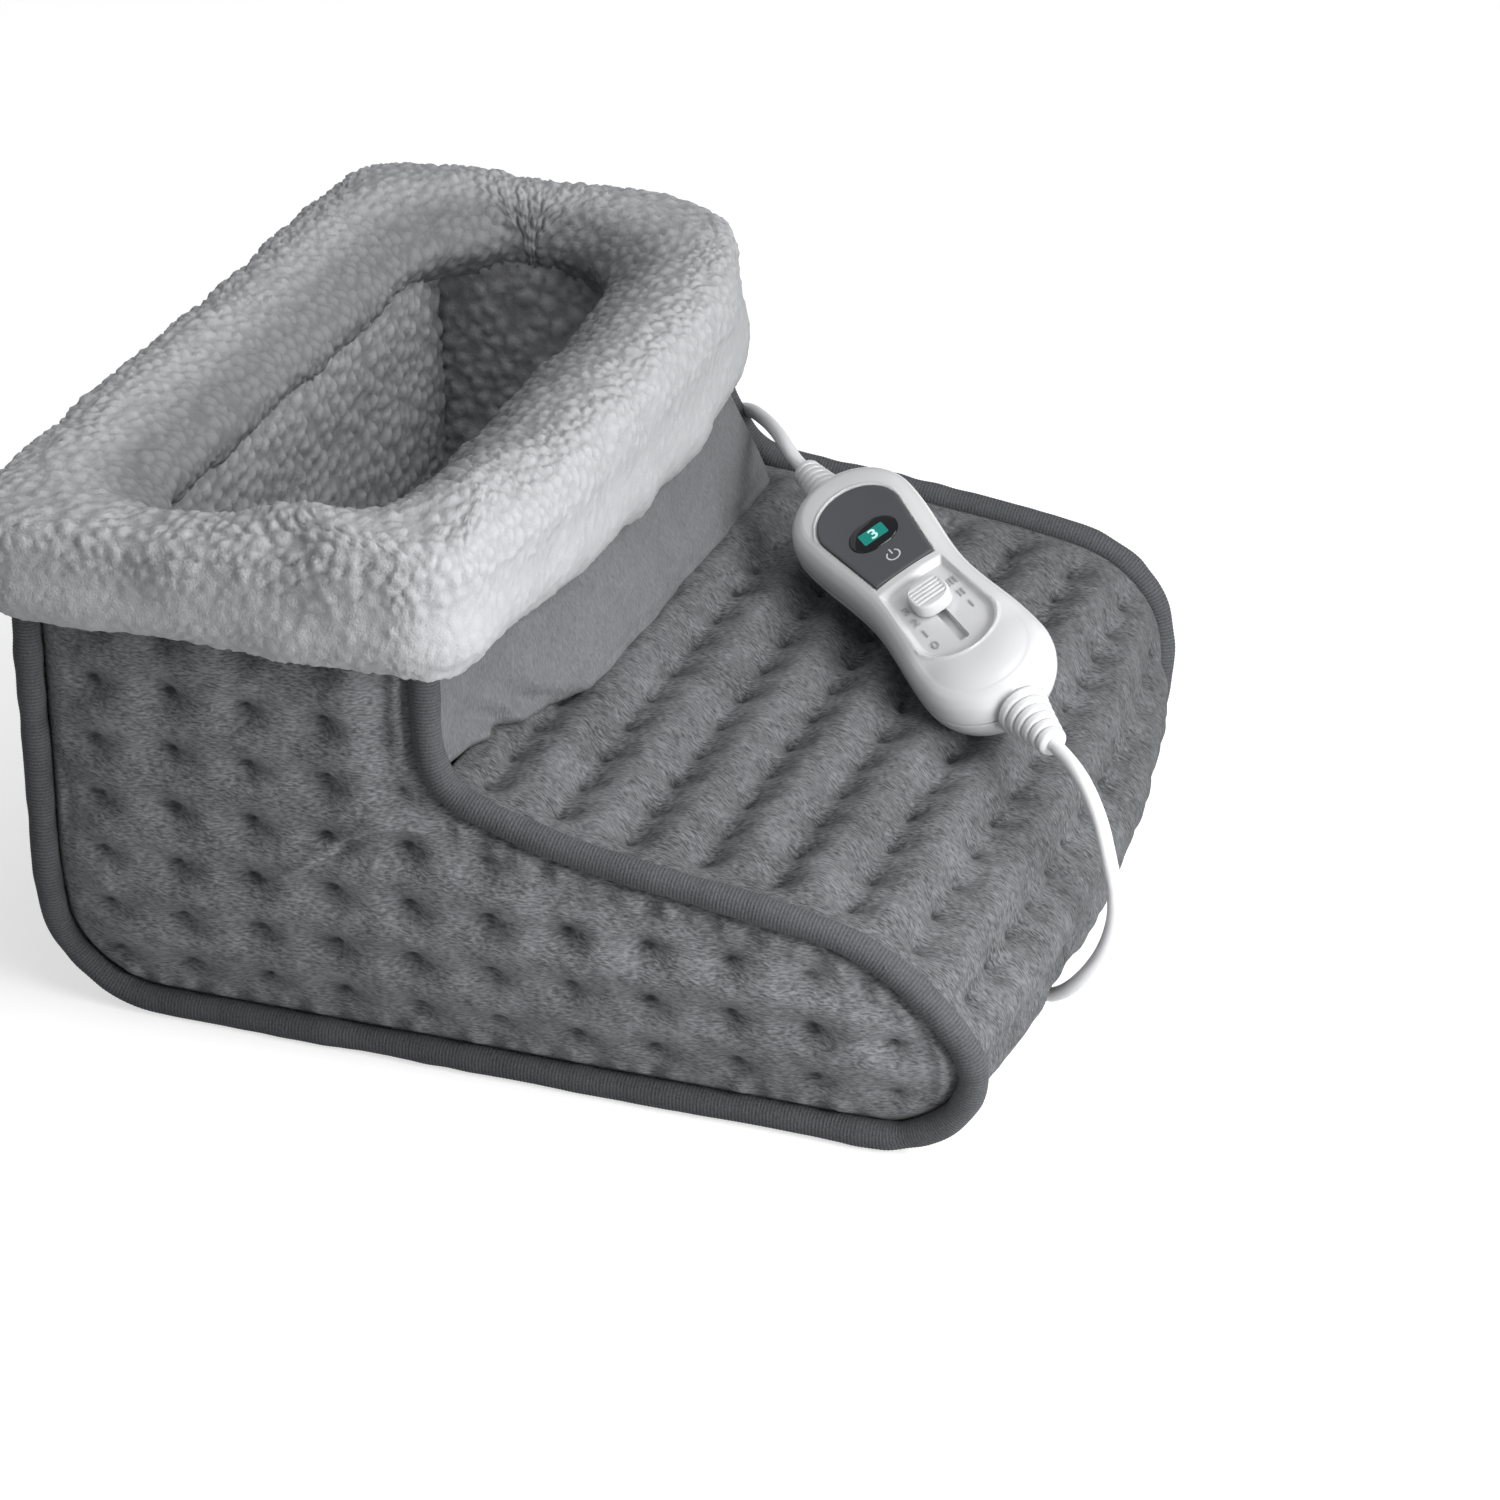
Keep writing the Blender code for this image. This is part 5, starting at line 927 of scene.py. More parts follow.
    def collar(self) -> None:
        """The smooth front of the shaft: its foot bows over the vamp and ends in a crumpled hem.

        The foot stands forward by collar_bow x smoothstep along x, drawn back to nothing at the seams and at the
        cuff; two drifts ripple it, and a sine along a slant crumples the hem's left part.
        """
        shape = self.shape
        half, bottom, top = shape.band_half, shape.corner[1] + shape.soft_gap, shape.panel_top
        x = np.linspace(-half, half, round(2 * half / 0.0014) + 1)
        bow = smoothstep((x + 0.116) / 0.080) * smoothstep((half - x) / 0.018)
        share, wide = np.meshgrid(np.linspace(0.0, 1.0, 56), x, indexing="ij")
        foot = bottom - shape.collar_drop * bow
        high = foot + (top - foot) * share
        out = shape.collar_bow * bow * np.clip((self.COVERED - high) / (self.COVERED - bottom), 0.0, 1.0) ** 1.1
        flat = np.stack([wide, high], -1)
        crown = shape.band_crown * (1 - (wide / half) ** 2)
        fade = smoothstep((half - np.abs(wide)) / 0.012)
        rise = high - foot
        ripple = 0.0010 * drift(flat * (1.0, 1.6), 0.026, 21.0) + 0.0004 * drift(flat, 0.009, 22.0)
        hem = 0.0011 * np.exp(-((rise - 0.0022) / 0.0016) ** 2) * (1 + 0.6 * drift(flat, 0.008, 23.0))
        near = np.exp(-((wide + 0.088) / 0.030) ** 2) * np.exp(-(rise / 0.010) ** 2)
        crumple = 0.0024 * near * np.sin((0.55 * wide + rise) / 0.0026 + 2 * drift(flat, 0.012, 24.0))
        front = np.stack([wide, shape.collar_y - crown - out - fade * (ripple + hem + crumple), high], -1)
        back = np.stack([wide, np.full_like(wide, shape.collar_y + self.BACKING) - out, high], -1)
        verts = np.vstack([shape.settle(grid).reshape(-1, 3) for grid in (front, back)])
        piece = make_piece("collar", verts, slab_faces(*wide.shape), self.palette.collar,
                           Place("smooth_plush", ("collar_panel",)), {"pit": np.zeros(len(verts))})

    def side_edge(self, side: Side, distance: float) -> np.ndarray:
        """Outline of a side in its own plane: the settled seam drawn in by a distance."""
        seam = evenly(self.shape.seam_line(), 0.0016)
        sewn = np.column_stack([np.full(len(seam), side.value * self.shape.half_width), seam])
        return inset(self.shape.settle(sewn)[:, 1:], distance)

    def sheet_between(self, name: str, side: Side, edge: np.ndarray, spacing: float, faces_x,
                      finish: bpy.types.Material, place: Place, key: str) -> bpy.types.Object:
        """A closed sheet in the plane of a side, both its faces pushed out along x.

        Args:
            name: the piece's name.
            side: which side of the boot it is on.
            edge: its outline (y, z).
            spacing: step of its lattice.
            faces_x: gives outer x, inner x and a number for the finish, for the points and their reach.
            finish: its material.
            place: how it belongs to the frame.
            key: the name of that number.

        Returns:
            The piece.
        """
        flat, faces = relief_patch(edge, [], spacing)
        outer, inner, number = faces_x(flat, outline_reach(flat, edge))
        count, shift = len(edge), len(flat)
        verts = np.vstack([np.column_stack([side.value * outer, flat]), np.column_stack([side.value * inner, flat])])
        faces = faces + [tuple(shift + k for k in face[::-1]) for face in faces]
        faces += [(k, (k + 1) % count, shift + (k + 1) % count, shift + k) for k in range(count)]
        return make_piece(name, self.shape.tuck(verts), faces, finish, place, {key: np.tile(number, 2)})

    def side_panel(self, side: Side) -> None:
        """A quilted side: pillows pushed out over its tufts, flat along the binding."""
        shape = self.shape
        quilt = Quilting(shape.side_row_pitch, shape.side_column_pitch, 0.34, 9.0 + side.value)
        name = side.name.lower()

        def faces_x(flat: np.ndarray, reach: np.ndarray) -> tuple[np.ndarray, np.ndarray, np.ndarray]:
            """Half width and crown, less the quilting, with creases, drift, a fold and puckers along the seam.

            The fold is one side of a signed distance s from a line, as s / width x exp(-|s| / width), so the cloth
            above it stands out and the cloth below is drawn in.
            """
            y, z = flat.T
            sway = 0.0014 * drift(flat, 0.05, 31.0)
            along, across = z - shape.side_first_row, y - shape.side_first_column
            fade = smoothstep((reach - 0.002) / shape.puff_fade)
            pit, fan = quilt.stitches(along, across)
            ripple = (0.0012 * drift(flat * (1.0, 0.45), 0.020, 33.0) * smoothstep((z - 0.07) / 0.04)
                      + 0.0008 * drift(flat, 0.014, 36.0) + 0.0003 * drift(flat, 0.005, 34.0))
            puff = 0.5 + 0.5 * np.cos(2 * math.pi * across / shape.side_column_pitch * 1.5)
            pucker = (0.0016 * puff + 0.0008 * np.sin(y / 0.0017 + 2 * drift(flat, 0.02, 35.0))) * np.exp(
                -((reach - 0.0045) / 0.0035) ** 2)
            line = 0.0885 - 0.75 * np.clip(y - 0.030, 0.0, 0.040) - 0.10 * np.clip(0.020 - y, 0.0, 0.03)
            s = z - line + 0.0012 * drift(flat, 0.010, 37.0)
            span = np.exp(-((y - 0.036) / 0.026) ** 2) * (1 if side is Side.LEFT else 0.3)
            fold = 0.0042 * span * (smoothstep(s / 0.0030 + 0.5) - 0.5) * np.exp(-np.abs(s) / 0.012)
            groove = 0.0022 * np.exp(-(reach / 0.0022) ** 2)
            swell = shape.side_crown * (1 - quilt.depth(along + sway, across)) + ripple + 0.0005 * fan - 0.0016 * pit
            outer = shape.half_width + fade * (0.85 * swell + fold) + pucker * smoothstep(reach / 0.004) - groove
            # the pit share also paints shade into the side's pits in the finish
            return outer, np.full(len(flat), shape.half_width - 0.004), pit * smoothstep(fade * 2)

        edge = self.side_edge(side, shape.binding_radius - 0.0008)
        piece = self.sheet_between(f"quilted_side_{name}", side, edge, 0.00135, faces_x, self.palette.side,
                                   Place("quilted_plush", (f"side_panel_{name}",)), "pit")

    def binding(self, side: Side) -> None:
        """A rib-knit tape rolled over the seam: an oval section carried along it, its ribs across."""
        shape, pitch, around = self.shape, 0.00112, 14
        rope = shape.seam_line()
        rope[[0, -1], 1] -= 0.003
        rope = evenly(rope, pitch / 4)
        centre = shape.settle(np.column_stack([np.full(len(rope), side.value * shape.half_width), rope]))
        marks = marks_of(centre)
        centre += 0.0004 * np.stack([drift(centre, 0.03, 41.0 + k) for k in range(3)], -1)
        way = unit(np.gradient(centre, axis=0))
        out = unit(np.cross(way, (1.0, 0.0, 0.0)))
        aside = np.cross(out, way)
        angles = 2 * math.pi * np.arange(around) / around
        rib = np.cos(2 * math.pi * marks / pitch)[:, None]
        bunch = 0.00035 * drift(centre, 0.007, 44.0)[:, None]
        radius = shape.binding_radius - 0.0005 + 0.00007 * rib + bunch
        ring = (out[:, None] * (radius * np.cos(angles))[..., None] * 1.05
                + aside[:, None] * (radius * np.sin(angles))[..., None])
        verts, faces = lofted(centre[:, None] + ring)
        verts[:, 2] = np.maximum(verts[:, 2], 0.0)
        name = side.name.lower()
        # rib: rib height share, which the finish paints as shade and highlight
        make_piece(f"rib_binding_{name}", verts, faces, self.palette.binding,
                   Place("ribbed_binding", (f"binding_{name}",)),
                   {"rib": np.repeat(rib.ravel() * 0.5 + 0.5, around)})

    def lining_band(self) -> None:
        """The woolly lining's middle strip: down the collar, into the toe, along the sole and up the heel."""
        shape = self.shape
        body = evenly(shape.body_line(), 0.003)
        half = shape.band_half - shape.lining_thickness - 2 * shape.soft_gap
        x = np.linspace(-half, half, round(2 * half / 0.0017))
        grids = []
        near = shape.panel_depth + shape.soft_gap
        for distance in (near, near + shape.lining_thickness - 0.001):
            line = clean_inset(body, distance)
            line[[0, -1], 1] = shape.panel_top - 0.005
            line = spread(line, np.linspace(0.0, marks_of(line)[-1], 380))
            grids.append(shape.settle(across_boot(x, np.broadcast_to(line[:, None], (len(line), len(x), 2)))))
        pile = curls(grids[1], self.CURL, 51.0)
        normal = grid_normals(grids[1])
        towards = np.sign(((grids[1] - grids[0]) * normal).sum(-1, keepdims=True))
        grids[1] = grids[1] + normal * towards * (self.CURL_HEIGHT * pile - 0.0005)[..., None]
        verts = np.vstack([grid.reshape(-1, 3) for grid in grids])
        # the lining carries no painted inner shade: its inner marks are all zero
        piece = make_piece("woolly_lining", verts, slab_faces(*pile.shape), self.palette.lining,
                           Place("sherpa", ("lining_band",)),
                           {"pile": np.concatenate([np.zeros(pile.size), pile.ravel()]),
                            "inner": np.zeros(2 * pile.size)})

    def lining_side(self, side: Side) -> None:
        """One side of the woolly lining, its curls towards the feet."""
        shape = self.shape
        body = evenly(shape.body_line(), 0.003)
        sewn = np.column_stack([np.full(len(body), side.value * shape.half_width), body])
        edge = clean_inset(shape.settle(sewn)[:, 1:], shape.panel_depth + shape.soft_gap)
        edge[[0, -1], 1] = shape.panel_top
        outer_x = shape.half_width - shape.side_depth - shape.soft_gap

        def faces_x(flat: np.ndarray, reach: np.ndarray) -> tuple[np.ndarray, np.ndarray, np.ndarray]:
            """A flat back and curls that stand in from the inner face."""
            fade = smoothstep(reach / 0.004)
            pile = curls(np.column_stack([np.zeros(len(flat)), flat]), self.CURL, 53.0) * fade
            inner = outer_x - shape.lining_thickness + 0.001 - self.CURL_HEIGHT * pile
            # pile also paints shade into the lining's creases in the finish
            return np.full(len(flat), outer_x), inner, pile

        name = side.name.lower()
        piece = self.sheet_between(f"woolly_side_{name}", side, edge, 0.0019, faces_x, self.palette.lining,
                                   Place("sherpa", (f"lining_{name}",)), "pile")

    def sole(self) -> None:
        """The sole cloth: a flat sheet with a rounded edge."""
        low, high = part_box("sole_panel")
        half = self.shape.band_half - GAP
        y = np.linspace(low.y, high.y, 90)
        x = np.linspace(-half, half, 120)
        long, wide = np.meshgrid(y, x, indexing="ij")
        edge = np.minimum(half - np.abs(wide), np.minimum(long - low.y, high.y - long))
        round_off = 0.0012 * (1 - smoothstep(edge / 0.003))
        bottom = np.stack([wide, long, low.z + round_off], -1)
        top = np.stack([wide, long, high.z - round_off], -1)
        verts = np.vstack([self.shape.settle(grid).reshape(-1, 3) for grid in (top, bottom)])
        make_piece("sole_cloth", verts, slab_faces(*wide.shape), self.palette.sole,
                   Place("sole_cloth", ("sole_panel",)))

    def cuff(self) -> None:
        """The folded cuff: a thick woolly roll over the shaft's cut edge, with a skirt down its outside."""
        piece = Cuff(self.shape).build(self.palette.wool)


@dataclass(frozen=True)
class Cuff:
    """Sizes of the folded cuff, and the surface that they give."""

    shape: BootShape
    rim_height: float = 0.180
    rim_lift: float = 0.010
    rim_lift_reach: float = 0.032
    bulge: float = 0.0105
    corner_radius: float = 0.012
    inner_radius: float = 0.034
    low_places: tuple[tuple[float, float], ...] = (     # x and height of the skirt's lower edge
        (-0.165, 0.148), (-0.112, 0.1465), (-0.070, 0.1405), (-0.029, 0.1360), (0.035, 0.1340), (0.070, 0.1365),
        (0.120, 0.1390), (0.165, 0.1400))
    step: float = 0.00120
    curl: float = 0.0050            # across a curl of wool
    curl_height: float = 0.0012
    outer_shares: tuple[tuple[float, float], ...] = ((0.72, 0.0), (1.0, 0.16), (0.92, 0.45), (0.95, 0.70),
                                                     (0.62, 0.92))
    inner_shares: tuple[tuple[float, float], ...] = ((0.10, 1.0), (0.42, 0.96), (0.75, 0.62), (0.93, 0.12),
                                                     (0.98, -0.5), (0.80, -1.3))
    fold_from_end: tuple[int, ...] = (5, 3, 2, 1)       # levels counted from the last, with their folds
    fold_sizes: tuple[float, ...] = (0.0, 0.0105, 0.0115, 0.0070)

    def loop(self, out: float, radius: float, fold: float = 0.0) -> np.ndarray:
        """A rounded rectangle round the shaft, seen from above, with as many points whatever its radius.

        Args:
            out: how far it stands out from the shaft.
            radius: radius of its corners.
            fold: how much farther in it lies at front and back.

        Returns:
            (x, y) points, counted from the front left corner.
        """
        shape = self.shape
        half_x = shape.half_width + shape.side_crown + shape.soft_gap + out
        front_y = shape.collar_y - shape.binding_radius - 3 * shape.soft_gap - out + fold
        back_y = shape.heel_y + shape.binding_radius + 2 * shape.soft_gap + out - fold
        corners = ((-half_x + radius, front_y + radius, math.pi), (half_x - radius, front_y + radius, 1.5 * math.pi),
                   (half_x - radius, back_y - radius, 0.0), (-half_x + radius, back_y - radius, 0.5 * math.pi))
        counts = (round(0.26 / self.step), round(0.11 / self.step)) * 2
        ends = []
        for x, y, start in corners:
            ends.append(arc((x, y), radius, start + np.linspace(0.0, math.pi / 2, 40)))
        points = []
        for k, count in enumerate(counts):
            share = (np.arange(1, count) / count)[:, None]
            last, following = ends[k][-1], ends[(k + 1) % 4][0]
            points += [ends[k], last + (following - last) * share]
        return np.vstack(points)

    def surface(self) -> np.ndarray:
        """Rings from the skirt's inner edge up the outside, over the rim and down inside to the cut edge.

        Returns:
            Points of the closed section, smoothed between its levels, as rows of rings.
        """
        shape = self.shape
        base = self.loop(0.0, self.corner_radius)
        places = smooth_line(self.low_places, 8)
        low = np.interp(base[:, 0], places[:, 0], places[:, 1])
        away = ((base - np.array((-shape.half_width, shape.collar_y))) ** 2).sum(1)
        rim = self.rim_height + self.rim_lift * np.exp(-away / (2 * self.rim_lift_reach ** 2))
        seat = np.full(len(base), shape.panel_top + shape.soft_gap)
        reach = shape.panel_depth + shape.lining_thickness
        levels = [(0.0, self.corner_radius, low), (self.bulge * 0.42, self.corner_radius, low - 0.0022)]
        levels += [(self.bulge * n, self.corner_radius + self.bulge * n, low + h * (rim - low))
                   for n, h in self.outer_shares]
        levels += [(-reach * n, self.inner_radius, seat + h * (rim - seat)) for n, h in self.inner_shares]
        folds = np.interp(np.arange(len(levels)), len(levels) - np.array(self.fold_from_end), self.fold_sizes)
        rings = np.array([np.column_stack([self.loop(out, radius, fold), height])
                          for (out, radius, height), fold in zip(levels, folds)])
        fine = smooth_line(rings.reshape(len(rings), -1), 26).reshape(-1, len(base), 3)
        marks = np.concatenate([[0.0], np.cumsum(np.linalg.norm(np.diff(fine, axis=0), axis=2).mean(1))])
        even = np.linspace(0.0, marks[-1], round(marks[-1] / self.step))
        places = np.interp(even, marks, np.arange(len(fine)))
        floor = np.minimum(places.astype(int), len(fine) - 2)
        part = (places - floor)[:, None, None]
        return fine[floor] * (1 - part) + fine[floor + 1] * part

    def build(self, finish: bpy.types.Material) -> bpy.types.Object:
        """Carry the section round the shaft and raise the curls along its normals.

        Args:
            finish: the wool.

        Returns:
            The piece.
        """
        grid = self.surface()
        looped = np.concatenate([grid[:, -2:], grid, grid[:, :2]], 1)
        normal = grid_normals(looped)[:, 2:-2]
        middle = grid.mean((0, 1))
        first = len(grid) // 3
        if ((grid[first] - middle) * normal[first])[:, :2].sum() < 0:
            normal = -normal
        rows = np.linspace(0.0, 1.0, len(grid))[:, None]
        rough = 0.22 + 0.78 * smoothstep((rows - 0.18) / 0.22) + 0.35 * np.exp(-(rows / 0.05) ** 2)
        corner = np.array((-self.shape.half_width, self.shape.collar_y))
        near = np.exp(-((grid[..., :2] - corner) ** 2).sum(-1) / (2 * 0.05 ** 2))
        rough = np.clip(rough + 0.3 * near, 0.0, 1.1)
        pile = curls(grid, self.curl, 61.0)
        fine = curls(grid, self.curl * 0.5, 65.0)
        swell = 0.0013 * drift(grid, 0.017, 67.0)
        ends = smoothstep(rows / 0.02) * smoothstep((1 - rows) / 0.03)
        rise = ends * (self.curl_height * rough * (pile - 0.5) + 0.0005 * (fine - 0.5) + swell)
        settled = self.shape.settle(grid + normal * rise[..., None])
        count, around = settled.shape[:2]
        faces = grid_faces(count, around, loop=True, closed=True)
        calm = 1 - np.minimum(rough, 1.0)
        # pile also paints shade into the cuff's creases in the finish
        pile = np.clip(pile * (1 - calm) + calm * (0.75 + 0.25 * fine) + 0.1 * fine, 0.0, 1.0)
        # inner: painted shade mask, rising over the rows that face into the boot
        inner = np.broadcast_to(smoothstep((rows - 0.60) / 0.16), pile.shape)
        return make_piece("woolly_cuff", settled.reshape(-1, 3), faces, finish, Place("sherpa", ("sherpa_cuff",)),
                          {"pile": pile.ravel(), "inner": inner.ravel()})


# Controller

@dataclass(frozen=True)
class ControllerShape:
    """Sizes of the controller, in its own frame: +x to the lead's end, +z out of the deck."""

    lobe_in: float = 0.0222
    lobe_out: float = 0.0224
    waist: float = 0.0186
    end_in: float = 0.062
    end_out: float = 0.069
    top: float = 0.0120
    bottom: float = 0.0140
    deck_inset: float = 0.0062
    dome: float = 0.0009            # how far the deck falls to its edge
    lobe_dome: float = 0.0013       # how much more it falls on the lower lobe
    dome_reach: float = 0.0140
    dome_power: float = 2.6
    lobe_start: float = 0.030       # how far from the middle the lower lobe's own fall begins
    lobe_run: float = 0.014
    rim_height: float = 0.00038
    rim_width: float = 0.00042
    slot_depth: float = 0.0032
    slot_edge: float = 0.00035
    plate_thickness: float = 0.0009
    plate_lift: float = 0.00032     # how far it stands above the deck
    plate_top: float = 0.0465
    plate_half: float = 0.0148
    plate_edge_half: float = 0.0112
    window_length: float = 0.0176
    window_width: float = 0.0134
    window_centre: float = 0.0214
    recess_top: float = 0.0028
    recess_end: float = 0.0454
    recess_half: float = 0.0142
    recess_top_half: float = 0.0122
    recess_depth: float = 0.0022
    knob_length: float = 0.0136
    knob_width: float = 0.0134
    knob_height: float = 0.0048
    knob_ribs: int = 5
    knob_rib_height: float = 0.0006
    knob_rest: float = 0.0169
    knob_travel: float = 0.0200
    stem: float = 0.0030
    screw_places: tuple[float, float] = (0.046, -0.054)
    lead_relief: tuple[float, float, int] = (0.0074, 0.0165, 5)         # base radius, length and rings
    mains_relief: tuple[float, float, int] = (0.0092, 0.0200, 6)
    screw_well: float = 0.0027
    screw_sink: float = 0.0012
    place: tuple[float, float, float] = (0.0285, -0.0849, 0.10509)
    yaw: float = 46.0
    pitch: float = 8.0
    roll: float = 27.4
    top_shares: tuple[tuple[float, float], ...] = ((0.05, 0.0), (0.0, 0.05), (0.03, 0.32), (0.18, 0.62), (0.46, 0.84),
                                                   (0.76, 0.95), (1.0, 1.0))
    belly_shares: tuple[tuple[float, float], ...] = ((0.05, 0.0), (0.0, 0.04), (0.14, 0.32), (0.50, 0.62), (1.05, 0.86),
                                                     (1.65, 0.98), (2.1, 1.0))

    def frame(self) -> Matrix:
        """Takes the controller's own frame to where it lies on the vamp."""
        turn = (Matrix.Rotation(math.radians(self.yaw), 4, "Z") @ Matrix.Rotation(-math.radians(self.pitch), 4, "Y")
                @ Matrix.Rotation(-math.radians(self.roll), 4, "X"))
        return Matrix.Translation(self.place) @ turn

    def outline(self, shrink: float, steps: int = 44) -> np.ndarray:
        """Outline drawn in by a distance: two round lobes, the width between them swelling by smoothstep."""
        radius_in, radius_out = self.lobe_in - shrink, self.lobe_out - shrink
        centre_in, centre_out = self.end_in - self.lobe_in, -(self.end_out - self.lobe_out)
        caps = np.linspace(-math.pi / 2, math.pi / 2, steps)
        flank = np.linspace(centre_in, centre_out, steps + 2)[1:-1]
        middle = (centre_in + centre_out) / 2
        ahead = flank > middle
        swell = np.abs(flank - middle) / np.where(ahead, centre_in - middle, middle - centre_out)
        width = self.waist - shrink + (np.where(ahead, radius_in, radius_out) - self.waist + shrink) * smoothstep(swell)
        return np.vstack([arc((centre_in, 0.0), radius_in, caps), np.stack([flank, width], -1),
                          arc((centre_out, 0.0), -radius_out, caps), np.stack([flank, -width], -1)[::-1]])

    def fall(self, x: np.ndarray) -> np.ndarray:
        """How far the deck falls to its edge at a distance along the controller, most on the lower lobe."""
        return self.dome + self.lobe_dome * smoothstep((-x - self.lobe_start) / self.lobe_run)

    def plate_outline(self, clearance: float, steps: int = 60) -> np.ndarray:
        """The faceplate: a round end over the display, tapering to a straight edge at the waist."""
        radius, centre = self.plate_half - clearance, self.plate_top - self.plate_half
        edge = self.plate_edge_half - clearance
        lean = math.asin((self.plate_half - self.plate_edge_half) / centre)
        angle = np.linspace(-math.pi / 2 - lean, math.pi / 2 + lean, steps)
        end = arc((centre, 0.0), radius, angle)
        flank = np.linspace(0.0, 1.0, 24)[1:, None]
        side = end[-1] + (np.array((clearance, edge)) - end[-1]) * flank
        across = np.linspace(edge, -edge, 20)[1:]
        return np.vstack([end, side, np.stack([np.full(len(across), clearance), across], -1),
                          (side * (1, -1))[::-1][1:]])

    def recess_outline(self, grow: float = 0.0) -> np.ndarray:
        """The dished field of the slider: a straight top, sides that swell and a round end."""
        centre, half = -(self.recess_end - self.recess_half), self.recess_half + grow
        angle = np.linspace(-math.pi / 2, math.pi / 2, 48)
        end = np.stack([centre - half * np.cos(angle), half * np.sin(angle)], -1)
        top = np.array((-self.recess_top + grow, self.recess_top_half + grow))
        share = np.linspace(0.0, 1.0, 18)[1:, None]
        side = end[-1] + (top - end[-1]) * share
        across = np.linspace(top[1], -top[1], 18)[1:-1]
        return np.vstack([end, side, np.stack([np.full(len(across), top[0]), across], -1),
                          (side * (1, -1))[::-1][:-1]])

    def rim_line(self) -> np.ndarray:
        """Closed line round faceplate and recess together, along which the thin rim stands."""
        plate = self.plate_outline(-0.0009)
        plate = plate[plate[:, 0] > 0.0008]
        recess = self.recess_outline(0.0009)
        recess = recess[recess[:, 0] < -self.recess_top - 0.0015]
        upper = plate[np.argsort(np.arctan2(plate[:, 1], plate[:, 0] - 0.012))]
        lower = recess[np.argsort(np.mod(np.arctan2(recess[:, 1], recess[:, 0] + 0.02), 2 * math.pi))]
        return even_loop(np.vstack([upper, lower]), 0.0011)

    def slot_outline(self, grow: float = 0.0) -> np.ndarray:
        """The slot that the knob's stem runs in, with round corners."""
        high = -self.knob_rest + self.stem / 2 + 2 * GAP + grow
        low = -self.knob_rest - self.knob_travel - self.stem / 2 - 2 * GAP - grow
        half = self.stem / 2 + GAP + grow
        return even_loop(rounded((low, -half), (high, half), 0.0008 + grow, 6), 0.0009)


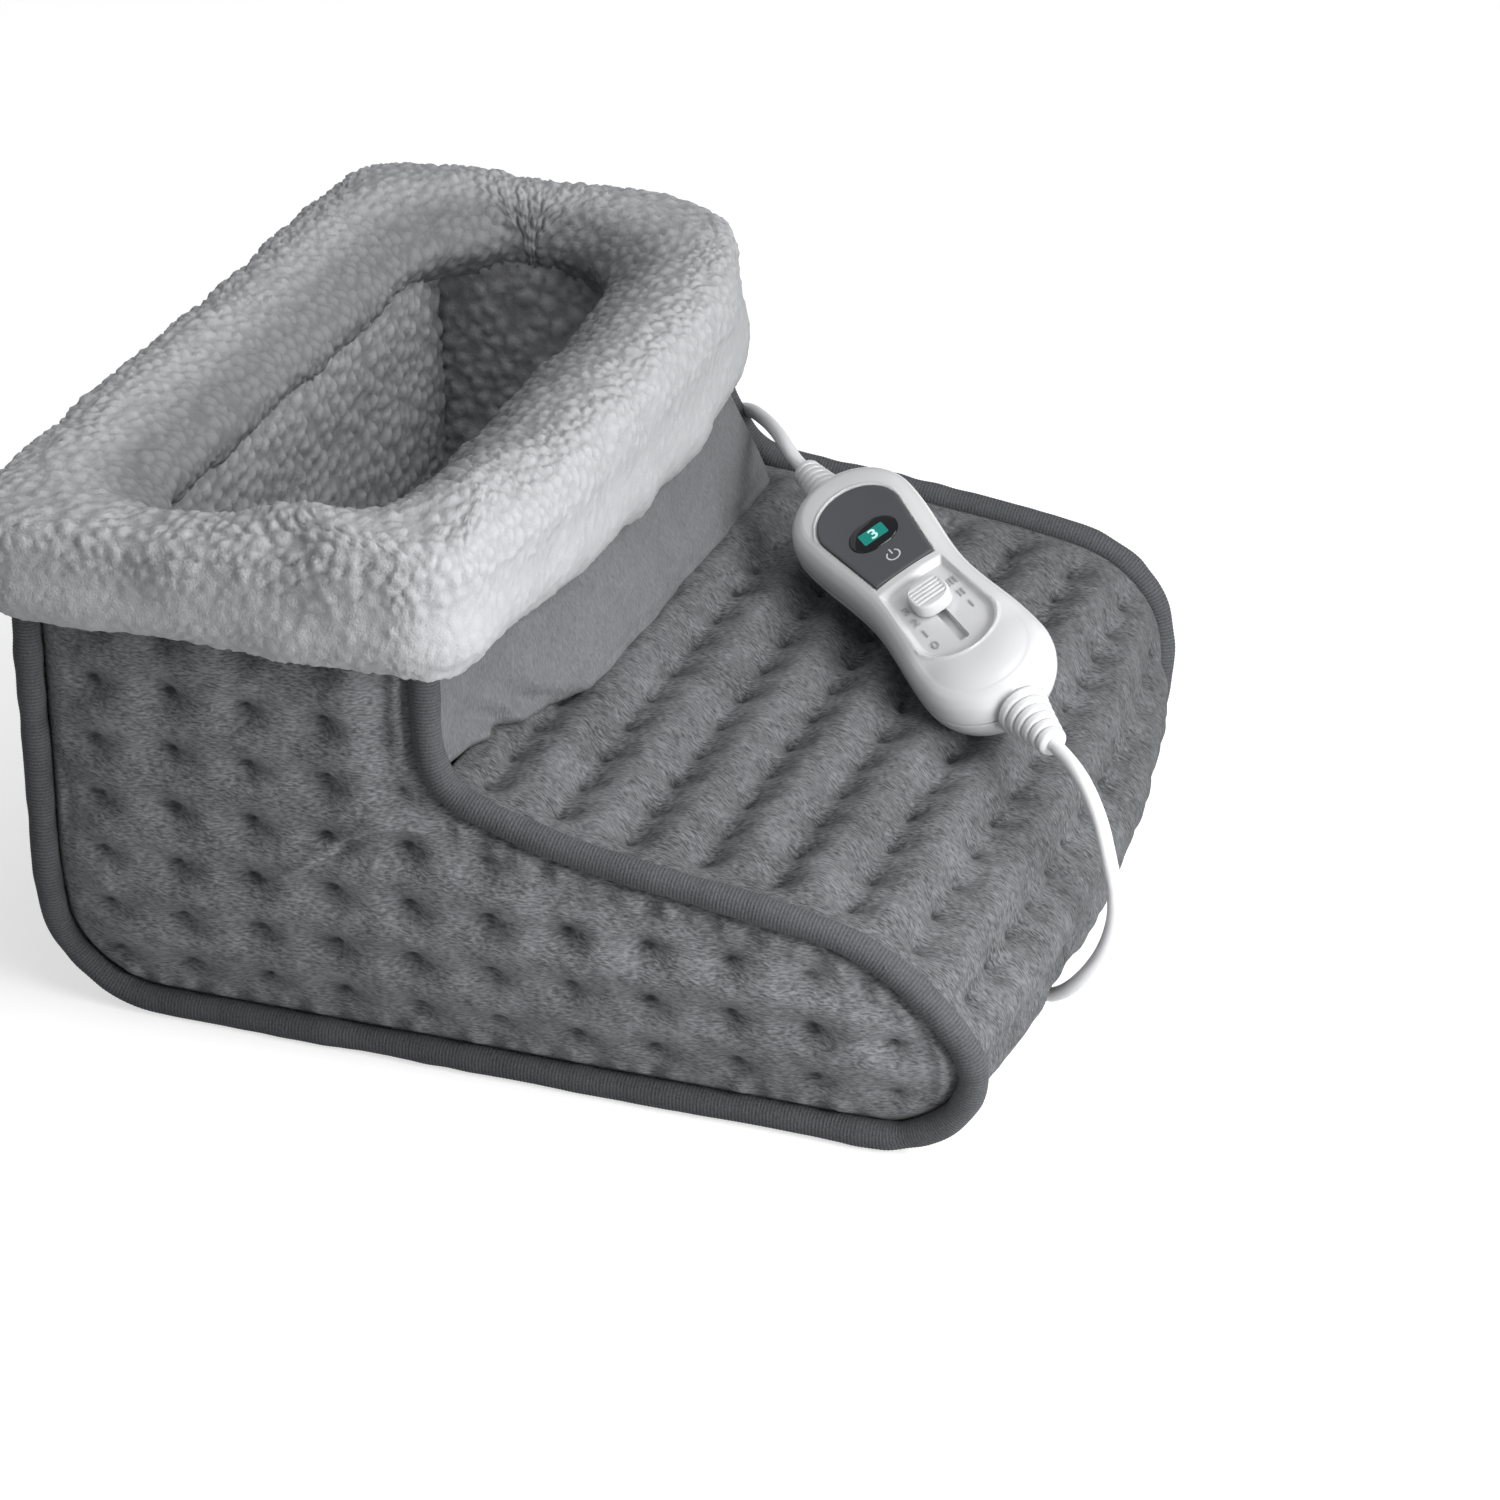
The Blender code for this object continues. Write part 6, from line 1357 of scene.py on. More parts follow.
class Controller:
    """The hand controller: shells, faceplate, window, display, marks, knob and strain reliefs."""

    def __init__(self, shape: ControllerShape, palette: Palette) -> None:
        """Keep the sizes, the finishes and the frame that the controller lies in."""
        self.shape = shape
        self.palette = palette
        self.turn = shape.frame()

    def build(self) -> None:
        """Make every piece of the controller."""
        self.top_shell()
        self.bottom_shell()
        self.faceplate()
        self.window()
        self.signs()
        self.knob()
        self.relief("lead_relief", "lead_strain_relief", 1, self.shape.end_in, *self.shape.lead_relief)
        self.relief("mains_relief", "mains_strain_relief", -1, self.shape.end_out, *self.shape.mains_relief)

    def wall(self, shares: tuple[tuple[float, float], ...], height: float, start: float) -> np.ndarray:
        """Rings of the shell's wall from the parting line to its flat, along the smoothed section.

        Args:
            shares: the section, as shares of the deck's inset and of the height.
            height: where the flat lies.
            start: where the parting line lies.

        Returns:
            Rings of points.
        """
        section = smooth_line(shares, 7)
        section[:, 1] = np.clip(section[:, 1], 0.0, 1.0)
        rings = []
        for across, up in section:
            flat = self.shape.outline(self.shape.deck_inset * max(across, 0.0))
            rings.append(at_height(flat, start + (height - start) * up))
        return np.array(rings)

    def deck_height(self, flat: np.ndarray) -> np.ndarray:
        """Height of the deck: flat, plus the rim, less pocket, recess and slot, falling as a power to its edge."""
        shape = self.shape
        x = flat[:, 0]
        rim = shape.rim_height * np.exp(-(outline_reach(flat, shape.rim_line()) / shape.rim_width) ** 2)
        pocket = shape.plate_thickness * smoothstep(outline_reach(flat, shape.plate_outline(0.0)) / 0.0003)
        width = 0.0006 + 0.0013 * smoothstep((x + shape.recess_end) / 0.009)
        recess = shape.recess_depth * smoothstep(outline_reach(flat, shape.recess_outline()) / width)
        slot = shape.slot_depth * smoothstep(outline_reach(flat, shape.slot_outline()) / shape.slot_edge)
        edge = outline_reach(flat, shape.outline(shape.deck_inset))
        dome = shape.fall(x) * (1 - np.clip(edge / shape.dome_reach, 0.0, 1.0)) ** shape.dome_power
        return shape.top + rim - pocket - recess - slot - dome

    def top_shell(self) -> None:
        """The glossy upper half: a wall of rings, and a deck with pocket, rim, recess and slot."""
        shape = self.shape
        rings = self.wall(shape.top_shares, shape.top, GAP / 2)
        rings[..., 2] *= 1 - shape.fall(rings[..., 0]) / shape.top
        outline, rim = rings[-1, :, :2], shape.rim_line()
        loops = [shape.slot_outline(), shape.slot_outline(-shape.slot_edge)]
        for offset in (-0.0008, -0.0004, 0.0, 0.0004, 0.0008):
            loops.append(inset_loop(rim, offset) if offset else rim)
        flat, faces = relief_patch(outline, [loop for loop in loops if outline_reach(loop, outline).min() > 0.0002],
                                   0.00055)
        deck = at_height(flat, self.deck_height(flat))
        deck[:len(outline), 2] = shape.top - shape.fall(outline[:, 0])
        self.shell("upper_shell", "controller_top_shell", rings, deck, faces)

    def bottom_shell(self) -> None:
        """The lower half: a rounded belly with a well for each screw's head."""
        shape = self.shape
        rings = self.wall(shape.belly_shares, -shape.bottom, -GAP / 2)
        angle = 2 * math.pi * np.arange(28) / 28
        wells = [arc((place, 0.0), radius, angle) for place in shape.screw_places
                 for radius in (shape.screw_well, shape.screw_well - 0.0003)]
        flat, faces = relief_patch(rings[-1, :, :2], wells, 0.0012)
        depth = np.zeros(len(flat))
        for place in shape.screw_places:
            away = np.hypot(flat[:, 0] - place, flat[:, 1])
            depth += (shape.screw_sink + 0.0004) * smoothstep((shape.screw_well - away) / 0.0003)
        self.shell("lower_shell", "controller_bottom_shell", rings, at_height(flat, -shape.bottom + depth), faces)

    def shell(self, name: str, node: str, rings: np.ndarray, patch: np.ndarray, faces: list) -> None:
        """A shell from its wall's rings and the patch over their last one, closed flat at the parting line.

        Args:
            name: the piece's name.
            node: the solid that it stands for.
            rings: its wall.
            patch: points of the deck or belly, the last ring's first.
            faces: the patch's triangles.
        """
        count, around = rings.shape[:2]
        quads = grid_faces(count, around, loop=True).tolist()
        quads += [[count * around + k for k in face] for face in faces] + [list(range(around))]
        make_piece(name, np.vstack([rings.reshape(-1, 3), patch]), quads, self.palette.shell,
                   Place("white_plastic", (node,)), sharp=42, turn=self.turn)

    def plate_body(self, outline: np.ndarray, inner: list[np.ndarray], spacing: float, height, low: float,
                   ) -> tuple[np.ndarray, list]:
        """A closed plate over an outline: its upper face at height(points), its lower face flat.

        Args:
            outline: closed outline.
            inner: loops that edges follow.
            spacing: step of the lattice.
            height: gives the height of each (x, y) point.
            low: where the lower face lies.

        Returns:
            Points and faces.
        """
        flat, faces = relief_patch(outline, inner, spacing)
        count, shift = len(outline), len(flat)
        verts = np.vstack([at_height(flat, height(flat)), at_height(outline, low)])
        quads = [list(face) for face in faces] + [list(range(shift, shift + count))]
        quads += [[k, (k + 1) % count, shift + (k + 1) % count, shift + k] for k in range(count)]
        return verts, quads

    def faceplate(self) -> None:
        """The satin grey plate: a softened edge and a pocket that the window lies in."""
        shape = self.shape
        outline = shape.plate_outline(GAP)
        window = self.window_outline(0.0002)
        edge = inset_loop(outline, 0.0004)

        def height(flat: np.ndarray) -> np.ndarray:
            """Full height, less the rounded edge and the pocket."""
            edge_drop = 0.00025 * (1 - smoothstep(outline_reach(flat, outline) / 0.0004))
            pocket = 0.0005 * smoothstep(outline_reach(flat, window) / 0.0002)
            return shape.top + shape.plate_lift - edge_drop - pocket

        verts, faces = self.plate_body(outline, [edge, window, self.window_outline(0.0)], 0.0010, height,
                                       shape.top - shape.plate_thickness)
        make_piece("grey_faceplate", verts, faces, self.palette.face, Place("faceplate_grey", ("faceplate",)),
                   sharp=35, turn=self.turn)

    def window_outline(self, grow: float) -> np.ndarray:
        """The window: a bar with round ends, long across the controller."""
        shape = self.shape
        radius = shape.window_width / 2 - GAP + grow
        middle = shape.window_length / 2 - shape.window_width / 2
        upper = arc((0.0, middle), radius, np.linspace(0.0, math.pi, 26))
        return np.vstack([upper, -upper]) + np.array((shape.window_centre, 0.0))

    def window(self) -> None:
        """The black window, its edge rounded, and the lit display with its digit on it."""
        shape = self.shape
        top = shape.top + 0.00055
        levels = ((1.0, shape.top - 0.0003), (1.0, top - 0.0003), (0.985, top - 0.0001), (0.95, top), (0.5, top))
        centre = np.array((shape.window_centre, 0.0))
        ring = self.window_outline(0.0) - centre
        verts, faces = lofted(np.array([at_height(centre + ring * scale, high) for scale, high in levels]))
        make_piece("black_window", verts, faces, self.palette.window, Place("window_black", ("display_window",)),
                   sharp=50, turn=self.turn)
        lit = tile_outline(0.0057, 0.0091, 0.0005)
        self.flat_piece("display_glow", lit + centre, top, 0.00004, self.palette.display, "lcd")
        self.lettering("display_digit", "3", (shape.window_centre + 0.0001, 0.0), top + 0.00004, 0.0062,
                       self.palette.digit, "lcd", 0.00003, bold=0.00012)

    def flat_piece(self, name: str, outline: np.ndarray, low: float, thick: float, finish: bpy.types.Material,
                   slot: str) -> bpy.types.Object:
        """A thin closed tile over an outline."""
        verts, faces = lofted(np.array([at_height(outline, low + high) for high in (-TILE_ROOT, thick)]))
        return make_piece(name, verts, faces, finish, Place(slot), sharp=30, turn=self.turn)

    def lettering(self, name: str, words: str, place: tuple[float, float], low: float, size: float,
                  finish: bpy.types.Material, slot: str, thick: float, bold: float = 0.0) -> bpy.types.Object:
        """Plain figures that stand on the deck, read with +x up, made a mesh before they are placed.

        Args:
            name: the piece's name.
            words: the figures.
            place: (x, y) of their middle.
            low: height that they stand on.
            size: size of the type.
            finish: their material.
            slot: their record slot.
            thick: how far they stand up.
            bold: how much wider their strokes are.

        Returns:
            The piece.
        """
        curve = bpy.data.curves.new(name, "FONT")
        curve.body = words
        curve.size = size
        curve.extrude = thick
        curve.offset = bold
        curve.resolution_u = 6
        curve.align_x = curve.align_y = "CENTER"
        source = bpy.data.objects.new(name + "_type", curve)
        bpy.context.scene.collection.objects.link(source)
        bpy.context.view_layer.update()
        mesh = bpy.data.meshes.new_from_object(source.evaluated_get(bpy.context.evaluated_depsgraph_get()))
        bpy.data.objects.remove(source)
        points = np.array([v.co for v in mesh.vertices])
        points[:, :2] -= (points[:, :2].min(0) + points[:, :2].max(0)) / 2
        verts = np.column_stack([place[0] + points[:, 1], place[1] - points[:, 0], low + points[:, 2]])
        faces = [tuple(p.vertices) for p in mesh.polygons]
        bpy.data.meshes.remove(mesh)
        return make_piece(name, verts, faces, finish, Place(slot), sharp=30, turn=self.turn)

    def signs(self) -> None:
        """Steps 0 to 3 on one side of the slot, level bars on the other, and a power sign on the faceplate."""
        shape, floor = self.shape, self.shape.top - self.shape.recess_depth
        for step, x in enumerate((-0.0341, -0.0275, -0.0208, -0.0142)):
            self.lettering(f"step_{step}", str(step), (x, 0.0086), floor, 0.0050, self.palette.mark, "white_plastic",
                           0.00010, 0.00006)
            for bar in range(step):
                shift = (bar - (step - 1) / 2) * 0.00135
                outline = tile_outline(0.0036, 0.00060, 0.0002) + np.array((x, -0.0089 + shift))
                self.flat_piece(f"level_{step}_bar_{bar}", outline, floor, 0.00010, self.palette.mark, "white_plastic")
        top = shape.top + shape.plate_lift
        centre = np.array((0.0083, -0.0004))
        angle = np.linspace(0.62, 2 * math.pi - 0.62, 40)
        outer, inner = 0.00245, 0.00197
        ring = np.vstack([arc((0.0, 0.0), outer, angle), arc((0.0, 0.0), inner, angle)[::-1]])
        self.band_tile("power_ring", ring + centre, top)
        bar = tile_outline(0.0026, 0.00050, 0.0002) + centre + np.array((0.0019, 0.0))
        self.flat_piece("power_bar", bar, top, 0.00003, self.palette.sign, "faceplate_grey")

    def band_tile(self, name: str, outline: np.ndarray, low: float) -> bpy.types.Object:
        """A thin tile over a ring's outline, its outer line stored first and its inner line back again."""
        half = len(outline) // 2
        quads = [[k, k + 1, 2 * half - 2 - k, 2 * half - 1 - k] for k in range(half - 1)]
        count = len(outline)
        verts = np.vstack([at_height(outline, low + high) for high in (0.00003, -TILE_ROOT)])
        faces = quads + [[count + k for k in quad[::-1]] for quad in quads]
        faces += [[k, (k + 1) % count, count + (k + 1) % count, count + k] for k in range(count)]
        return make_piece(name, verts, faces, self.palette.sign, Place("faceplate_grey"), sharp=30,
                          turn=self.turn)

    def knob(self) -> None:
        """The knob: a squared oval carried up its side, and a crowned top with grip grooves across."""
        shape = self.shape
        angle = 2 * math.pi * np.arange(96) / 96
        square = 0.78
        ring = np.stack([shape.knob_length / 2 * np.sign(np.cos(angle)) * np.abs(np.cos(angle)) ** square,
                         shape.knob_width / 2 * np.sign(np.sin(angle)) * np.abs(np.sin(angle)) ** square], -1)
        side = smooth_line(((0.94, 0.0), (1.0, 0.12), (1.0, 0.55), (0.975, 0.82), (0.90, 0.96)), 6)
        inner = np.linspace(0.885, 0.02, 34)
        scales = np.concatenate([side[:, 0], inner])
        heights = np.concatenate([side[:, 1] * shape.knob_height,
                                  shape.knob_height * (0.96 + 0.04 * (1 - (inner / 0.885) ** 2))])
        flat = ring[None] * scales[:, None, None]
        pitch = shape.knob_length * 0.78 / (shape.knob_ribs + 1)
        offset = flat[..., 0] / pitch
        nearest = np.clip(np.round(offset), -(shape.knob_ribs // 2), shape.knob_ribs // 2)
        rib = -shape.knob_rib_height * np.exp(-((offset - nearest) / 0.17) ** 2)
        across = np.abs(flat[..., 1]) / (shape.knob_width * 0.39)
        rib = rib * (1 - smoothstep((across - 0.88) / 0.2)) * smoothstep((0.9 - scales) / 0.08)[:, None]
        low = shape.top - shape.recess_depth + GAP
        rings = np.concatenate([flat, (low + heights[:, None] + rib)[..., None]], -1)
        rings[..., 0] -= shape.knob_rest
        verts, faces = lofted(rings)
        make_piece("slide_knob", verts, faces, self.palette.shell,
                   Place("white_plastic", ("slider_knob",), SLIDER_BODY), sharp=60, turn=self.turn)
        stem = tile_outline(shape.stem, shape.stem, 0.0004) - np.array((shape.knob_rest, 0.0))
        verts, faces = lofted(np.array([at_height(stem, high) for high in (0.0048, low + 0.002)]))
        make_piece("knob_stem", verts, faces, self.palette.shell, Place("white_plastic", (), SLIDER_BODY),
                   sharp=40, turn=self.turn)

    def relief(self, name: str, node: str, way: int, end: float, base: float, length: float, ribs: int) -> None:
        """A ribbed strain relief: stacked rounded rings that taper to the cord, on a neck inside the shell."""
        profile = ribbed_profile(end + GAP, base, 0.0046, length, ribs, 0.0010)
        neck = [(end - 0.0088, 0.0050), (end - 0.0068, 0.0050), (end - 0.0068, 0.0040), (end + GAP, 0.0040)]
        verts, faces = turned(np.vstack([neck, profile]), 48)
        verts[:, 0] *= way
        make_piece(name, verts, faces, self.palette.shell, Place("white_plastic", (node,)), sharp=40,
                   turn=self.turn)


def ribbed_profile(start: float, base: float, tip: float, length: float, ribs: int, groove: float) -> np.ndarray:
    """Profile of stacked rings: the taper's radius, less a groove between two that deepens as a power.

    Args:
        start: where the rings begin along the axis.
        base: radius at the start.
        tip: radius at the end.
        length: length of the taper.
        ribs: number of rings.
        groove: depth between two rings.

    Returns:
        (along, radius) rows.
    """
    share = np.linspace(0.0, 1.0, ribs * 14 + 1)
    taper = base + (tip - base) * share ** 0.8
    phase = np.abs(2 * np.modf(share * ribs)[0] - 1)
    cut = np.clip((phase - 0.35) / 0.65, 0.0, 1.0) ** 2.5
    return np.stack([start + share * length, np.maximum(taper - groove * cut, 0.0029)], -1)


# Cords

LEAD_ROUTE = (
    (0.1060, 0.1784, 0.0150), (0.1075, 0.1864, 0.0085), (0.1120, 0.1974, 0.0040), (0.1215, 0.2069, 0.0025),
    (0.1345, 0.2104, 0.0025), (0.1470, 0.2064, 0.0025), (0.1560, 0.1954, 0.0025), (0.1600, 0.1804, 0.0025),
    (0.1610, 0.1620, 0.0025), (0.1610, 0.1450, 0.0025), (0.1608, 0.1200, 0.0025), (0.1606, 0.0950, 0.0025),
    (0.1600, 0.0780, 0.0030), (0.1592, 0.0640, 0.0065), (0.1580, 0.0520, 0.0150), (0.1570, 0.0430, 0.0280),
    (0.1560, 0.0360, 0.0440), (0.1560, 0.0315, 0.0620), (0.1570, 0.0285, 0.0790), (0.1580, 0.0258, 0.0908),
    (0.1570, 0.0240, 0.0960), (0.1535, 0.0205, 0.1006), (0.1475, 0.0158, 0.1046), (0.1390, 0.0098, 0.1085),
    (0.1280, 0.0027, 0.1120), (0.1155, -0.0049, 0.1155), (0.1040, -0.0121, 0.1175), (0.0945, -0.0180, 0.1182))
MAINS_ROUTE = (
    (-0.0430, -0.1587, 0.0902), (-0.0485, -0.1640, 0.0870), (-0.0545, -0.1697, 0.0805), (-0.0580, -0.1735, 0.0715),
    (-0.0572, -0.1757, 0.0590), (-0.0530, -0.1745, 0.0450), (-0.0495, -0.1705, 0.0320), (-0.0465, -0.1640, 0.0205),
    (-0.0420, -0.1570, 0.0115), (-0.0350, -0.1495, 0.0050), (-0.0240, -0.1435, 0.0025), (-0.0080, -0.1415, 0.0025),
    (0.0150, -0.1405, 0.0025), (0.0400, -0.1400, 0.0025), (0.0650, -0.1395, 0.0025), (0.0900, -0.1390, 0.0025),
    (0.1130, -0.1390, 0.0025), (0.1320, -0.1360, 0.0025), (0.1460, -0.1240, 0.0025), (0.1535, -0.1050, 0.0025),
    (0.1575, -0.0800, 0.0025), (0.1600, -0.0500, 0.0025), (0.1645, -0.0220, 0.0025), (0.1700, 0.0050, 0.0025),
    (0.1735, 0.0270, 0.0030))
TAIL_ROUTE = ((0.2520, 0.0380, 0.0068), (0.2500, 0.0250, 0.0046), (0.2460, 0.0125, 0.0046))


@dataclass(frozen=True)
class Cords:
    """The lead, the mains cord with its put-away coil, its strap and its plug."""

    palette: Palette
    radius: float = 0.0024
    lead_exit: tuple[float, float, float] = (0.106, 0.1607, 0.014)
    gland_face: float = 0.1384
    gland_length: float = 0.022
    coil_centre: tuple[float, float] = (0.213, 0.062)
    coil_inner: float = 0.0195
    coil_pitch: float = 0.0053
    coil_turns: float = 3.5
    tie_width: float = 0.008
    tie_thickness: float = 0.0012
    plug_length: float = 0.036
    plug_width: float = 0.0255
    plug_height: float = 0.0135
    plug_relief: float = 0.020
    plug_place: tuple[float, float] = (0.2150, -0.0420)
    plug_heading: float = -118.0
    pin_radius: float = 0.0020
    pin_length: float = 0.0190
    pin_spacing: float = 0.0186
    pin_root: float = 0.006
    plug_shares: tuple[tuple[float, float, float], ...] = (
        (-0.5, 0.62, 0.84), (-0.40, 0.70, 0.90), (-0.16, 0.74, 0.92), (0.14, 0.95, 1.0), (0.5, 1.0, 1.0))

    def build(self, controller: Matrix, end_in: float, end_out: float) -> None:
        """Make the cords from where they leave the boot and the controller.

        Args:
            controller: the controller's frame.
            end_in: where the lead's strain relief ends, along the controller.
            end_out: where the mains cord's strain relief ends.
        """
        straight = 3 * self.radius
        start = np.array(self.lead_exit)
        lead_end = np.array(controller @ Vector((end_in + GAP, 0, 0)))
        lead_way = np.array(controller.to_3x3() @ Vector((1, 0, 0)))
        lead = np.vstack([[start, start + (0, straight / 2, 0)], LEAD_ROUTE,
                          [lead_end + lead_way * straight, lead_end]])
        points = self.eased(lead)
        piece = self.tube("controller_lead", points, ("lead_cord",))

        mains_start = np.array(controller @ Vector((-end_out - GAP, 0, 0)))
        coil = self.coil_points()
        mains = np.vstack([[mains_start, mains_start - lead_way * straight], MAINS_ROUTE,
                           [coil[0] - (0.0, straight, 0.0), coil[0]]])
        middle, heading, _ = self.plug_axis()
        plug_end = middle - heading * (self.plug_length / 2 + self.plug_relief + 2 * GAP)
        tail = np.vstack([[coil[-1], coil[-1] + unit(coil[-1] - coil[-2]) * straight], TAIL_ROUTE,
                          [plug_end - heading * straight, plug_end]])
        points = np.vstack([self.eased(mains)[:-1], coil, self.eased(tail)[1:]])
        piece = self.tube("mains_lead", points, ("mains_cord", "mains_cord_coil", "mains_cord_tail"))
        pieces = [self.strap(), self.plug(), self.plug_boot(), *self.pins()]
        self.gland()

    def eased(self, route: np.ndarray) -> np.ndarray:
        """The smooth curve through a route at even steps, straight for two radii at both ends."""
        fine = smooth_line(route, 12)
        stub = 2 * self.radius
        length = marks_of(fine)[-1]
        places = spread(fine, np.linspace(stub, length - stub, round(length / 0.0030)))
        for end, towards in ((0, 1), (-1, -2)):
            places[end] = route[end] + unit(route[towards] - route[end]) * stub
        return np.vstack([route[:1], places, route[-1:]])

    def coil_points(self) -> np.ndarray:
        """The put-away cord: spiralling in on the floor, up a layer in half a turn, and out again on top."""
        floor_z = self.tie_thickness + GAP + self.radius
        whole = 2 * self.coil_turns + 0.5
        turns = np.linspace(0.0, whole, round(whole * 48) + 1)
        inward = np.minimum(turns, whole - turns)
        radius = self.coil_inner + self.coil_pitch * (self.coil_turns - inward)
        angle = math.pi - 2 * math.pi * turns
        return at_height(arc(self.coil_centre, radius, angle),
                         floor_z + self.coil_pitch * smoothstep((turns - self.coil_turns) / 0.5))

    def tube(self, name: str, points: np.ndarray, nodes: tuple[str, ...]) -> bpy.types.Object:
        """A round cord along points, as one open curve with filled ends."""
        curve = bpy.data.curves.new(name, "CURVE")
        curve.dimensions = "3D"
        line = curve.splines.new("POLY")
        line.points.add(len(points) - 1)
        line.points.foreach_set("co", np.column_stack([points, np.ones(len(points))]).ravel())
        curve.bevel_depth = self.radius
        curve.bevel_resolution = 5
        curve.use_fill_caps = True
        line.use_smooth = True
        item = bpy.data.objects.new(name, curve)
        bpy.context.scene.collection.objects.link(item)
        settle_piece(item, self.palette.cord, Place("cord_jacket", nodes))
        LOG.info("%s: %.3f m", name, marks_of(points)[-1])
        return item

    def strap(self) -> bpy.types.Object:
        """The strap round the coil: a rounded loop in the plane across the turns, its band flat."""
        quarter = self.coil_pitch / 4
        nearest = self.coil_inner + quarter - self.radius
        low_y = math.sqrt(nearest ** 2 - (self.tie_width / 2) ** 2) - GAP
        high_y = self.coil_inner + self.coil_pitch * self.coil_turns - quarter + self.radius + GAP
        low_z, high_z = self.tie_thickness, self.tie_thickness + 2 * GAP + 2 * self.radius + self.coil_pitch
        x, y = self.coil_centre
        thick = self.tie_thickness
        inner = rounded((low_y, low_z), (high_y, high_z), 0.0004, 7)
        outer = rounded((low_y - thick, low_z - thick), (high_y + thick, high_z + thick), 0.0014, 7)
        half = self.tie_width / 2
        rings = np.stack([np.column_stack([np.full(len(line), x + across), line[:, 0] + y, line[:, 1]])
                          for line, across in ((inner, -half), (inner, half), (outer, half), (outer, -half))], 1)
        count = len(inner)
        return make_piece("coil_strap", rings.reshape(-1, 3), grid_faces(count, 4, loop=True, closed=True),
                          self.palette.binding,
                          Place("ribbed_binding", ("coil_tie",)), {"rib": np.full(count * 4, 0.4)},
                          sharp=40)

    def plug_axis(self) -> tuple[np.ndarray, np.ndarray, np.ndarray]:
        """Middle of the plug, the way that its pins point, and the way from pin to pin."""
        turn = math.radians(self.plug_heading)
        heading = np.array((math.cos(turn), math.sin(turn), 0.0))
        return np.array((*self.plug_place, self.plug_height / 2)), heading, np.array((-heading[1], heading[0], 0.0))

    def plug(self) -> bpy.types.Object:
        """The plug's flat body: a bar with round sides, lofted through its widths."""
        middle, heading, across = self.plug_axis()
        section = smooth_line(self.plug_shares, 6)
        rings = []
        for along, wide, tall in section:
            squeeze = np.interp(abs(along), (0.44, 0.48, 0.5), (1.0, 0.985, 0.93))
            half_long, half_wide = self.plug_width * wide / 2 * squeeze, self.plug_height * tall / 2 * squeeze
            cap = arc((half_long - half_wide, 0.0), half_wide, np.linspace(-math.pi / 2, math.pi / 2, 16))
            outline = np.vstack([cap, -cap])
            place = middle + heading * along * self.plug_length
            rings.append(place + across * outline[:, :1] + np.array((0, 0, 1.0)) * outline[:, 1:])
        verts, faces = lofted(np.array(rings))
        return make_piece("plug_moulding", verts, faces, self.palette.cord, Place("cord_jacket", ("plug_body",)),
                          sharp=50)

    def along_axis(self, origin: np.ndarray, way: np.ndarray) -> Matrix:
        """Matrix that lays the x axis along a way from a point."""
        turn = Vector((1.0, 0.0, 0.0)).rotation_difference(Vector(way)).to_matrix().to_4x4()
        return Matrix.Translation(Vector(origin)) @ turn

    def plug_boot(self) -> bpy.types.Object:
        """The plug's own strain relief."""
        middle, heading, _ = self.plug_axis()
        profile = ribbed_profile(self.plug_length / 2 + GAP, 0.0052, 0.0040, self.plug_relief, 4, 0.0009)
        verts, faces = turned(profile, 40)
        return make_piece("plug_relief", verts, faces, self.palette.cord,
                          Place("cord_jacket", ("plug_strain_relief",)), sharp=40,
                          turn=self.along_axis(middle, -heading))

    def pins(self) -> list[bpy.types.Object]:
        """The two round pins, their tips rounded."""
        middle, heading, across = self.plug_axis()
        length, radius = self.pin_root + self.pin_length, self.pin_radius
        angle = np.linspace(0.0, math.pi / 2, 8)
        tip = np.stack([length - radius + radius * np.sin(angle), radius * np.cos(angle) + 0.00002], -1)
        made = []
        for number, side in ((1, -1), (2, 1)):
            root = middle + heading * (self.plug_length / 2 - self.pin_root) + across * side * self.pin_spacing / 2
            verts, faces = turned(np.vstack([[(0.0, radius)], tip]), 36)
            made.append(make_piece(f"round_pin_{number}", verts, faces, self.palette.steel,
                                   Place("steel", (f"plug_pin_{number}",)), sharp=40,
                                   turn=self.along_axis(root, heading)))
        return made

    def gland(self) -> None:
        """The strain relief sewn through the heel: a smooth sleeve inside, rounded rings outside."""
        face = self.gland_face
        profile = ribbed_profile(face, 0.0053, 0.0036, self.gland_length, 4, 0.0011)
        verts, faces = turned(np.vstack([[(face - 0.027, 0.0046), (face, 0.0046)], profile]), 40)
        make_piece("heel_gland", verts, faces, self.palette.shell, Place("white_plastic", ("lead_gland",)),
                   sharp=40, turn=self.along_axis(np.array((self.lead_exit[0], 0.0, self.lead_exit[2])),
                                                                np.array((0.0, 1.0, 0.0))))


# Studio

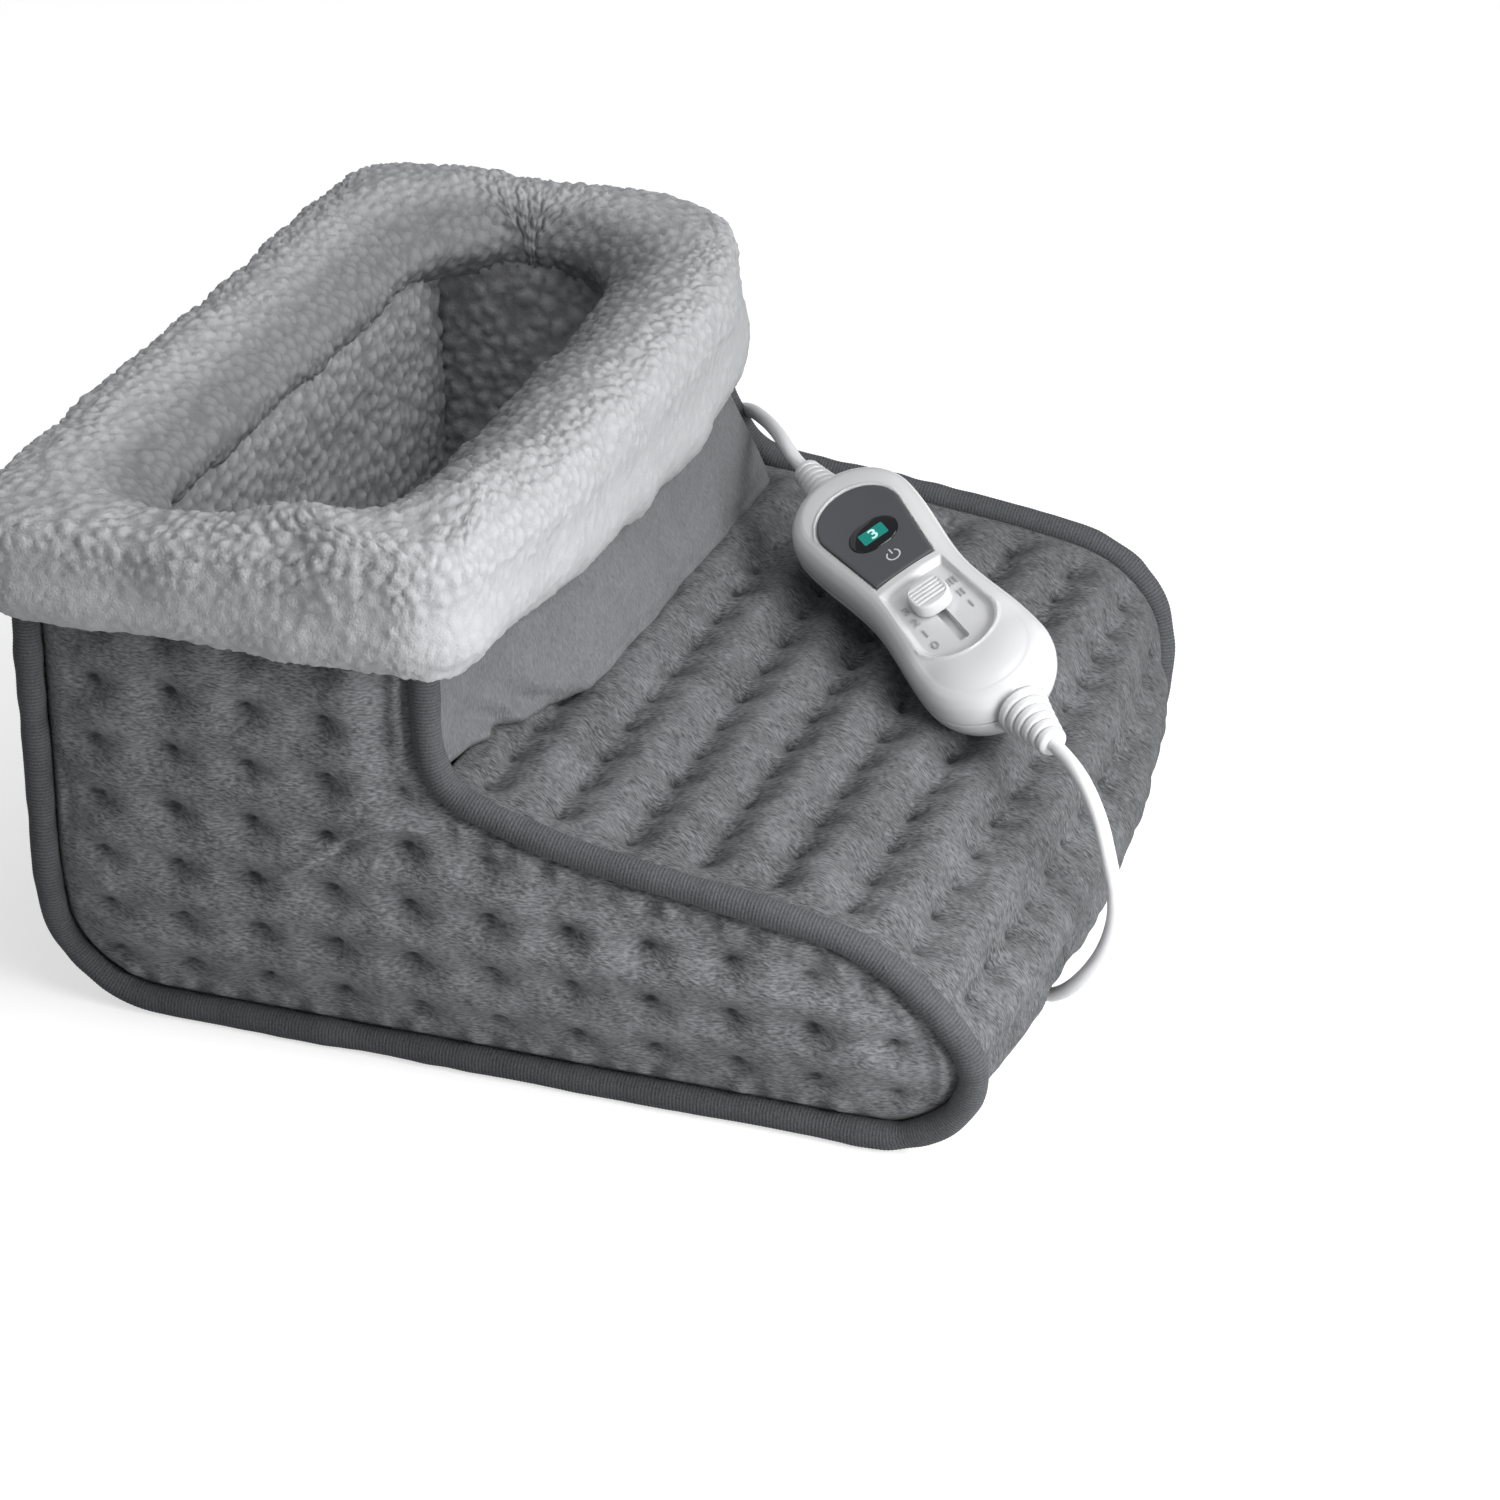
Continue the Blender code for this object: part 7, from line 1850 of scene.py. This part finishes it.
@dataclass(frozen=True)
class Studio:
    """The photograph's camera, a pale floor and soft plain light."""

    lens: float = 115.3978
    sensor: float = 36.0
    fill: float = 0.22              # strength of the world's light
    floor_tone: float = 0.62
    camera_rows: tuple[tuple[float, float, float, float], ...] = (
        (0.331480227, 0.443661873, -0.832637377, -1.29059), (-0.943462137, 0.156097588, -0.292425613, -0.49151),
        (0.000234591, 0.882495148, 0.470321442, 0.78357))

    def camera(self) -> None:
        """The camera at the photograph's place."""
        data = bpy.data.cameras.new("camera")
        data.lens = self.lens
        data.sensor_width = self.sensor
        data.clip_start, data.clip_end = 0.05, 30.0
        item = bpy.data.objects.new("camera", data)
        item.matrix_world = Matrix((*self.camera_rows, (0, 0, 0, 1)))
        bpy.context.scene.collection.objects.link(item)
        bpy.context.scene.camera = item

    def floor(self) -> None:
        """A wide white floor that keeps the object's shadow."""
        mesh = bpy.data.meshes.new("studio_floor")
        size = 8.0
        mesh.from_pydata([(-size, -size, 0), (size, -size, 0), (size, size, 0), (-size, size, 0)], [], [(0, 1, 2, 3)])
        item = bpy.data.objects.new("studio_floor", mesh)
        bpy.context.scene.collection.objects.link(item)
        nodes = Nodes("floor_white")
        tone = self.floor_tone
        material = nodes.surface(base_color=(tone, tone, tone + 0.005), roughness=0.95, specular_ior_level=0.0)
        path = nodes.add("LightPath").outputs
        seen = nodes.math("MAXIMUM", path["Is Camera Ray"], nodes.math("MAXIMUM", path["Is Glossy Ray"],
                                                                       path["Is Transmission Ray"]))
        glow = nodes.add("Emission", {"Color": (1.0, 1.0, 1.0, 1.0), "Strength": nodes.math("MULTIPLY", seen, tone)})
        both = nodes.add("AddShader")
        nodes.tree.links.new(nodes.shader.outputs[0], both.inputs[0])
        nodes.tree.links.new(glow.outputs[0], both.inputs[1])
        nodes.tree.links.new(both.outputs[0], nodes.output.inputs["Surface"])
        item.data.materials.append(material)

    def lamp(self, name: str, place: tuple[float, float, float], aim: tuple[float, float, float], size: float,
             power: float) -> None:
        """A soft square lamp that looks at a point."""
        data = bpy.data.lights.new(name, "AREA")
        data.shape, data.size, data.energy = "SQUARE", size, power
        item = bpy.data.objects.new(name, data)
        way = Vector(aim) - Vector(place)
        item.matrix_world = Matrix.Translation(place) @ way.to_track_quat("-Z", "Y").to_matrix().to_4x4()
        bpy.context.scene.collection.objects.link(item)

    def light(self) -> None:
        """A pale world that is white to the camera, a soft key lamp from the toe's side and a sun for the floor."""
        bpy.context.scene.view_settings.view_transform = "Standard"
        world = bpy.data.worlds.new("studio")
        bpy.context.scene.world = world
        world.use_nodes = True
        tree = world.node_tree
        ground = tree.nodes["Background"]
        ground.inputs["Color"].default_value = (1.0, 1.0, 1.0, 1.0)
        ground.inputs["Strength"].default_value = self.fill
        clear = tree.nodes.new("ShaderNodeBackground")
        clear.inputs["Color"].default_value = (1.0, 1.0, 1.0, 1.0)
        clear.inputs["Strength"].default_value = 1.0
        path, mix = tree.nodes.new("ShaderNodeLightPath"), tree.nodes.new("ShaderNodeMixShader")
        tree.links.new(path.outputs["Is Camera Ray"], mix.inputs[0])
        tree.links.new(ground.outputs[0], mix.inputs[1])
        tree.links.new(clear.outputs[0], mix.inputs[2])
        tree.links.new(mix.outputs[0], tree.nodes["World Output"].inputs["Surface"])
        self.lamp("key", (-0.36, -0.62, 0.32), (-0.08, -0.10, 0.06), 0.32, 5.0)
        self.lamp("top", (-0.25, -0.30, 1.25), (0.0, 0.0, 0.08), 0.8, 5.0)
        data = bpy.data.lights.new("sun", "SUN")
        data.energy, data.angle = 1.15, math.radians(22)
        sun = bpy.data.objects.new("sun", data)
        sun.matrix_world = Vector((-0.06, 0.70, -0.71)).to_track_quat("-Z", "Y").to_matrix().to_4x4()
        bpy.context.scene.collection.objects.link(sun)


def dress_frame(frame: dict, palette: Palette) -> None:
    """Give the frame's own solids that stay, most of them shut inside, their finishes."""
    finishes = {"sole_foam": palette.foam, "heating_felt": palette.felt, "heating_wire": palette.wire,
                "thermal_fuse": palette.steel, "thermostat": palette.steel, "lcd_module": palette.display,
                "circuit_board": palette.board, "shell_screw_1": palette.steel, "shell_screw_2": palette.steel,
                "slide_switch_body": palette.window, "switch_actuator": palette.steel}
    for name, finish in finishes.items():
        item = frame["nodes"][name]
        for slot in item.material_slots:
            slot.material = finish
        if not item.material_slots:
            item.data.materials.append(finish)


def main() -> None:
    """Build the looks round the frame, in order."""
    logging.basicConfig(level=logging.INFO, format="%(message)s")
    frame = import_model()
    studio = Studio()
    studio.camera()
    palette = Palette()
    sizes = ControllerShape()
    Cords(palette).build(sizes.frame(), sizes.end_in + GAP + sizes.lead_relief[1],
                         sizes.end_out + GAP + sizes.mains_relief[1])
    Boot(BootShape(), palette).build()
    Controller(sizes, palette).build()
    dress_frame(frame, palette)
    studio.floor()
    studio.light()


if __name__ == "__main__":
    main()
